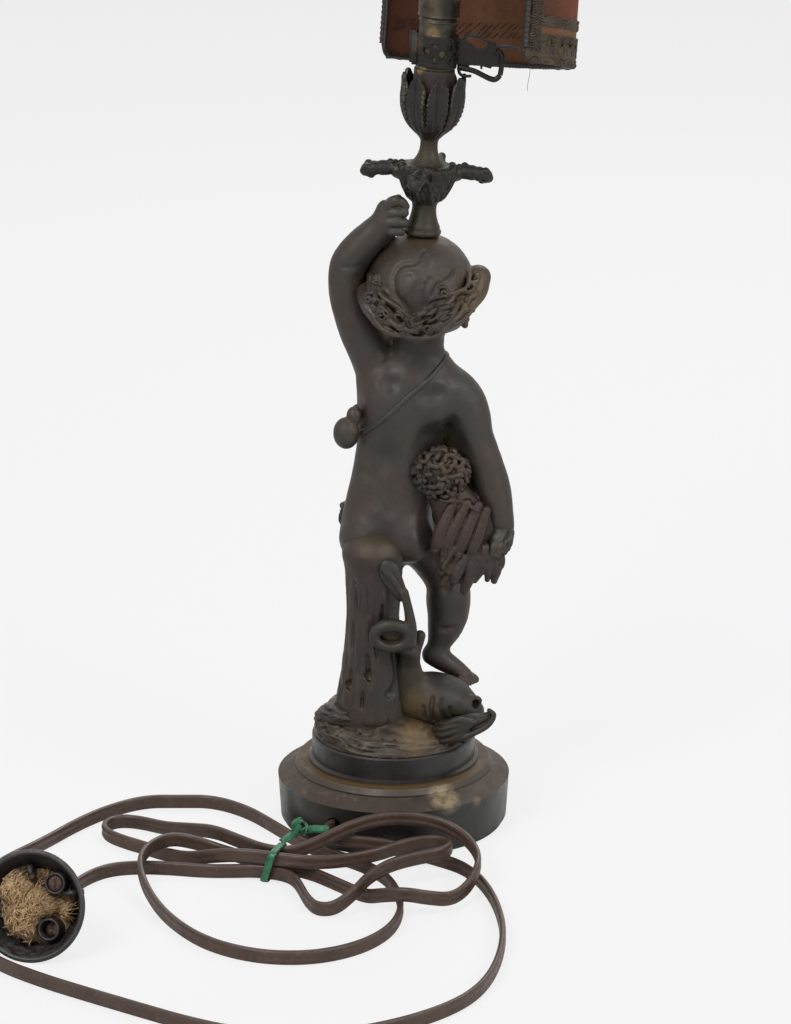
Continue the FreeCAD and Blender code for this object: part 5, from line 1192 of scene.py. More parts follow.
pan = Clay((-36, -36, 14), (36, 36, 38), FINE * 0.9)
pan.work(turned_shape([(6.9, 15.2), (8, 16.2), (10, 18.4), (11.4, 21.5), (12.2, 25), (13.2, 28.5),
                       (14.2, 31.5),
                       (13.6, 33.4), (11.4, 34.2)], pan_leaves))
for k, turn in enumerate(PAN_ARMS):
    c, s = cos(radians(turn)), sin(radians(turn))
    pan.work(limb([(r * c, r * s, z, w) for r, z, w in PAN_ARM_KNOBS], 1), 0.5)
    for r, z, w, off in ((12.5, 33, 2.4, 2.6), (12.5, 33, 2.4, -2.6), (18.5, 34.2, 1.9, 0.6),
                         (15.8, 33.8, 1.7, -1.4),
                         (29, 32.4, 2.1, -1.6), (30.2, 31.2, 1.8, 1.8), (27.6, 27.6, 2, 0.8)):
        pan.work(egg((r * c - off * s, r * s + off * c, z), (w, w, w)), 0.5)
    for t in (-0.55, 0.55):
        pan.work(limb([(r * cos(radians(turn) + t * w), r * sin(radians(turn) + t * w),
                        z, 1.1)
                       for r, z,
                       w in ((8.6, 17.5, 1), (11.6, 22, 0.75), (13.6, 27, 0.5), (16, 29.6, 0.3))]), 0.5)
    pan.work(egg((30.6 * c, 30.6 * s, 28.8), (1.6, 1.6, 1.1)), 0.5, take=True)
    hole = radians(turn + 38.0)
    for z, r in ((18.6, 10.4), (21.6, 11.8), (24.8, 12.7), (27.6, 13.6)):
        pan.work(egg((r * cos(hole), r * sin(hole), z), (1.3, 1.3, 0.95)), 0.3, take=True)
pan.texture(lambda x, y, z: 0.10 * rough(x, y, z, 2.2, 2))

# %% Leaf cup
CUP_LEAVES = 8
CUP_TOP = 78.0
CUP_PROFILE = [(10.6, 33.2), (8.4, 34.6), (6.2, 37.4), (4.8, 40.6), (4.4, 44), (4.7, 46.6), (7, 49.4),
               (10.8, 53.2), (13.6, 57.8), (15.2, 63), (15.7, 68), (15.4, 73), (15.7, 80.5)]


def cup_leaf(angle):
    """Where an angle lies on its leaf, -1 to 1 from edge to edge, with the leaves leaning a little."""
    step = 2 * pi / CUP_LEAVES
    return (np.mod(angle + 0.24, step) / step - 0.5) * 2.0


def cup_relief(angle, z, r):
    u = cup_leaf(angle)
    grown = np.clip((z - 48.0) / 8.0, 0.0, 1.0)
    jag = 0.05 * np.sin(2.1 * z) + 0.03 * np.sin(3.7 * z + 1.0)
    joint = np.exp(-((np.abs(u) - 0.96 - jag) / 0.10) ** 2)
    bead = np.exp(-((np.abs(u) - 0.78 - jag) / 0.11) ** 2) * (0.6 + 0.4 * np.sin(2.6 * z + 2.0 * np.sign(u)))
    fold = np.exp(-(u / 0.13) ** 2)
    lobe = np.cos(np.clip(np.abs(u) * 2.6 - 1.1, -1.5, 1.5))
    overlap = 0.35 * u
    return grown * (-1.5 * joint + 0.75 * bead - 0.8 * fold + 0.65 * lobe + overlap)


def cup_rim(x, y, z):
    u = cup_leaf(np.arctan2(y, x))
    tip = 0.12
    return z - (CUP_TOP + 2.2 - 10.5 * np.abs(u - tip) ** 1.7 + 0.7 * np.sin(9.0 * u) * (np.abs(u) > 0.3))


cup = Clay((-20, -20, 32), (20, 20, 83), FINE * 0.8)
cup.work(turned_shape(CUP_PROFILE, cup_relief))
inside = [(10.5, 59), (11.5, 61), (13.4, 63.8), (13.9, 70), (14.2, 76), (14.6, 84)]
cup.work(turned_shape(inside), 0.3, take=True)
cup.work((lambda x, y, z: -cup_rim(x, y, z), (-20, -20, 60), (20, 20, 84)), 0.3, take=True)
cup.texture(lambda x, y, z: 0.07 * rough(x, y, z, 1.8, 2))

# %% [markdown]
# ## Casting
# Each block of clay now becomes a piece. It takes the place of the plain solids that the solid model holds
# there, and rides on the body that never moves. Each point remembers how hollow its place is, which the
# patina uses for the dirt in the creases and the rub on the ridges.

# %% Casting
putto_body = cast(body, "putto_body", replaces=("figure_torso", "standing_leg", "bent_leg", "raised_arm",
                                                "lowered_arm", "figure_head"))
putto_hair = cast(hair, "putto_hair", replaces=("hair",))
rock_ground = cast(rock, "rock_ground", replaces=("ground_casting",))
sawn_stump = cast(stump, "sawn_stump", replaces=("tree_stump",))
old_dolphin = cast(dolphin, "carved_dolphin", replaces=("dolphin_body", "dolphin_tail", "dolphin_leaf"))
corn_sheaf = cast(sheaf, "corn_sheaf", replaces=("sheaf_ears", "sheaf_stalks"))
strap_band = cast(strap, "strap_band", replaces=("shoulder_strap",))
gourd = cast(flask, "gourd", replaces=("gourd_flask",))
hip_drape = cast(drape, "hip_drape", replaces=("loin_drape",))
column_vase = cast(vase, "column_vase", LEAN, replaces=("column_foot",))
leaf_pan = cast(pan, "leaf_pan", LEAN, replaces=("drip_pan",))
tulip_cup = cast(cup, "tulip_cup", LEAN, replaces=("leaf_cup",))
castings = [putto_body, putto_hair, rock_ground, sawn_stump, old_dolphin, corn_sheaf, strap_band, gourd,
            hip_drape,
            column_vase, leaf_pan, tulip_cup]

# %% [markdown]
# ## Sheets, threads and turned work
# Three more helpers make everything that isn't cast. A sheet is a flat grid of places, with round holes cut
# where its grid is drawn onto their edges, then laid on a curve in two layers and closed all round. Threads
# are thin tubes along any line, joined in one mesh. Turned work spins an outline of radius and height.

# %% Sheet, thread and lathe
def join_meshes(name, parts):
    """One object from several (points, faces) pairs."""
    verts, faces, start = [], [], 0
    for points, around in parts:
        verts.append(points)
        faces += [tuple(i + start for i in f) for f in around]
        start += len(points)
    return new_object(name, np.vstack(verts), faces)


def pierced(width, height, step, holes=()):
    """A grid of (u, v) places, its faces, with round holes (u, v, radius) left open."""
    columns, rows = round(width / step) + 1, round(height / step) + 1
    u, v = np.meshgrid(np.linspace(0, width, columns), np.linspace(0, height, rows), indexing="ij")
    spots = np.stack([u.ravel(), v.ravel()], axis=1)
    for cu, cv, radius in holes:
        off = spots - (cu, cv)
        far = np.linalg.norm(off, axis=1)
        near = (np.abs(far - radius) < 0.55 * step) & (far > 1e-6)
        spots[near] = (cu, cv) + off[near] / far[near, None] * radius
    i, j = (g.ravel() for g in np.meshgrid(np.arange(columns - 1), np.arange(rows - 1), indexing="ij"))
    quads = np.stack([i * rows + j, (i + 1) * rows + j, (i + 1) * rows + j + 1, i * rows + j + 1], axis=1)
    middle = spots[quads].mean(axis=1)
    keep = np.ones(len(quads), bool)
    for cu, cv, radius in holes:
        keep &= np.hypot(middle[:, 0] - cu, middle[:, 1] - cv) > radius * 0.97
    return spots, quads[keep]


def plated(outer, inner, quads):
    """A thin plate between two layers that share their faces, closed along every edge."""
    count = len(outer)
    used = set()
    for quad in quads.tolist():
        used.update(zip(quad, quad[1:] + quad[:1]))
    rim = [(b, a, a + count, b + count) for a, b in used if (b, a) not in used]
    faces = quads.tolist() + (quads[:, ::-1] + count).tolist() + rim
    kept = np.unique(np.concatenate([np.array(f) for f in faces]))
    number = np.full(2 * count, -1)
    number[kept] = np.arange(len(kept))
    return np.vstack([outer, inner])[kept], [tuple(int(number[i]) for i in f) for f in faces]


def thread(line, thick, sides=6, scale=None):
    """A round thread along a line, as points and faces."""
    line = np.asarray(line, float)
    along = unit(np.gradient(line, axis=0))
    guide = np.where(np.abs(along[:, 2:3]) > 0.9, (1, 0, 0), (0, 0, 1))
    side = unit(np.cross(guide, along))
    lift = np.cross(along, side)
    angle = 2 * pi * np.arange(sides) / sides
    size = (thick if scale is None else thick * np.asarray(scale))
    size = np.broadcast_to(size, len(line))[:, None, None]
    rings = line[:, None] + (side[:, None] * np.cos(angle)[None, :, None]
                             + lift[:, None] * np.sin(angle)[None, :, None]) * size
    faces = [(i * sides + k, i * sides + (k + 1) % sides, (i + 1) * sides + (k + 1) % sides,
              (i + 1) * sides + k)
             for i in range(len(line) - 1) for k in range(sides)]
    faces += [tuple(range(sides))[::-1], tuple((len(line) - 1) * sides + k for k in range(sides))]
    return rings.reshape(-1, 3), faces


def lathe(outline, turns=96, stand=None):
    """Turned work from (radius, height) places. A place of radius 0 closes an end."""
    outline = np.array(outline, float)
    angle = 2 * pi * np.arange(turns) / turns
    radius = outline[:, :1] + (0 if stand is None else stand(angle[None, :], outline[:, 1:]))
    radius = np.where(outline[:, :1] < 1e-3, 0.0, radius) + 0 * angle
    points = np.stack([radius * np.cos(angle), radius * np.sin(angle),
                       np.broadcast_to(outline[:, 1:], radius.shape)], axis=-1).reshape(-1, 3)
    faces = [(i * turns + k, i * turns + (k + 1) % turns, (i + 1) * turns + (k + 1) % turns,
              (i + 1) * turns + k)
             for i in range(len(outline) - 1) for k in range(turns)]
    return points, faces


def laid(points, place):
    """Millimetres in a piece's own frame, as metres in the lamp's."""
    return np.asarray(points) * MM @ np.array(place.to_3x3()).T + np.array(place.to_translation())


def settle_piece(piece, slot, body, *replaced):
    """Names a piece's finish slot, what it stands for, and the body that it rides on."""
    if replaced:
        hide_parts(*replaced)
    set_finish(piece, slot)
    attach(piece, body)
    print(piece.name, len(piece.data.polygons), "faces")
    return piece


# %% [markdown]
# ## Shade
# The shade is a little more than half a drum of red silk over card, on a wire frame. It stands tilted in
# front of the bulb. The silk and its paper-like lining are two thin sheets with the corners at the far edge
# rounded, and both pucker a little between the stitches. All of it is drawn on one flat pattern, with the
# length round the drum and the height, and then rolled up, which is also how a shade is cut.

# %% The shade's pattern
SHADE_R, SHADE_H = 52, 112
SHADE_FROM, SHADE_TO = -60, 146
SHADE_PLACE = LEAN @ Matrix.Translation(Vector((16.5, 10, 86)) * MM) @ Matrix.Rotation(radians(-13),
                                                                                       4, "X")
AROUND = SHADE_R * radians(SHADE_TO - SHADE_FROM)
FREE_CORNER = 7.0


def rolled(spots, out):
    """Pattern places (u round, v up) rolled into the drum, out millimetres from its face."""
    angle = radians(SHADE_FROM) + spots[:, 0] / SHADE_R
    radius = SHADE_R + np.broadcast_to(out, len(spots))
    return laid(np.stack([radius * np.cos(angle), radius * np.sin(angle), spots[:, 1]], axis=1), SHADE_PLACE)


def rounded_ends(spots, low, high):
    """Squeezes a pattern's height near its two free edges, so that the corners are round."""
    to_edge = np.minimum(spots[:, 0] + 2.5, AROUND - spots[:, 0])
    inset = FREE_CORNER - np.sqrt(np.clip(FREE_CORNER ** 2 - np.clip(FREE_CORNER - to_edge, 0, None) ** 2,
                                          0, None))
    share = (spots[:, 1] - low) / (high - low)
    spots = spots.copy()
    spots[:, 1] = low + inset + share * (high - low - 2 * inset)
    return spots


def pucker(spots):
    """The silk's tension folds: soft upright waves, deeper at the stitched hems."""
    hem = np.exp(-spots[:, 1] / 16.0) + np.exp(-(SHADE_H - spots[:, 1]) / 16.0)
    wave = np.sin(spots[:, 0] * 0.62 + 1.4 * noise(spots[:, 0] / 14.0, spots[:, 1] / 30.0, 0 * spots[:, 0]))
    return 0.16 * wave * (0.4 + hem) + 0.22 * noise(spots[:, 0] / 11.0, spots[:, 1] / 16.0,
                                                    0 * spots[:, 0] + 3.0)


# %% Silk and lining
silk_spots, silk_quads = pierced(AROUND - 0.6, SHADE_H - 1.8, 1.5)
silk_spots[:, 1] += 0.9
silk_spots = rounded_ends(silk_spots, 0.9, SHADE_H - 0.9)
silk_wave = pucker(silk_spots)
shade_silk = join_meshes("shade_silk",
                         [plated(rolled(silk_spots, silk_wave), rolled(silk_spots, silk_wave - 0.35),
                                               silk_quads)])
settle_piece(shade_silk, "shade_cloth", "shade", "shade_panel")
shade_lining = join_meshes("shade_lining", [plated(rolled(silk_spots, silk_wave - 0.45),
                                                   rolled(silk_spots, silk_wave - 0.8), silk_quads)])
settle_piece(shade_lining, "shade_cloth", "shade")

# %% [markdown]
# ## Lace, braid and gimp
# A band of grey-green lace runs round the foot of the shade and a narrower one round its top. It is woven
# densely, with a row of round holes that show the silk, and its upper edge is scalloped. Looped braid covers
# both free edges, and a twisted gimp hides the stitching along the bottom. Every loop is a real thread.

# %% Lace
SCALLOP = 9.4
LACE_BOTTOM, LACE_TOP = 12.6, 12
LACE_ROUND = AROUND - 3.6


def scallops(u):
    return 1.1 * np.abs(np.sin(pi * u / SCALLOP))


def lace_band(name, foot, tall, up, hole_level=None):
    """A lace band whose scalloped edge is upward or downward, with cords round its holes."""
    holes = [] if hole_level is None else [(SCALLOP * (k + 0.5), hole_level * tall, 1.9)
                                           for k in range(int(LACE_ROUND / SCALLOP))]
    spots, quads = pierced(LACE_ROUND, tall, 0.75, holes)
    share = spots[:, 1] / tall if up > 0 else 1 - spots[:, 1] / tall
    wave = 0.10 * np.sin(spots[:, 0] * 2.6) + 0.28 * noise(spots[:, 0] / 5.0, spots[:, 1] / 9.0,
                                                           0 * spots[:, 0])
    rib = 0.12 * np.sin(spots[:, 1] * 3.1)
    spots = spots.copy()
    spots[:, 1] += foot + up * share * (scallops(spots[:, 0]) - 0.8)
    parts = [plated(rolled(spots, 0.75 + wave + rib), rolled(spots, 0.30 + wave), quads)]
    for u, v, radius in holes:
        a = np.linspace(0, 2 * pi, 13)
        ring = np.stack([u + (radius + 0.25) * np.cos(a), foot + v + (radius + 0.25) * np.sin(a)], axis=1)
        parts.append(thread(rolled(ring, 0.95), 0.26 * MM))
        for lean_way in (-1, 1):
            t = np.linspace(0, 1, 9)
            spray = np.stack([u + lean_way * (1.9 + 1.6 * np.sin(pi * t)),
                              foot + v - up * (1.0 + 4.6 * t)], axis=1)
            parts.append(thread(rolled(spray, 0.95), 0.24 * MM))
    u = np.linspace(0.5, LACE_ROUND - 0.5, 420)
    edge = foot + (tall if up > 0 else 0.0) + up * (scallops(u) - 0.9)
    for level, thick in ((edge, 0.42), (edge - up * 2.0, 0.26),
                         (edge - up * 2.9 - up * 0.5 * np.sin(u * 2.2), 0.24),
                         (edge - up * (tall - 1.8), 0.3)):
        parts.append(thread(rolled(np.stack([u, level], axis=1), 0.95), thick * MM, 5))
    return join_meshes(name, parts)


foot_lace = settle_piece(lace_band("foot_lace", 0.4, LACE_BOTTOM, 1, 0.74), "shade_lace", "shade",
                         "shade_lace")
mid_lace = settle_piece(lace_band("mid_lace", 17.0, 4.6, 1), "shade_lace", "shade")
top_lace = settle_piece(lace_band("top_lace", SHADE_H - LACE_TOP - 0.4, LACE_TOP, -1, 0.3), "shade_lace",
                        "shade")

# %% Braid, gimp, stitches and the loose thread
BRAID_WIDE = 7.0


def braid(name, middle, low, high):
    """Two threads that loop over and under each other on a narrow tape, along a free edge."""
    spots, quads = pierced(BRAID_WIDE - 1.6, high - low, 0.9)
    spots = spots + (middle - (BRAID_WIDE - 1.6) / 2, low)
    bed = 0.15 * noise(spots[:, 0], spots[:, 1] / 2.0, 0 * spots[:, 0])
    parts = [plated(rolled(spots, 1.15 + bed), rolled(spots, 0.45), quads)]
    v = np.linspace(low, high, int((high - low) * 4))
    for phase in (0, 0.5, 1, 1.5):
        turn = 2 * pi * v / 5.2 + phase * pi
        across = middle + (BRAID_WIDE / 2 - 0.6) * np.sin(turn) * (1.0 + 0.12
                                                                   * noise(v / 3.0, 0 * v, 0 * v + phase))
        line = rolled(np.stack([across, v + 0.7 * np.sin(2 * turn)], axis=1),
                      1.45 + 0.35 * np.cos(2 * turn + phase))
        parts.append(thread(line, 0.42 * MM))
    return join_meshes(name, parts)


near_braid = settle_piece(braid("near_braid", 4.4, 6.0, SHADE_H - 4.0), "shade_braid", "shade", "edge_braid")
far_braid = settle_piece(braid("far_braid", AROUND - 7.6, 6.0, SHADE_H - 6.0), "shade_braid", "shade")

gimp_parts = []
for level in (0.3, SHADE_H - 0.3):
    u = np.linspace(2.0, AROUND - 5.0, 760)
    lump = 1.0 + 0.35 * noise(u / 2.3, 0 * u, 0 * u + level)
    for phase in range(3):
        turn = 2 * pi * (u / 5.6 + phase / 3.0)
        line = rolled(np.stack([u, level + 0.8 * np.sin(turn) * lump], axis=1),
                      -0.3 + 0.8 * np.cos(turn) * lump)
        gimp_parts.append(thread(line, 0.72 * MM, 6, lump))
hem_gimp = settle_piece(join_meshes("hem_gimp", gimp_parts), "shade_braid", "shade")

dice = np.random.RandomState(5)
stitch_parts = []
for k in range(50):
    u = 5.0 + (AROUND - 12.0) * k / 49 + dice.uniform(-0.6, 0.6)
    for low, high, slant in ((13.4, 16.6, -3.4), (17, 20.2, -3.4)):
        t = np.linspace(0, 1, 5)
        spot = np.stack([u + slant * t + dice.uniform(-0.4, 0.4),
                         low + (high - low) * t + dice.uniform(-0.8, 0.8)], axis=1)
        stitch_parts.append(thread(rolled(spot, -0.98 - 0.25 * np.sin(pi * t)), 0.26 * MM, 5))
whip_stitches = settle_piece(join_meshes("whip_stitches", stitch_parts), "shade_braid", "shade")

t = np.linspace(0, 1, 16)
hang_from = rolled(np.array([[1.6, 0]]), 0.6)[0]
fall = hang_from + np.stack([0.0006 * np.sin(5 * t), -0.0004 * t, -0.0150 * t], axis=1)
edge_parts = []
for u, out in ((-0.2, -0.3), (AROUND + 0.2, -0.6)):
    v = np.linspace(FREE_CORNER - 1.0, SHADE_H - FREE_CORNER + 1.0, 130)
    lump = 1.0 + 0.14 * np.sin(2 * pi * v / 2.6)
    edge_parts.append(thread(rolled(np.stack([0 * v + u, v], axis=1), out), 1.45 * MM, 8, lump))
edge_binding = settle_piece(join_meshes("edge_binding", edge_parts), "frame_wire", "shade")
loose_thread = settle_piece(join_meshes("loose_thread", [thread(fall, 0.11 * MM, 5)]), "shade_braid", "shade")

# %% Bound wire frame
WIRE_AT = SHADE_R - 0.9 - 0.9 - 0.1


def frame_path():
    """Once round the frame: along the bottom, up one edge, back along the top and down the other."""
    corner, half_turn = 5.0, np.linspace(0, pi / 2, 9)
    ends = [(AROUND - corner, corner, 0), (AROUND - corner, SHADE_H - corner, 1),
            (corner, SHADE_H - corner, 2),
            (corner, corner, 3)]
    path = [(u, 0.0) for u in np.arange(corner, AROUND - corner, 1.2)]
    for number, (u, v, quarter) in enumerate(ends):
        start = -pi / 2 + quarter * pi / 2
        path += [(u + corner * cos(start + a), v + corner * sin(start + a)) for a in half_turn]
        if number == 0:
            path += [(AROUND, v) for v in np.arange(corner + 1, SHADE_H - corner, 1.2)]
        if number == 1:
            path += [(u, SHADE_H) for u in np.arange(AROUND - corner - 1, corner, -1.2)]
        if number == 2:
            path += [(0.0, v) for v in np.arange(SHADE_H - corner - 1, corner, -1.2)]
    return np.array(path)


path = frame_path()
steps = np.concatenate([[0], np.cumsum(np.linalg.norm(np.diff(path, axis=0), axis=1))])
fine = np.arange(0, steps[-1], 0.6)
path = np.stack([np.interp(fine, steps, path[:, k]) for k in (0, 1)], axis=1)
windings = 1.0 + 0.10 * np.abs(np.sin(pi * fine / 2.4)) + 0.05 * noise(fine / 3.0, 0 * fine, 0 * fine)
wire_line = rolled(path, WIRE_AT - SHADE_R)
bound_frame = settle_piece(join_meshes("bound_frame",
                                       [thread(np.vstack([wire_line, wire_line[:2]]), 1.15 * MM, 9,
                                                              np.append(windings, windings[:2]))]),
                           "frame_wire", "shade", "shade_frame")

# %% [markdown]
# ## Lampholder, sleeve and clip
# Above the leaf cup stands a brown card sleeve, and on it a brass bayonet lampholder with a threaded ring.
# These are turned, with the beads and steps that a spun brass part has. The shade's clip is stamped sheet:
# a pierced band round the holder, closed by two flanges, a dark bracket, and a thick wire that loops down
# beside the bracket and out to the shade.

# %% Turned brass
def bead(radius, level, proud, half):
    """A small round bead in an outline."""
    return [(radius + proud * cos(a), level + half * sin(a))
            for a in np.linspace(-pi / 2, pi / 2, 7)]


holder_outline = ([(8.9, 82.2), (9.4, 82.2), (9.6, 82.6), (9.6, 83.6), (9.55, 98.8), (9.2, 99.8),
                   (9.1, 100.4), (9.1, 105.2)] + bead(9.1, 106.2, 0.5, 0.6)
                  + [(9.1, 107.4), (9, 108), (8.4, 108), (8.4, 104)])
brass_holder = join_meshes("brass_holder", [(laid(p, LEAN), f) for p, f in [lathe(holder_outline)]])
settle_piece(brass_holder, "lampholder_brass", "root", "holder_cup")

grooves = [(10.35 - 0.28 * (k % 2), 110.2 + 0.8 * k) for k in range(11)]
ring_outline = ([(9, 108.3), (9.9, 108.3)] + bead(10.0, 109.0, 0.5, 0.65) + grooves
                + bead(10.1, 119.8, 0.5, 0.8)
                + [(9.9, 121), (9, 121), (8.75, 120.4), (8.75, 108.9), (9, 108.3)])
threaded_ring = join_meshes("threaded_ring", [(laid(p, LEAN), f) for p, f in [lathe(ring_outline)]])
settle_piece(threaded_ring, "lampholder_brass", "root", "shade_ring")

sleeve_outline = [(9.3, 60.2), (10.2, 60.2), (10.2, 66), (10.15, 72), (10.2, 78), (10.15, 81), (10.05, 82),
                  (9.75, 82.3), (9.3, 82), (9.3, 60.2)]
card_sleeve = join_meshes("card_sleeve", [(laid(p, LEAN), f) for p, f in [lathe(
    sleeve_outline, 96, lambda a,
                                                                                s: 0.07
                                                                                * np.sin(3 * a + s * 0.2)
                                                                                + 0.05
                                                                                * np.sin(11 * a + 1.3 * s)
                                                                                * (s > 75))]])
settle_piece(card_sleeve, "candle_card", "root", "candle_tube")

# %% Pierced clip band
BAND_R, BAND_WALL = 9.9, 0.8
BAND_LOW, BAND_HIGH, BAND_SLANT = 83.8, 99.6, radians(6.0)
BAND_AROUND = 2 * pi * BAND_R * 0.94
SCROLL_HOLES = [(6.5, 8, 1.7), (10.4, 4.6, 1.2), (10.2, 11.2, 1.1), (14.6, 7.6, 1.9), (18.6, 11, 1.2),
                (18.4, 4.4, 1.1), (22.4, 8, 1.7), (26.6, 4.8, 1.2), (26.4, 11.2, 1.2), (30.6, 7.8, 1.9),
                (35, 11, 1.1), (35, 4.6, 1.2), (39.4, 8, 1.8), (44, 10.8, 1.2), (44.2, 4.8, 1.1),
                (48.6, 7.8, 1.8), (52.6, 10.6, 1.1)]


def on_band(spots, out):
    """Band places (u round from the left flange, v up) on the slanting band."""
    angle = pi + radians(24.0) + spots[:, 0] / BAND_R
    radius = BAND_R + np.broadcast_to(out, len(spots))
    x, y = radius * np.cos(angle), radius * np.sin(angle)
    return laid(np.stack([x, y, BAND_LOW + spots[:, 1] - x * tan(BAND_SLANT) * 0.5], axis=1), LEAN)


band_tall = BAND_HIGH - BAND_LOW
spots, quads = pierced(BAND_AROUND, band_tall, 0.6, SCROLL_HOLES)
swell = 0.12 * np.exp(-((spots[:, 1] - 1.0) / 0.7) ** 2) + 0.12 * np.exp(-((spots[:, 1] - band_tall + 1.0)
                                                                           / 0.7) ** 2)
band_parts = [plated(on_band(spots, BAND_WALL - 0.15 + swell), on_band(spots, 0.15), quads)]
for u, v, radius in SCROLL_HOLES:
    a = np.linspace(0.3, 0.3 + 1.7 * pi, 16)
    spiral = np.linspace(radius + 0.9, radius + 0.15, 16)
    scroll = np.stack([u + spiral * np.cos(a) * (1 if v > 8 else -1), v + spiral * np.sin(a)], axis=1)
    scroll[:, 1] = np.clip(scroll[:, 1], 0.5, band_tall - 0.5)
    band_parts.append(thread(on_band(scroll, BAND_WALL), 0.34 * MM, 6))
for u in (0.4, BAND_AROUND - 0.4):
    flange, flange_quads = pierced(3.4, band_tall, 0.7)
    base = on_band(np.stack([0 * flange[:, 1] + u, flange[:, 1]], axis=1), 0.3)
    outward = np.array(LEAN.to_3x3() @ Vector((-1, 0, 0)))
    fan = np.array(LEAN.to_3x3() @ Vector((0.0, 0.16 if u > 5 else -0.16, 0.0)))
    wall = np.array(LEAN.to_3x3() @ Vector((0, 0.7, 0))) * MM
    outer = base + (outward + fan) * (flange[:, :1] * MM * (0.75 + 0.02 * flange[:, 1:]))
    band_parts.append(plated(outer, outer + wall, flange_quads))
settle_piece(join_meshes("pierced_band", band_parts), "clip_brass", "shade_clip", "clip_band")

# %% Bracket, hook and looped wire
BRACKET = [(10.9, 82.2), (16.2, 81.6), (16.9, 85), (20.3, 86), (22.2, 85.2), (22.3, 83.5), (23.4, 83.5),
           (23.4, 84.9), (27.4, 84), (28.9, 86.4), (32.6, 86.8), (32.6, 93.2), (28.9, 94.2), (21.7, 94),
           (19, 93.2),
           (17.5, 95.6), (15.3, 96.4), (13, 98.4), (10.9, 98)]


def flat_plate(outline, y_low, y_high):
    """A plate with this outline in x and height, between two y."""
    count = len(outline)
    points = np.array([(x, y_low, s) for x, s in outline] + [(x, y_high, s) for x, s in outline])
    faces = [tuple(range(count)), tuple(range(2 * count - 1, count - 1, -1))]
    faces += [((i + 1) % count, i, i + count, (i + 1) % count + count) for i in range(count)]
    return points, faces


plate_points, plate_faces = flat_plate(BRACKET, -0.6, 0.6)
bracket_plate = new_object("bracket_plate", laid(plate_points, LEAN), plate_faces, smooth=False)
bevel = bracket_plate.modifiers.new("rounded edges", "BEVEL")
bevel.width = 0.25 * MM
bevel.segments = 2
settle_piece(bracket_plate, "clip_brass", "shade_clip", "clip_bracket")

LOOP_WIRE = [(11.2, -1, 84, 1.3), (16.5, -1.7, 83.2, 1.35), (20, -1.8, 82.4, 1.35), (24, -1.8, 80.7, 1.35),
             (27.6, -1.8, 79.3, 1.4), (30, -1.8, 79.2, 1.4), (32, -1.8, 81.2, 1.35), (32.5, -1.8, 84.4, 1.35),
             (32.6, -1.8, 88.4, 1.35), (32.2, -1.8, 92, 1.2), (29.6, -1.8, 94, 1)]
row = smooth_row(LOOP_WIRE, 6)
loop_wire = join_meshes("loop_wire", [thread(laid(row[:, :3], LEAN), MM, 10, row[:, 3])])
settle_piece(loop_wire, "clip_brass", "shade_clip")
row = smooth_row([(11.6, -1.8, 83, 0.8), (12.4, -1.8, 80.9, 0.8), (14.4, -1.8, 79.8, 0.8),
                  (18.2, -1.8, 80, 0.7)], 6)
small_hook = join_meshes("small_hook", [thread(laid(row[:, :3], LEAN), MM, 8, row[:, 3])])
settle_piece(small_hook, "clip_brass", "shade_clip", "clip_hook")
row = smooth_row([(13.2, 1.4, 97.4, 0.7), (15.4, 1.4, 98.9, 0.75), (18.6, 1.4, 99.3, 0.8),
                  (22.6, 0.9, 98.3, 0.8),
                  (26.6, -0.4, 96.9, 0.8), (28.6, -1.2, 96.2, 0.8)], 6)
stay_wire = join_meshes("stay_wire", [thread(laid(row[:, :3], LEAN), MM, 8, row[:, 3])])
settle_piece(stay_wire, "clip_brass", "shade_clip")

# %% [markdown]
# ## Plug and tie
# The plug lies open, with its cover off: a moulded dark cup with a thick rolled rim, a terminal screw in one
# well, an empty well, and teased fibre packed round the cores. The cup and its wells are turned, the screw
# has its slot, and the fibre is a few hundred bent hairs on a lumpy bed, drawn with seeded dice.

# %% Plug cup
PLUG_R, PLUG_BACK_R = 27.3, 19
PLUG_RISE, PLUG_TURN = radians(20.7), radians(-14.0)
plug_stand = Matrix.Rotation(PLUG_TURN, 4, "Z") @ Matrix.Rotation(pi / 2 - PLUG_RISE, 4, "X")
PLUG_PLACE = Matrix.Translation(Vector((-173.0, -180.0, PLUG_R * cos(PLUG_RISE) + 0.05))
                                * MM) @ plug_stand
WELLS = [(8.7, 11.4, 5.4), (7.6, -10.8, 5.6), (-17, -2.2, 4.6)]


def plug_grips(angle, level):
    return -0.28 * np.exp(-((np.mod(angle * 18 / pi, 2.0) - 1.0) / 0.35) ** 2) * (level < -4.0)


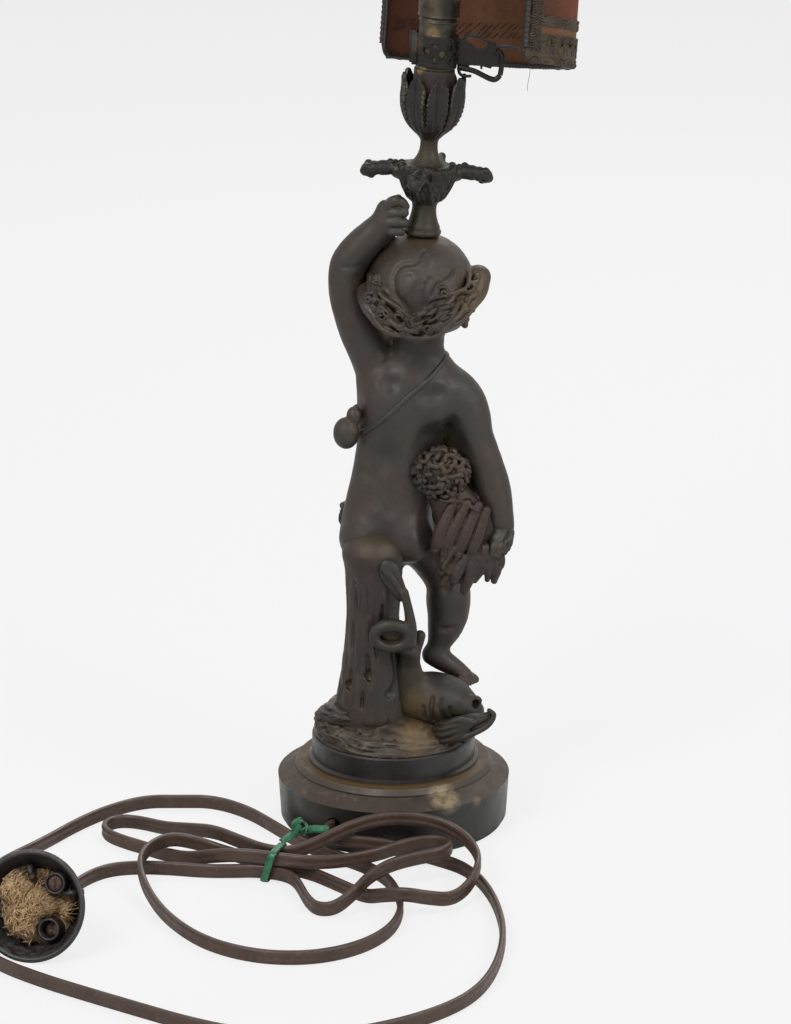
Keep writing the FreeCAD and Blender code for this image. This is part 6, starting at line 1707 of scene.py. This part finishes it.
rim = [(25.7 + 1.35 * cos(a), -1.35 + 1.35 * sin(a)) for a in np.linspace(-0.6, pi, 9)]
cup_outline = ([(0, -20), (PLUG_BACK_R - 1.5, -20.0), (PLUG_BACK_R, -19.2), (21.6, -13), (24.4, -6),
                (25.9, -3)]
               + rim + [(23.9, -2.8), (23, -6), (20.4, -12), (18.2, -16.2), (16.6, -17.4), (0, -17.4)])
plug_parts = [lathe(cup_outline, 144, plug_grips)]
for x, y, radius in WELLS:
    wall = [(radius - 1.4, -17.4), (radius - 1.4, -8.4), (radius - 1.0, -7.8), (radius - 0.3, -8.0),
            (radius, -8.6),
            (radius, -17.4)]
    points, faces = lathe(wall, 40)
    plug_parts.append((points + (x, y, 0.0), faces))
for x, y, angle, length in ((17.4, 7.6, 0.25, 7), (-4, 16, 1.9, 6)):
    block = [(x + a * cos(angle) - b * sin(angle), y + a * sin(angle) + b * cos(angle))
             for a, b in ((-length / 2, -1.1), (length / 2, -1.1), (length / 2, 1.1), (-length / 2, 1.1))]
    points = np.array([(px, py, -17.4) for px, py in block] + [(px, py, -6.4) for px, py in block])
    plug_parts.append((points,
                       [(0, 3, 2, 1), (4, 5, 6, 7), (0, 1, 5, 4), (1, 2, 6, 5), (2, 3, 7, 6), (3, 0, 4, 7)]))
open_cup = join_meshes("open_cup", [(laid(p, PLUG_PLACE), f) for p, f in plug_parts])
settle_piece(open_cup, "bakelite", "root", "plug_body")

# %% Terminal screws
screw_parts = []
for (x, y, radius), depth in zip(WELLS, (-8.8, -14.4, -10)):
    size = radius - 1.45
    head, faces = lathe([(0.0, depth + 0.9), (size * 0.5, depth + 0.85), (size * 0.85, depth + 0.5),
                         (size, depth - 0.2),
                         (size, depth - 3.0), (0.0, depth - 3.0)], 40)
    groove = (np.abs(head[:, 0]) < 0.34) & (head[:, 2] > depth)
    head[groove, 2] -= 0.7
    screw_parts.append((head + (x, y, 0.0), faces))
post = smooth_row([(-2, 10, -14, 1.9), (-2.4, 12.6, -8.6, 1.9), (-2.6, 14.2, -5.8, 1.6)], 5)
screw_parts.append(thread(post[:, :3], 1.0, 12, post[:, 3]))
terminals = join_meshes("terminal_screws", [(laid(p, PLUG_PLACE), f) for p, f in screw_parts])
settle_piece(terminals, "plug_brass", "root", "plug_terminals")

# %% Fibre packing
dice = np.random.RandomState(23)
FIBRE_HEAPS = [((-11, 7), 11.5, 0.42), ((-7, -7), 12.5, 0.45), ((16.4, -1.6), 4.6, 0.10),
               ((0.5, 1), 9.5, 0.2)]


def heap_height(x, y):
    """How high the packing stands at a place in the cup."""
    tall = 0.0
    for (hx, hy), wide, _ in FIBRE_HEAPS:
        tall = np.maximum(tall, 14.0 * np.exp(-(((x - hx) ** 2 + (y - hy) ** 2) / (0.9 * wide) ** 2) ** 1.6))
    lumps = 1.5 * noise(x / 3.0, y / 3.0, 0 * x) + 0.8 * noise(x / 1.4, y / 1.4, 0 * x + 4.0)
    for wx, wy, radius in WELLS[:2]:
        tall = tall * np.clip((np.hypot(x - wx, y - wy) - radius) / 2.0, 0.0, 1.0)
    return -17.3 + tall * np.clip((22.5 - np.hypot(x, y)) / 3.0, 0.0, 1.0) + lumps * (tall > 1.0)


spots, quads = pierced(40.0, 40.0, 0.8)
spots = spots - 20.0
spots = 0.88 * spots * (np.abs(spots).max(axis=1) / np.maximum(np.linalg.norm(spots, axis=1), 1e-6))[:, None]
top = heap_height(spots[:, 0], spots[:, 1])
bed = np.column_stack([spots, top])
fibre_parts = [plated(bed, np.column_stack([spots * 0.8, np.full(len(spots), -17.38)]), quads)]
for (hx, hy), wide, share in FIBRE_HEAPS:
    for _ in range(int(420 * share)):
        x, y = dice.normal(hx, wide * 0.42), dice.normal(hy, wide * 0.42)
        if np.hypot(x, y) > 21.0 or min(np.hypot(x - w[0], y - w[1]) - w[2] for w in WELLS[:2]) < -1.0:
            continue
        heading = dice.uniform(0, 2 * pi) if dice.uniform() < 0.45 else dice.normal(1.3, 0.4)
        length, bend = dice.uniform(5.0, 14.0), dice.normal(0.0, 0.9)
        t = np.linspace(0, 1, 9)
        way = heading + bend * t
        line_x = x + np.cumsum(np.cos(way)) * length / 9
        line_y = y + np.cumsum(np.sin(way)) * length / 9
        far = np.hypot(line_x, line_y)
        line_x, line_y = line_x * np.minimum(1, 21.5 / far), line_y * np.minimum(1, 21.5 / far)
        lift = heap_height(line_x, line_y) + 0.3 + dice.uniform(0.2, 3.4) * np.sin(pi * t) ** 2
        line = np.column_stack([line_x, line_y, np.minimum(lift, -1.6)])
        fibre_parts.append(thread(line, dice.uniform(0.2, 0.5), 5, 1.0 - 0.6 * t))
fibre = join_meshes("teased_fibre", [(laid(p, PLUG_PLACE), f) for p, f in fibre_parts])
settle_piece(fibre, "fibre_packing", "root", "plug_packing")

# %% Green tie
TIE_PLACE = Matrix.Translation(Vector((-60, -86, 8.75)) * MM) @ Matrix.Rotation(radians(-20.0), 4, "Z")
HALF_Y, HALF_Z, TIE_CORNER = 8.3, 8.3, 3.2
loop = []
for cy, cz, start in ((1, 1, 0), (-1, 1, 90), (-1, -1, 180), (1, -1, 270)):
    for a in np.linspace(0, 90, 8):
        angle = radians(start + a)
        loop.append((0.0, cy * (HALF_Y - TIE_CORNER) + TIE_CORNER * cos(angle),
                     cz * (HALF_Z - TIE_CORNER) + TIE_CORNER * sin(angle)))
loop = np.array(loop + loop[:1])
loop[:, 0] = 2.6 * loop[:, 2] / HALF_Z
TAPE = [(-1.9, -0.28), (-0.9, -0.42), (0.9, -0.42), (1.9, -0.28), (1.9, 0.28), (0.9, 0.42), (-0.9, 0.42),
        (-1.9, 0.28)]


def tape(line, turn):
    """A flat strip of plastic along a line, its face turned by so many radians at each point."""
    line = np.asarray(line, float)
    along = unit(np.gradient(line, axis=0))
    guide = np.broadcast_to((1, 0, 0), line.shape)
    across = unit(guide - along * (guide * along).sum(axis=1, keepdims=True))
    face = np.cross(along, across)
    turn = np.broadcast_to(turn, len(line))[:, None]
    wide, thin = across * np.cos(turn) + face * np.sin(turn), face * np.cos(turn) - across * np.sin(turn)
    rings = np.stack([line + wide * a + thin * b for a, b in TAPE], axis=1).reshape(-1, 3)
    n = len(TAPE)
    faces = [(i * n + k, i * n + (k + 1) % n, (i + 1) * n + (k + 1) % n, (i + 1) * n + k)
             for i in range(len(line) - 1) for k in range(n)]
    return rings, faces + [tuple(range(n))[::-1], tuple((len(line) - 1) * n + k for k in range(n))]


to_tie = np.array(TIE_PLACE.inverted())
def from_lamp(places):
    places = np.array(places) * MM
    return (places @ to_tie[:3, :3].T + to_tie[:3, 3]) / MM


tails = [([(-56, -80, 17.4), (-52, -75.5, 18.6), (-49.5, -71.6, 19), (-49.6, -71, 23), (-46.5, -69.8, 24.6),
           (-43.6, -71, 22.4), (-44.6, -74, 18.6)], np.linspace(0.2, 1.2, 31)),
         ([(-46.5, -72.6, 19.4), (-43, -72.8, 21), (-38, -72.4, 21.2), (-32.4, -71.8, 20.6)],
          np.linspace(0.9, 1.3, 16)),
         ([(-50.2, -72, 17), (-49, -71.4, 20), (-47, -70.6, 22.6)], np.linspace(0.0, 0.6, 11))]
tie_parts = [tape(loop, 0.0)]
for places, turn in tails:
    line = smooth_row([(*p, 0.0) for p in from_lamp(places)], 5)[:, :3]
    tie_parts.append(tape(line, turn[:len(line)]))
plastic_tie = join_meshes("plastic_tie", [(laid(p, TIE_PLACE), f) for p, f in tie_parts])
settle_piece(plastic_tie, "green_tie", "root", "twist_tie")

# %% [markdown]
# ## Finishes
# Every finish is made of the same few moves: noise at one or two sizes, a place on the object, a mix of two
# colours, and a bump. Colours are written as they look on paper, 0 to 255, and turned into light. Noise
# reads the object's own coordinates, which are metres on this object, so a scale of 100 is a grain of 10 mm.

# %% Finish helpers
def paint(red, green, blue):
    """A colour as it looks, 0 to 255, as linear light."""
    return tuple((c / 255) / 12.92 if c / 255 <= 0.04045 else ((c / 255 + 0.055) / 1.055) ** 2.4
                 for c in (red, green, blue)) + (1.0,)


class Finish:
    """A material being mixed: each method adds one thing and gives its socket."""

    def __init__(self, name, **shader):
        self.material = bpy.data.materials.new(name)
        self.material.use_nodes = True
        self.tree = self.material.node_tree
        self.shader = self.tree.nodes["Principled BSDF"]
        self.place = self.tree.nodes.new("ShaderNodeTexCoord").outputs["Object"]
        for key, value in shader.items():
            self.shader.inputs[key.replace("_", " ")].default_value = value

    def noise(self, scale, detail=3.0, rough=0.55, stretch=None):
        where = self.place
        if stretch is not None:
            where = node(self.tree, "ShaderNodeMapping", Vector=where, Scale=stretch).outputs["Vector"]
        return node(self.tree, "ShaderNodeTexNoise", Vector=where, Scale=scale, Detail=detail,
                    Roughness=rough).outputs["Fac"]

    def span(self, value, low, high, out_low=0.0, out_high=1.0):
        """Stretches low..high of a value to out_low..out_high, and holds it there."""
        return node(self.tree, "ShaderNodeMapRange", Value=value, From_Min=low, From_Max=high, To_Min=out_low,
                    To_Max=out_high).outputs["Result"]

    def sum(self, kind, a, b=None):
        made = self.tree.nodes.new("ShaderNodeMath")
        made.operation = kind
        for socket, value in zip(made.inputs, (a, b)):
            if isinstance(value, bpy.types.NodeSocket):
                self.tree.links.new(value, socket)
            elif value is not None:
                socket.default_value = value
        return made.outputs[0]

    def mix(self, share, a, b):
        made = self.tree.nodes.new("ShaderNodeMix")
        made.data_type = "RGBA"
        for socket, value in ((made.inputs[0], share), (made.inputs[6], a), (made.inputs[7], b)):
            if isinstance(value, bpy.types.NodeSocket):
                self.tree.links.new(value, socket)
            else:
                socket.default_value = value
        return made.outputs[2]

    def noted(self, name):
        return node(self.tree, "ShaderNodeAttribute", attribute_name=name).outputs["Fac"]

    def axis(self, which, source=None):
        return node(self.tree, "ShaderNodeSeparateXYZ", Vector=source or self.place).outputs[which]

    def facing(self, which):
        """How far the surface faces along X, Y or Z."""
        geometry = self.tree.nodes.new("ShaderNodeNewGeometry")
        return self.axis(which, geometry.outputs["Normal"])

    def near(self, centre, reach, soft):
        """1 within reach millimetres of a place, fading to 0 over soft."""
        made = self.tree.nodes.new("ShaderNodeVectorMath")
        made.operation = "DISTANCE"
        self.tree.links.new(self.place, made.inputs[0])
        made.inputs[1].default_value = [c * MM for c in centre]
        return self.span(made.outputs["Value"], (reach + soft) * MM, reach * MM)

    def times(self, a, b):
        return self.sum("MULTIPLY", a, b)

    def lay(self, share, *colour):
        """Lays a colour over what is there, where the share is high."""
        self.colour = self.mix(share, self.colour, paint(*colour))

    def bump(self, height, strength, distance):
        made = node(self.tree, "ShaderNodeBump", Height=height, Strength=strength, Distance=distance * MM)
        self.tree.links.new(made.outputs["Normal"], self.shader.inputs["Normal"])

    def to(self, **sockets):
        for key, value in sockets.items():
            self.tree.links.new(value, self.shader.inputs[key.replace("_", " ")])
        return self.material


# %% [markdown]
# ## Bronzed spelter
# The castings are spelter bronzed to a grey brown. Brown-purple shows in broad patches, creases hold dark
# dirt, sheltered places hold ochre dust, and ridges are rubbed pale. The creases come from the clay, the
# patches and dust from noise and from a few places that the photograph shows. A few more listed places get
# painted shade, darkened where shadow falls in the hollows and under the overhangs of each casting.

# %% Bronzed spelter
def spelter(name, base=(60, 56, 51), patch=(64, 52, 45), dust=(86, 76, 46), dust_share=0.24, dust_at=(),
            painted_shade_at=()):
    f = Finish(name, Metallic=0.30, Roughness=0.5)
    broad = f.span(f.noise(34.0, 4.0), 0.42, 0.66)
    fine = f.noise(420.0, 3.0, 0.6)
    f.colour = f.mix(broad, paint(*base), paint(*patch))
    f.lay(f.span(fine, 0.35, 0.7, 0.0, 0.35), 46, 42, 38)
    crease = f.noted("crease")
    shelter = f.noted("shelter")
    dusty = f.times(f.span(shelter, 0.12, 0.75), f.span(f.noise(70.0, 3.0), 0.38, 0.62, 0.0, dust_share * 2))
    for centre, reach, soft, share in dust_at:
        place = f.times(f.near(centre, reach, soft), share)
        dusty = f.sum("MAXIMUM", dusty, f.times(place, f.span(f.noise(95.0, 4.0), 0.30, 0.60, 0.25, 1.0)))
    f.lay(f.sum("MINIMUM", dusty, 1.0), *dust)
    # painted shade: each listed place is darkened where shadow falls on the casting
    for centre, reach, soft, share in painted_shade_at:
        shade = f.times(f.near(centre, reach, soft), f.span(f.noise(60.0, 3.0), 0.3, 0.7, 0.6 * share, share))
        f.lay(shade, 24, 20, 17)
    f.lay(f.span(crease, 0.22, 0.85, 0.0, 0.85), 22, 19, 17)
    rub = f.times(f.span(crease, -0.22, -0.75), f.span(f.noise(160.0, 2.0), 0.35, 0.65, 0.1, 0.6))
    f.lay(rub, 112, 102, 88)
    f.bump(f.sum("ADD", fine, f.times(f.noise(1500.0, 2.0), 0.4)), 0.30, 0.25)
    return f.to(Base_Color=f.colour, Roughness=f.span(f.noise(120.0, 3.0), 0.3, 0.7, 0.40, 0.62))


# the last list of places is painted shadow: the back's hollows, the neck under the hair band, above the seat,
# inside the elbow, and round the legs and the sheaf
patina = spelter("bronzed_spelter", dust_at=[((-18, -12, 213), 1.6, 1.6, 1.8)], painted_shade_at=[
    ((21, -14, 207), 6, 7, 0.75), ((14, -11, 256), 9, 7, 0.7), ((21, -14, 232), 3, 7, 0.4),
                                                                                         ((-4, -14, 201),
                                                                                          3, 7, 0.5),
    ((-1, -13, 238), 2, 7, 0.35), ((-10, -21, 161), 7, 6, 0.6), ((-15, -9, 299), 3, 6, 0.5),
                                                                                         ((-4, -22, 150),
                                                                                          12, 12, 0.35),
    ((28, 2, 104), 12, 10, 0.35), ((16, -16, 160), 5, 8, 0.35), ((36, -8, 206), 2, 5, 0.3)])
dusty_rock = spelter("bronzed_rock", (54, 48, 42), (62, 52, 42), (106, 86, 58), 0.26,
                     [((12, -32, 57), 8, 7, 0.9), ((14, -26, 62), 5, 6, 0.9)])
# the second list of places is painted shadow on the stump, beside the dolphin's tail and under its fluke
dark_stump = spelter("bronzed_stump", (55, 49, 44), (63, 50, 43), (84, 72, 46), 0.22,
                     [((-8, -22, 158), 8, 6, 0.45)],
                     [((-6, -26, 128), 4, 8, 0.3), ((2, -24, 92), 5, 9, 0.45)])
# the second list of places is painted shadow: in the folds, inside the tail's ring and at the mouth
dolphin_dark = spelter("bronzed_dolphin", (46, 42, 37), (54, 45, 38), (88, 70, 42), 0.22,
                       [((10, -24, 66), 9, 8, 0.8), ((-1, -29, 105), 2.5, 2.5, 1.4),
                        ((10, -18, 84), 5, 7, 0.5)],
                       [((22, -24, 66), 5, 7, 0.4), ((1, -28, 111), 2, 3, 0.6), ((44, -22, 66), 2, 4, 0.4)])
# the second list of places is painted shadow: in the band's gaps at the nape and under the band above the
# neck
lock_brown = spelter("bronzed_hair", (66, 58, 52), (68, 54, 45), (96, 78, 46), 0.24,
                     [((14, 0, 310), 8, 7, 0.8), ((38, -12, 280), 8, 12, 0.6)],
                     [((12, -27, 281), 8, 9, 0.55), ((14, -22, 262), 10, 5, 0.6),
                      ((-8, -18, 276), 3, 6, 0.3)])
sheaf_brown = spelter("bronzed_sheaf", (54, 45, 41), (62, 47, 41), (92, 76, 52), 0.20,
                      [((30, -22, 199), 7, 10, 0.4)])
column_dark = spelter("bronzed_column", (27, 24, 21), (33, 28, 23), (70, 62, 40), 0.24,
                      [((17, 0, 350), 6, 8, 0.6), ((14, 0, 316), 8, 5, 0.5)])

# %% [markdown]
# ## Wood, metal and plastic
# Each of these starts from one colour with broad and fine variation, and then gets what time did to it. The
# plinth's black lacquer is worn to brown wood along its shoulder and dusty where the casting stands on it.
# The brass is olive, with painted shade on its right side and painted highlights on its left and its ring.
# The card is brown with a painted highlight at its lip, the clip has a painted highlight on its flange, and
# the plug's moulding is dull and dusty.

# %% Worn coats
def worn(name, colour, dark, light, scale=150.0, metallic=0.0, rough_span=(0.4, 0.6), grain=900.0, deep=0.15,
         stretch=None):
    """A finish of three colours in broad stains and fine specks, for more to be added to."""
    f = Finish(name, Metallic=metallic)
    stains = f.span(f.noise(scale, 4.0, 0.6, stretch), 0.36, 0.66)
    f.colour = f.mix(stains, paint(*colour), paint(*dark))
    specks = f.noise(grain, 3.0, 0.6)
    f.lay(f.span(specks, 0.56, 0.78, 0.0, 0.55), *light)
    f.bump(f.sum("ADD", specks, f.times(stains, 0.6)), 0.35, deep)
    f.roughness = f.span(f.noise(scale * 1.7, 3.0), 0.35, 0.65, *rough_span)
    return f


def stain_and_light_spot(f, centre, reach, soft, colour, share=1.0, ragged=200.0):
    """Lays a coloured spot round a place, with a ragged edge: real stains and scuffs, and painted highlights
    and shade.
    """
    mark = f.times(f.near(centre, reach, soft), f.span(f.noise(ragged, 4.0), 0.30, 0.58, 0.15, share))
    f.lay(f.sum("MINIMUM", mark, 1.0), *colour)


def done(f):
    return f.to(Base_Color=f.colour, Roughness=f.roughness)


def on_lean(x, y, s):
    """A place in the column's frame, in the lamp's, in millimetres."""
    return tuple(c / MM for c in LEAN @ Vector((x * MM, y * MM, s * MM)))


DRUM_FOOT = 33.0

lacquer = worn("plinth_lacquer", (36, 34, 31), (24, 23, 21), (62, 56, 48), 60.0, 0.0, (0.26, 0.42), 700.0,
               0.06)
height = lacquer.axis(2)
flat = lacquer.span(lacquer.facing(2), 0.25, 0.8)
low_enough = lacquer.span(height, (DRUM_FOOT + 0.9) * MM, (DRUM_FOOT + 0.2) * MM)
shoulder = lacquer.times(lacquer.times(flat, low_enough),
                       lacquer.span(lacquer.noise(75.0, 5.0, 0.6), 0.28, 0.56, 0.35, 1.0))
lacquer.lay(shoulder, 62, 50, 41)
pale = lacquer.times(shoulder, lacquer.span(lacquer.noise(190.0, 4.0, 0.65), 0.56, 0.72, 0.0, 0.7))
lacquer.lay(pale, 104, 90, 72)
line = lacquer.times(lacquer.span(height, (DRUM_FOOT + 1.4) * MM, (DRUM_FOOT + 0.2) * MM),
                   lacquer.span(height, (DRUM_FOOT - 1.0) * MM, (DRUM_FOOT - 0.2) * MM))
lacquer.lay(lacquer.times(line, 0.6), 100, 78, 44)
side_face = lacquer.times(lacquer.span(height, 29.2 * MM, 29.6 * MM),
                          lacquer.span(height, 32.9 * MM, 32.5 * MM))
lacquer.lay(lacquer.times(side_face, 0.8), 62, 50, 38)
stain_and_light_spot(lacquer, (26, -48, 29), 5, 5, (158, 140, 110), 0.85, 260.0)
stain_and_light_spot(lacquer, (43, -42, 24), 1.6, 2, (118, 98, 72), 0.7, 500.0)
lacquer.roughness = lacquer.sum("ADD", lacquer.roughness, lacquer.times(shoulder, 0.34))
plinth_lacquer = done(lacquer)

brass = worn("tarnished_brass", (84, 75, 60), (44, 40, 29), (110, 96, 70), 170.0, 0.4, (0.36, 0.55),
             1200.0, 0.05)
# painted shade: the two dark spots on the right of the ring and the holder, away from the light
stain_and_light_spot(brass, on_lean(8.0, -8.5, 114), 5, 5, (34, 31, 22), 1.4, 90.0)
stain_and_light_spot(brass, on_lean(7.5, -8.5, 103), 5, 4, (30, 28, 20), 1.4, 90.0)
# painted highlights: pale spots at the band's top edge, on the lip under the band (also rubbed wear) and on
# the ring
stain_and_light_spot(brass, on_lean(-3.0, -9.5, 100), 1.5, 3.5, (132, 110, 72), 0.9, 400.0)
stain_and_light_spot(brass, on_lean(-6.5, -7.5, 84.0), 1.2, 1.8, (150, 130, 92), 1.0, 400.0)
stain_and_light_spot(brass, on_lean(8.5, -5.5, 120), 1.5, 3.0, (132, 116, 86), 0.9, 400.0)
holder_brass = done(brass)

card = worn("sleeve_card", (43, 34, 29), (32, 26, 22), (74, 60, 48), 110.0, 0.0, (0.55, 0.75), 600.0, 0.2,
            (1, 1, 0.25))
# painted highlight on the lip at the left, also rubbed wear
stain_and_light_spot(card, on_lean(-7.5, -7.0, 82.0), 1.2, 1.6, (128, 108, 74), 1.0, 450.0)
stain_and_light_spot(card, on_lean(4.0, -9.0, 74.0), 4.0, 8.0, (54, 40, 36), 0.8)
sleeve_card = done(card)

clip_metal = worn("clip_metal", (32, 28, 23), (22, 19, 17), (66, 58, 44), 240.0, 0.35, (0.38, 0.58),
                  1300.0, 0.06)
# painted highlight along the left flange's edge
stain_and_light_spot(clip_metal, on_lean(-9.5, -3.0, 96.0), 2.0, 5.0, (96, 84, 74), 0.8, 500.0)
wire_metal = done(worn("wire_metal", (30, 21, 17), (22, 15, 12), (54, 40, 32), 300.0, 0.0, (0.45, 0.65),
                       1500.0, 0.08))
moulding = worn("moulded_cup", (46, 43, 44), (32, 30, 31), (82, 80, 78), 130.0, 0.0, (0.30, 0.50), 1100.0,
                0.05)
dust_up = moulding.times(moulding.span(moulding.facing(2), 0.2, 0.9),
                       moulding.span(moulding.noise(300.0, 4.0), 0.42, 0.66, 0.0, 0.55))
moulding.lay(dust_up, 104, 100, 96)
screw_brass = done(worn("screw_brass", (92, 72, 60), (52, 38, 34), (138, 114, 88), 420.0, 0.6, (0.38, 0.6),
                        1500.0, 0.08))
steel_finish = done(worn("turned_steel", (118, 114, 106), (84, 78, 70), (150, 146, 138), 300.0, 0.9,
                         (0.3, 0.45)))
clip_finish, moulding_finish = done(clip_metal), done(moulding)

# %% [markdown]
# ## Cloth, cord and the rest
# Silk, lace and braid share a weave: two sets of stretched noise, one along the height and one across it,
# that raise threads. The silk faded unevenly, redder outside at the right and brown inside, and the lining
# gets painted shade towards its left. The cord's jacket is plain brown plastic, a little scuffed on its
# ridges, and the tie is soft green plastic.

# %% Cloth
def woven(name, colour, dark, light, thread_scale=900.0, stain_scale=36.0, deep=0.12, sheen=0.15):
    f = Finish(name, Roughness=0.85, Sheen_Weight=sheen)
    upright = f.noise(thread_scale, 2.0, 0.6, (1, 1, 0.10))
    across = f.noise(thread_scale, 2.0, 0.6, (0.12, 0.12, 1))
    stains = f.span(f.noise(stain_scale, 4.0, 0.6), 0.34, 0.68)
    f.colour = f.mix(stains, paint(*colour), paint(*dark))
    f.lay(f.span(f.sum("MAXIMUM", upright, across), 0.58, 0.80, 0.0, 0.5), *light)
    f.bump(f.sum("ADD", upright, across), 0.4, deep)
    f.roughness = f.span(f.noise(200.0, 2.0), 0.3, 0.7, 0.75, 0.95)
    return f


silk = woven("red_silk", (92, 50, 26), (74, 40, 20), (112, 68, 40), sheen=0.0)
side = silk.span(silk.axis(0), 0.078, 0.092)
silk.lay(silk.times(side, 0.7), 114, 52, 20)
across_foot = silk.tree.nodes.new("ShaderNodeVectorMath")
across_foot.operation = "DOT_PRODUCT"
silk.tree.links.new(silk.place, across_foot.inputs[0])
shade_up = SHADE_PLACE.to_3x3() @ Vector((0, 0, 1))
across_foot.inputs[1].default_value = shade_up
foot_level = SHADE_PLACE.translation.dot(shade_up) + 17.5 * MM
tan_foot = silk.span(across_foot.outputs["Value"], foot_level + 1.0 * MM, foot_level)
silk.lay(silk.times(tan_foot, 0.85), 112, 80, 52)
silk_outside = done(silk)
lining = woven("brown_lining", (98, 62, 36), (80, 47, 26), (116, 78, 48), sheen=0.05)
# painted shade: the lining darkens towards the left, where the shade's own wall keeps the light off
painted_shade_left = lining.span(lining.axis(0), 0.050, -0.010)
lining.lay(painted_shade_left, 78, 36, 12)
gold = lining.times(lining.span(lining.noise(45.0, 4.0), 0.5, 0.7), lining.span(lining.axis(0), 0.02, 0.05))
lining.lay(lining.times(gold, 0.5), 96, 66, 28)
silk_inside = done(lining)
lace_finish = done(woven("grey_lace", (72, 62, 44), (50, 38, 28), (102, 92, 70), 1400.0, 120.0, 0.15, 0.05))
braid_cloth = woven("braid_cloth", (62, 52, 41), (38, 25, 21), (112, 104, 84), 1800.0, 260.0, 0.12, 0.05)
olive = braid_cloth.span(braid_cloth.noise(150.0, 4.0), 0.56, 0.68, 0.0, 0.7)
braid_cloth.lay(olive, 104, 86, 34)
braid_finish = done(braid_cloth)
stitch_finish = done(woven("dark_stitches", (52, 26, 18), (38, 20, 14), (80, 46, 30), 2200.0, 300.0, 0.05))
felt_finish = done(woven("baize", (50, 58, 46), (38, 44, 36), (74, 80, 66), 1500.0, 90.0, 0.2, 0.3))

fibre_coat = worn("jute_fibre", (200, 172, 134), (154, 118, 78), (236, 216, 180), 330.0, 0.0, (0.8, 0.95),
                  1700.0, 0.1)
grey = fibre_coat.span(fibre_coat.noise(120.0, 3.0), 0.58, 0.72, 0.0, 0.8)
fibre_coat.lay(grey, 112, 102, 92)
fibre_finish = done(fibre_coat)
tie_finish = done(worn("tie_plastic", (46, 118, 80), (30, 88, 58), (120, 176, 136), 260.0, 0.0,
                       (0.25, 0.42), 900.0, 0.05))
cord_coat = worn("cord_jacket", (78, 58, 48), (62, 45, 37), (108, 90, 80), 70.0, 0.0, (0.34, 0.5), 420.0,
                 0.06)
cord_finish = done(cord_coat)
porcelain_finish = done(worn("porcelain", (214, 206, 190), (196, 186, 168), (230, 224, 212), 90.0, 0.0,
                             (0.15, 0.3)))
glass = Finish("clear_glass", Roughness=0.03, IOR=1.45, Transmission_Weight=1.0)
glass_finish = glass.to(Base_Color=glass.mix(glass.span(glass.noise(60.0), 0.3, 0.7), paint(250, 250, 248),
                                             paint(242, 243, 240)))

# %% Coats on every piece
FINISH_OF_SLOT = {
    "felt": felt_finish, "plinth_wood": plinth_lacquer, "steel": steel_finish, "gilt_spelter": patina,
    "candle_card": sleeve_card, "lampholder_brass": holder_brass, "porcelain": porcelain_finish,
    "bulb_glass": glass_finish, "clip_brass": clip_finish, "frame_wire": wire_metal,
                  "shade_cloth": silk_outside,
    "shade_lace": lace_finish, "shade_braid": braid_finish, "bakelite": moulding_finish,
                  "plug_brass": screw_brass,
    "fibre_packing": fibre_finish, "green_tie": tie_finish, "cord_cover": cord_finish}


def coat(piece, material):
    """Gives a piece one finish. A node of the solid model keeps its mesh and gets it in its slots."""
    if not piece.material_slots:
        piece.data.materials.append(material)
    for material_slot in piece.material_slots:
        material_slot.material = material


for part in frame["record"]["subparts"]:
    coat(frame["nodes"][part["node"]], FINISH_OF_SLOT[part["material_slot"]])
for piece in list(bpy.data.objects):
    if "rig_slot" in piece and "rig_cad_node" not in piece:
        coat(piece, FINISH_OF_SLOT[piece["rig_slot"]])
coat(shade_lining, silk_inside)
coat(whip_stitches, stitch_finish)
for piece, material in zip(castings,
                           (patina, lock_brown, dusty_rock, dark_stump, dolphin_dark, sheaf_brown, patina,
                            patina,
                                      patina, column_dark, column_dark, column_dark)):
    coat(piece, material)
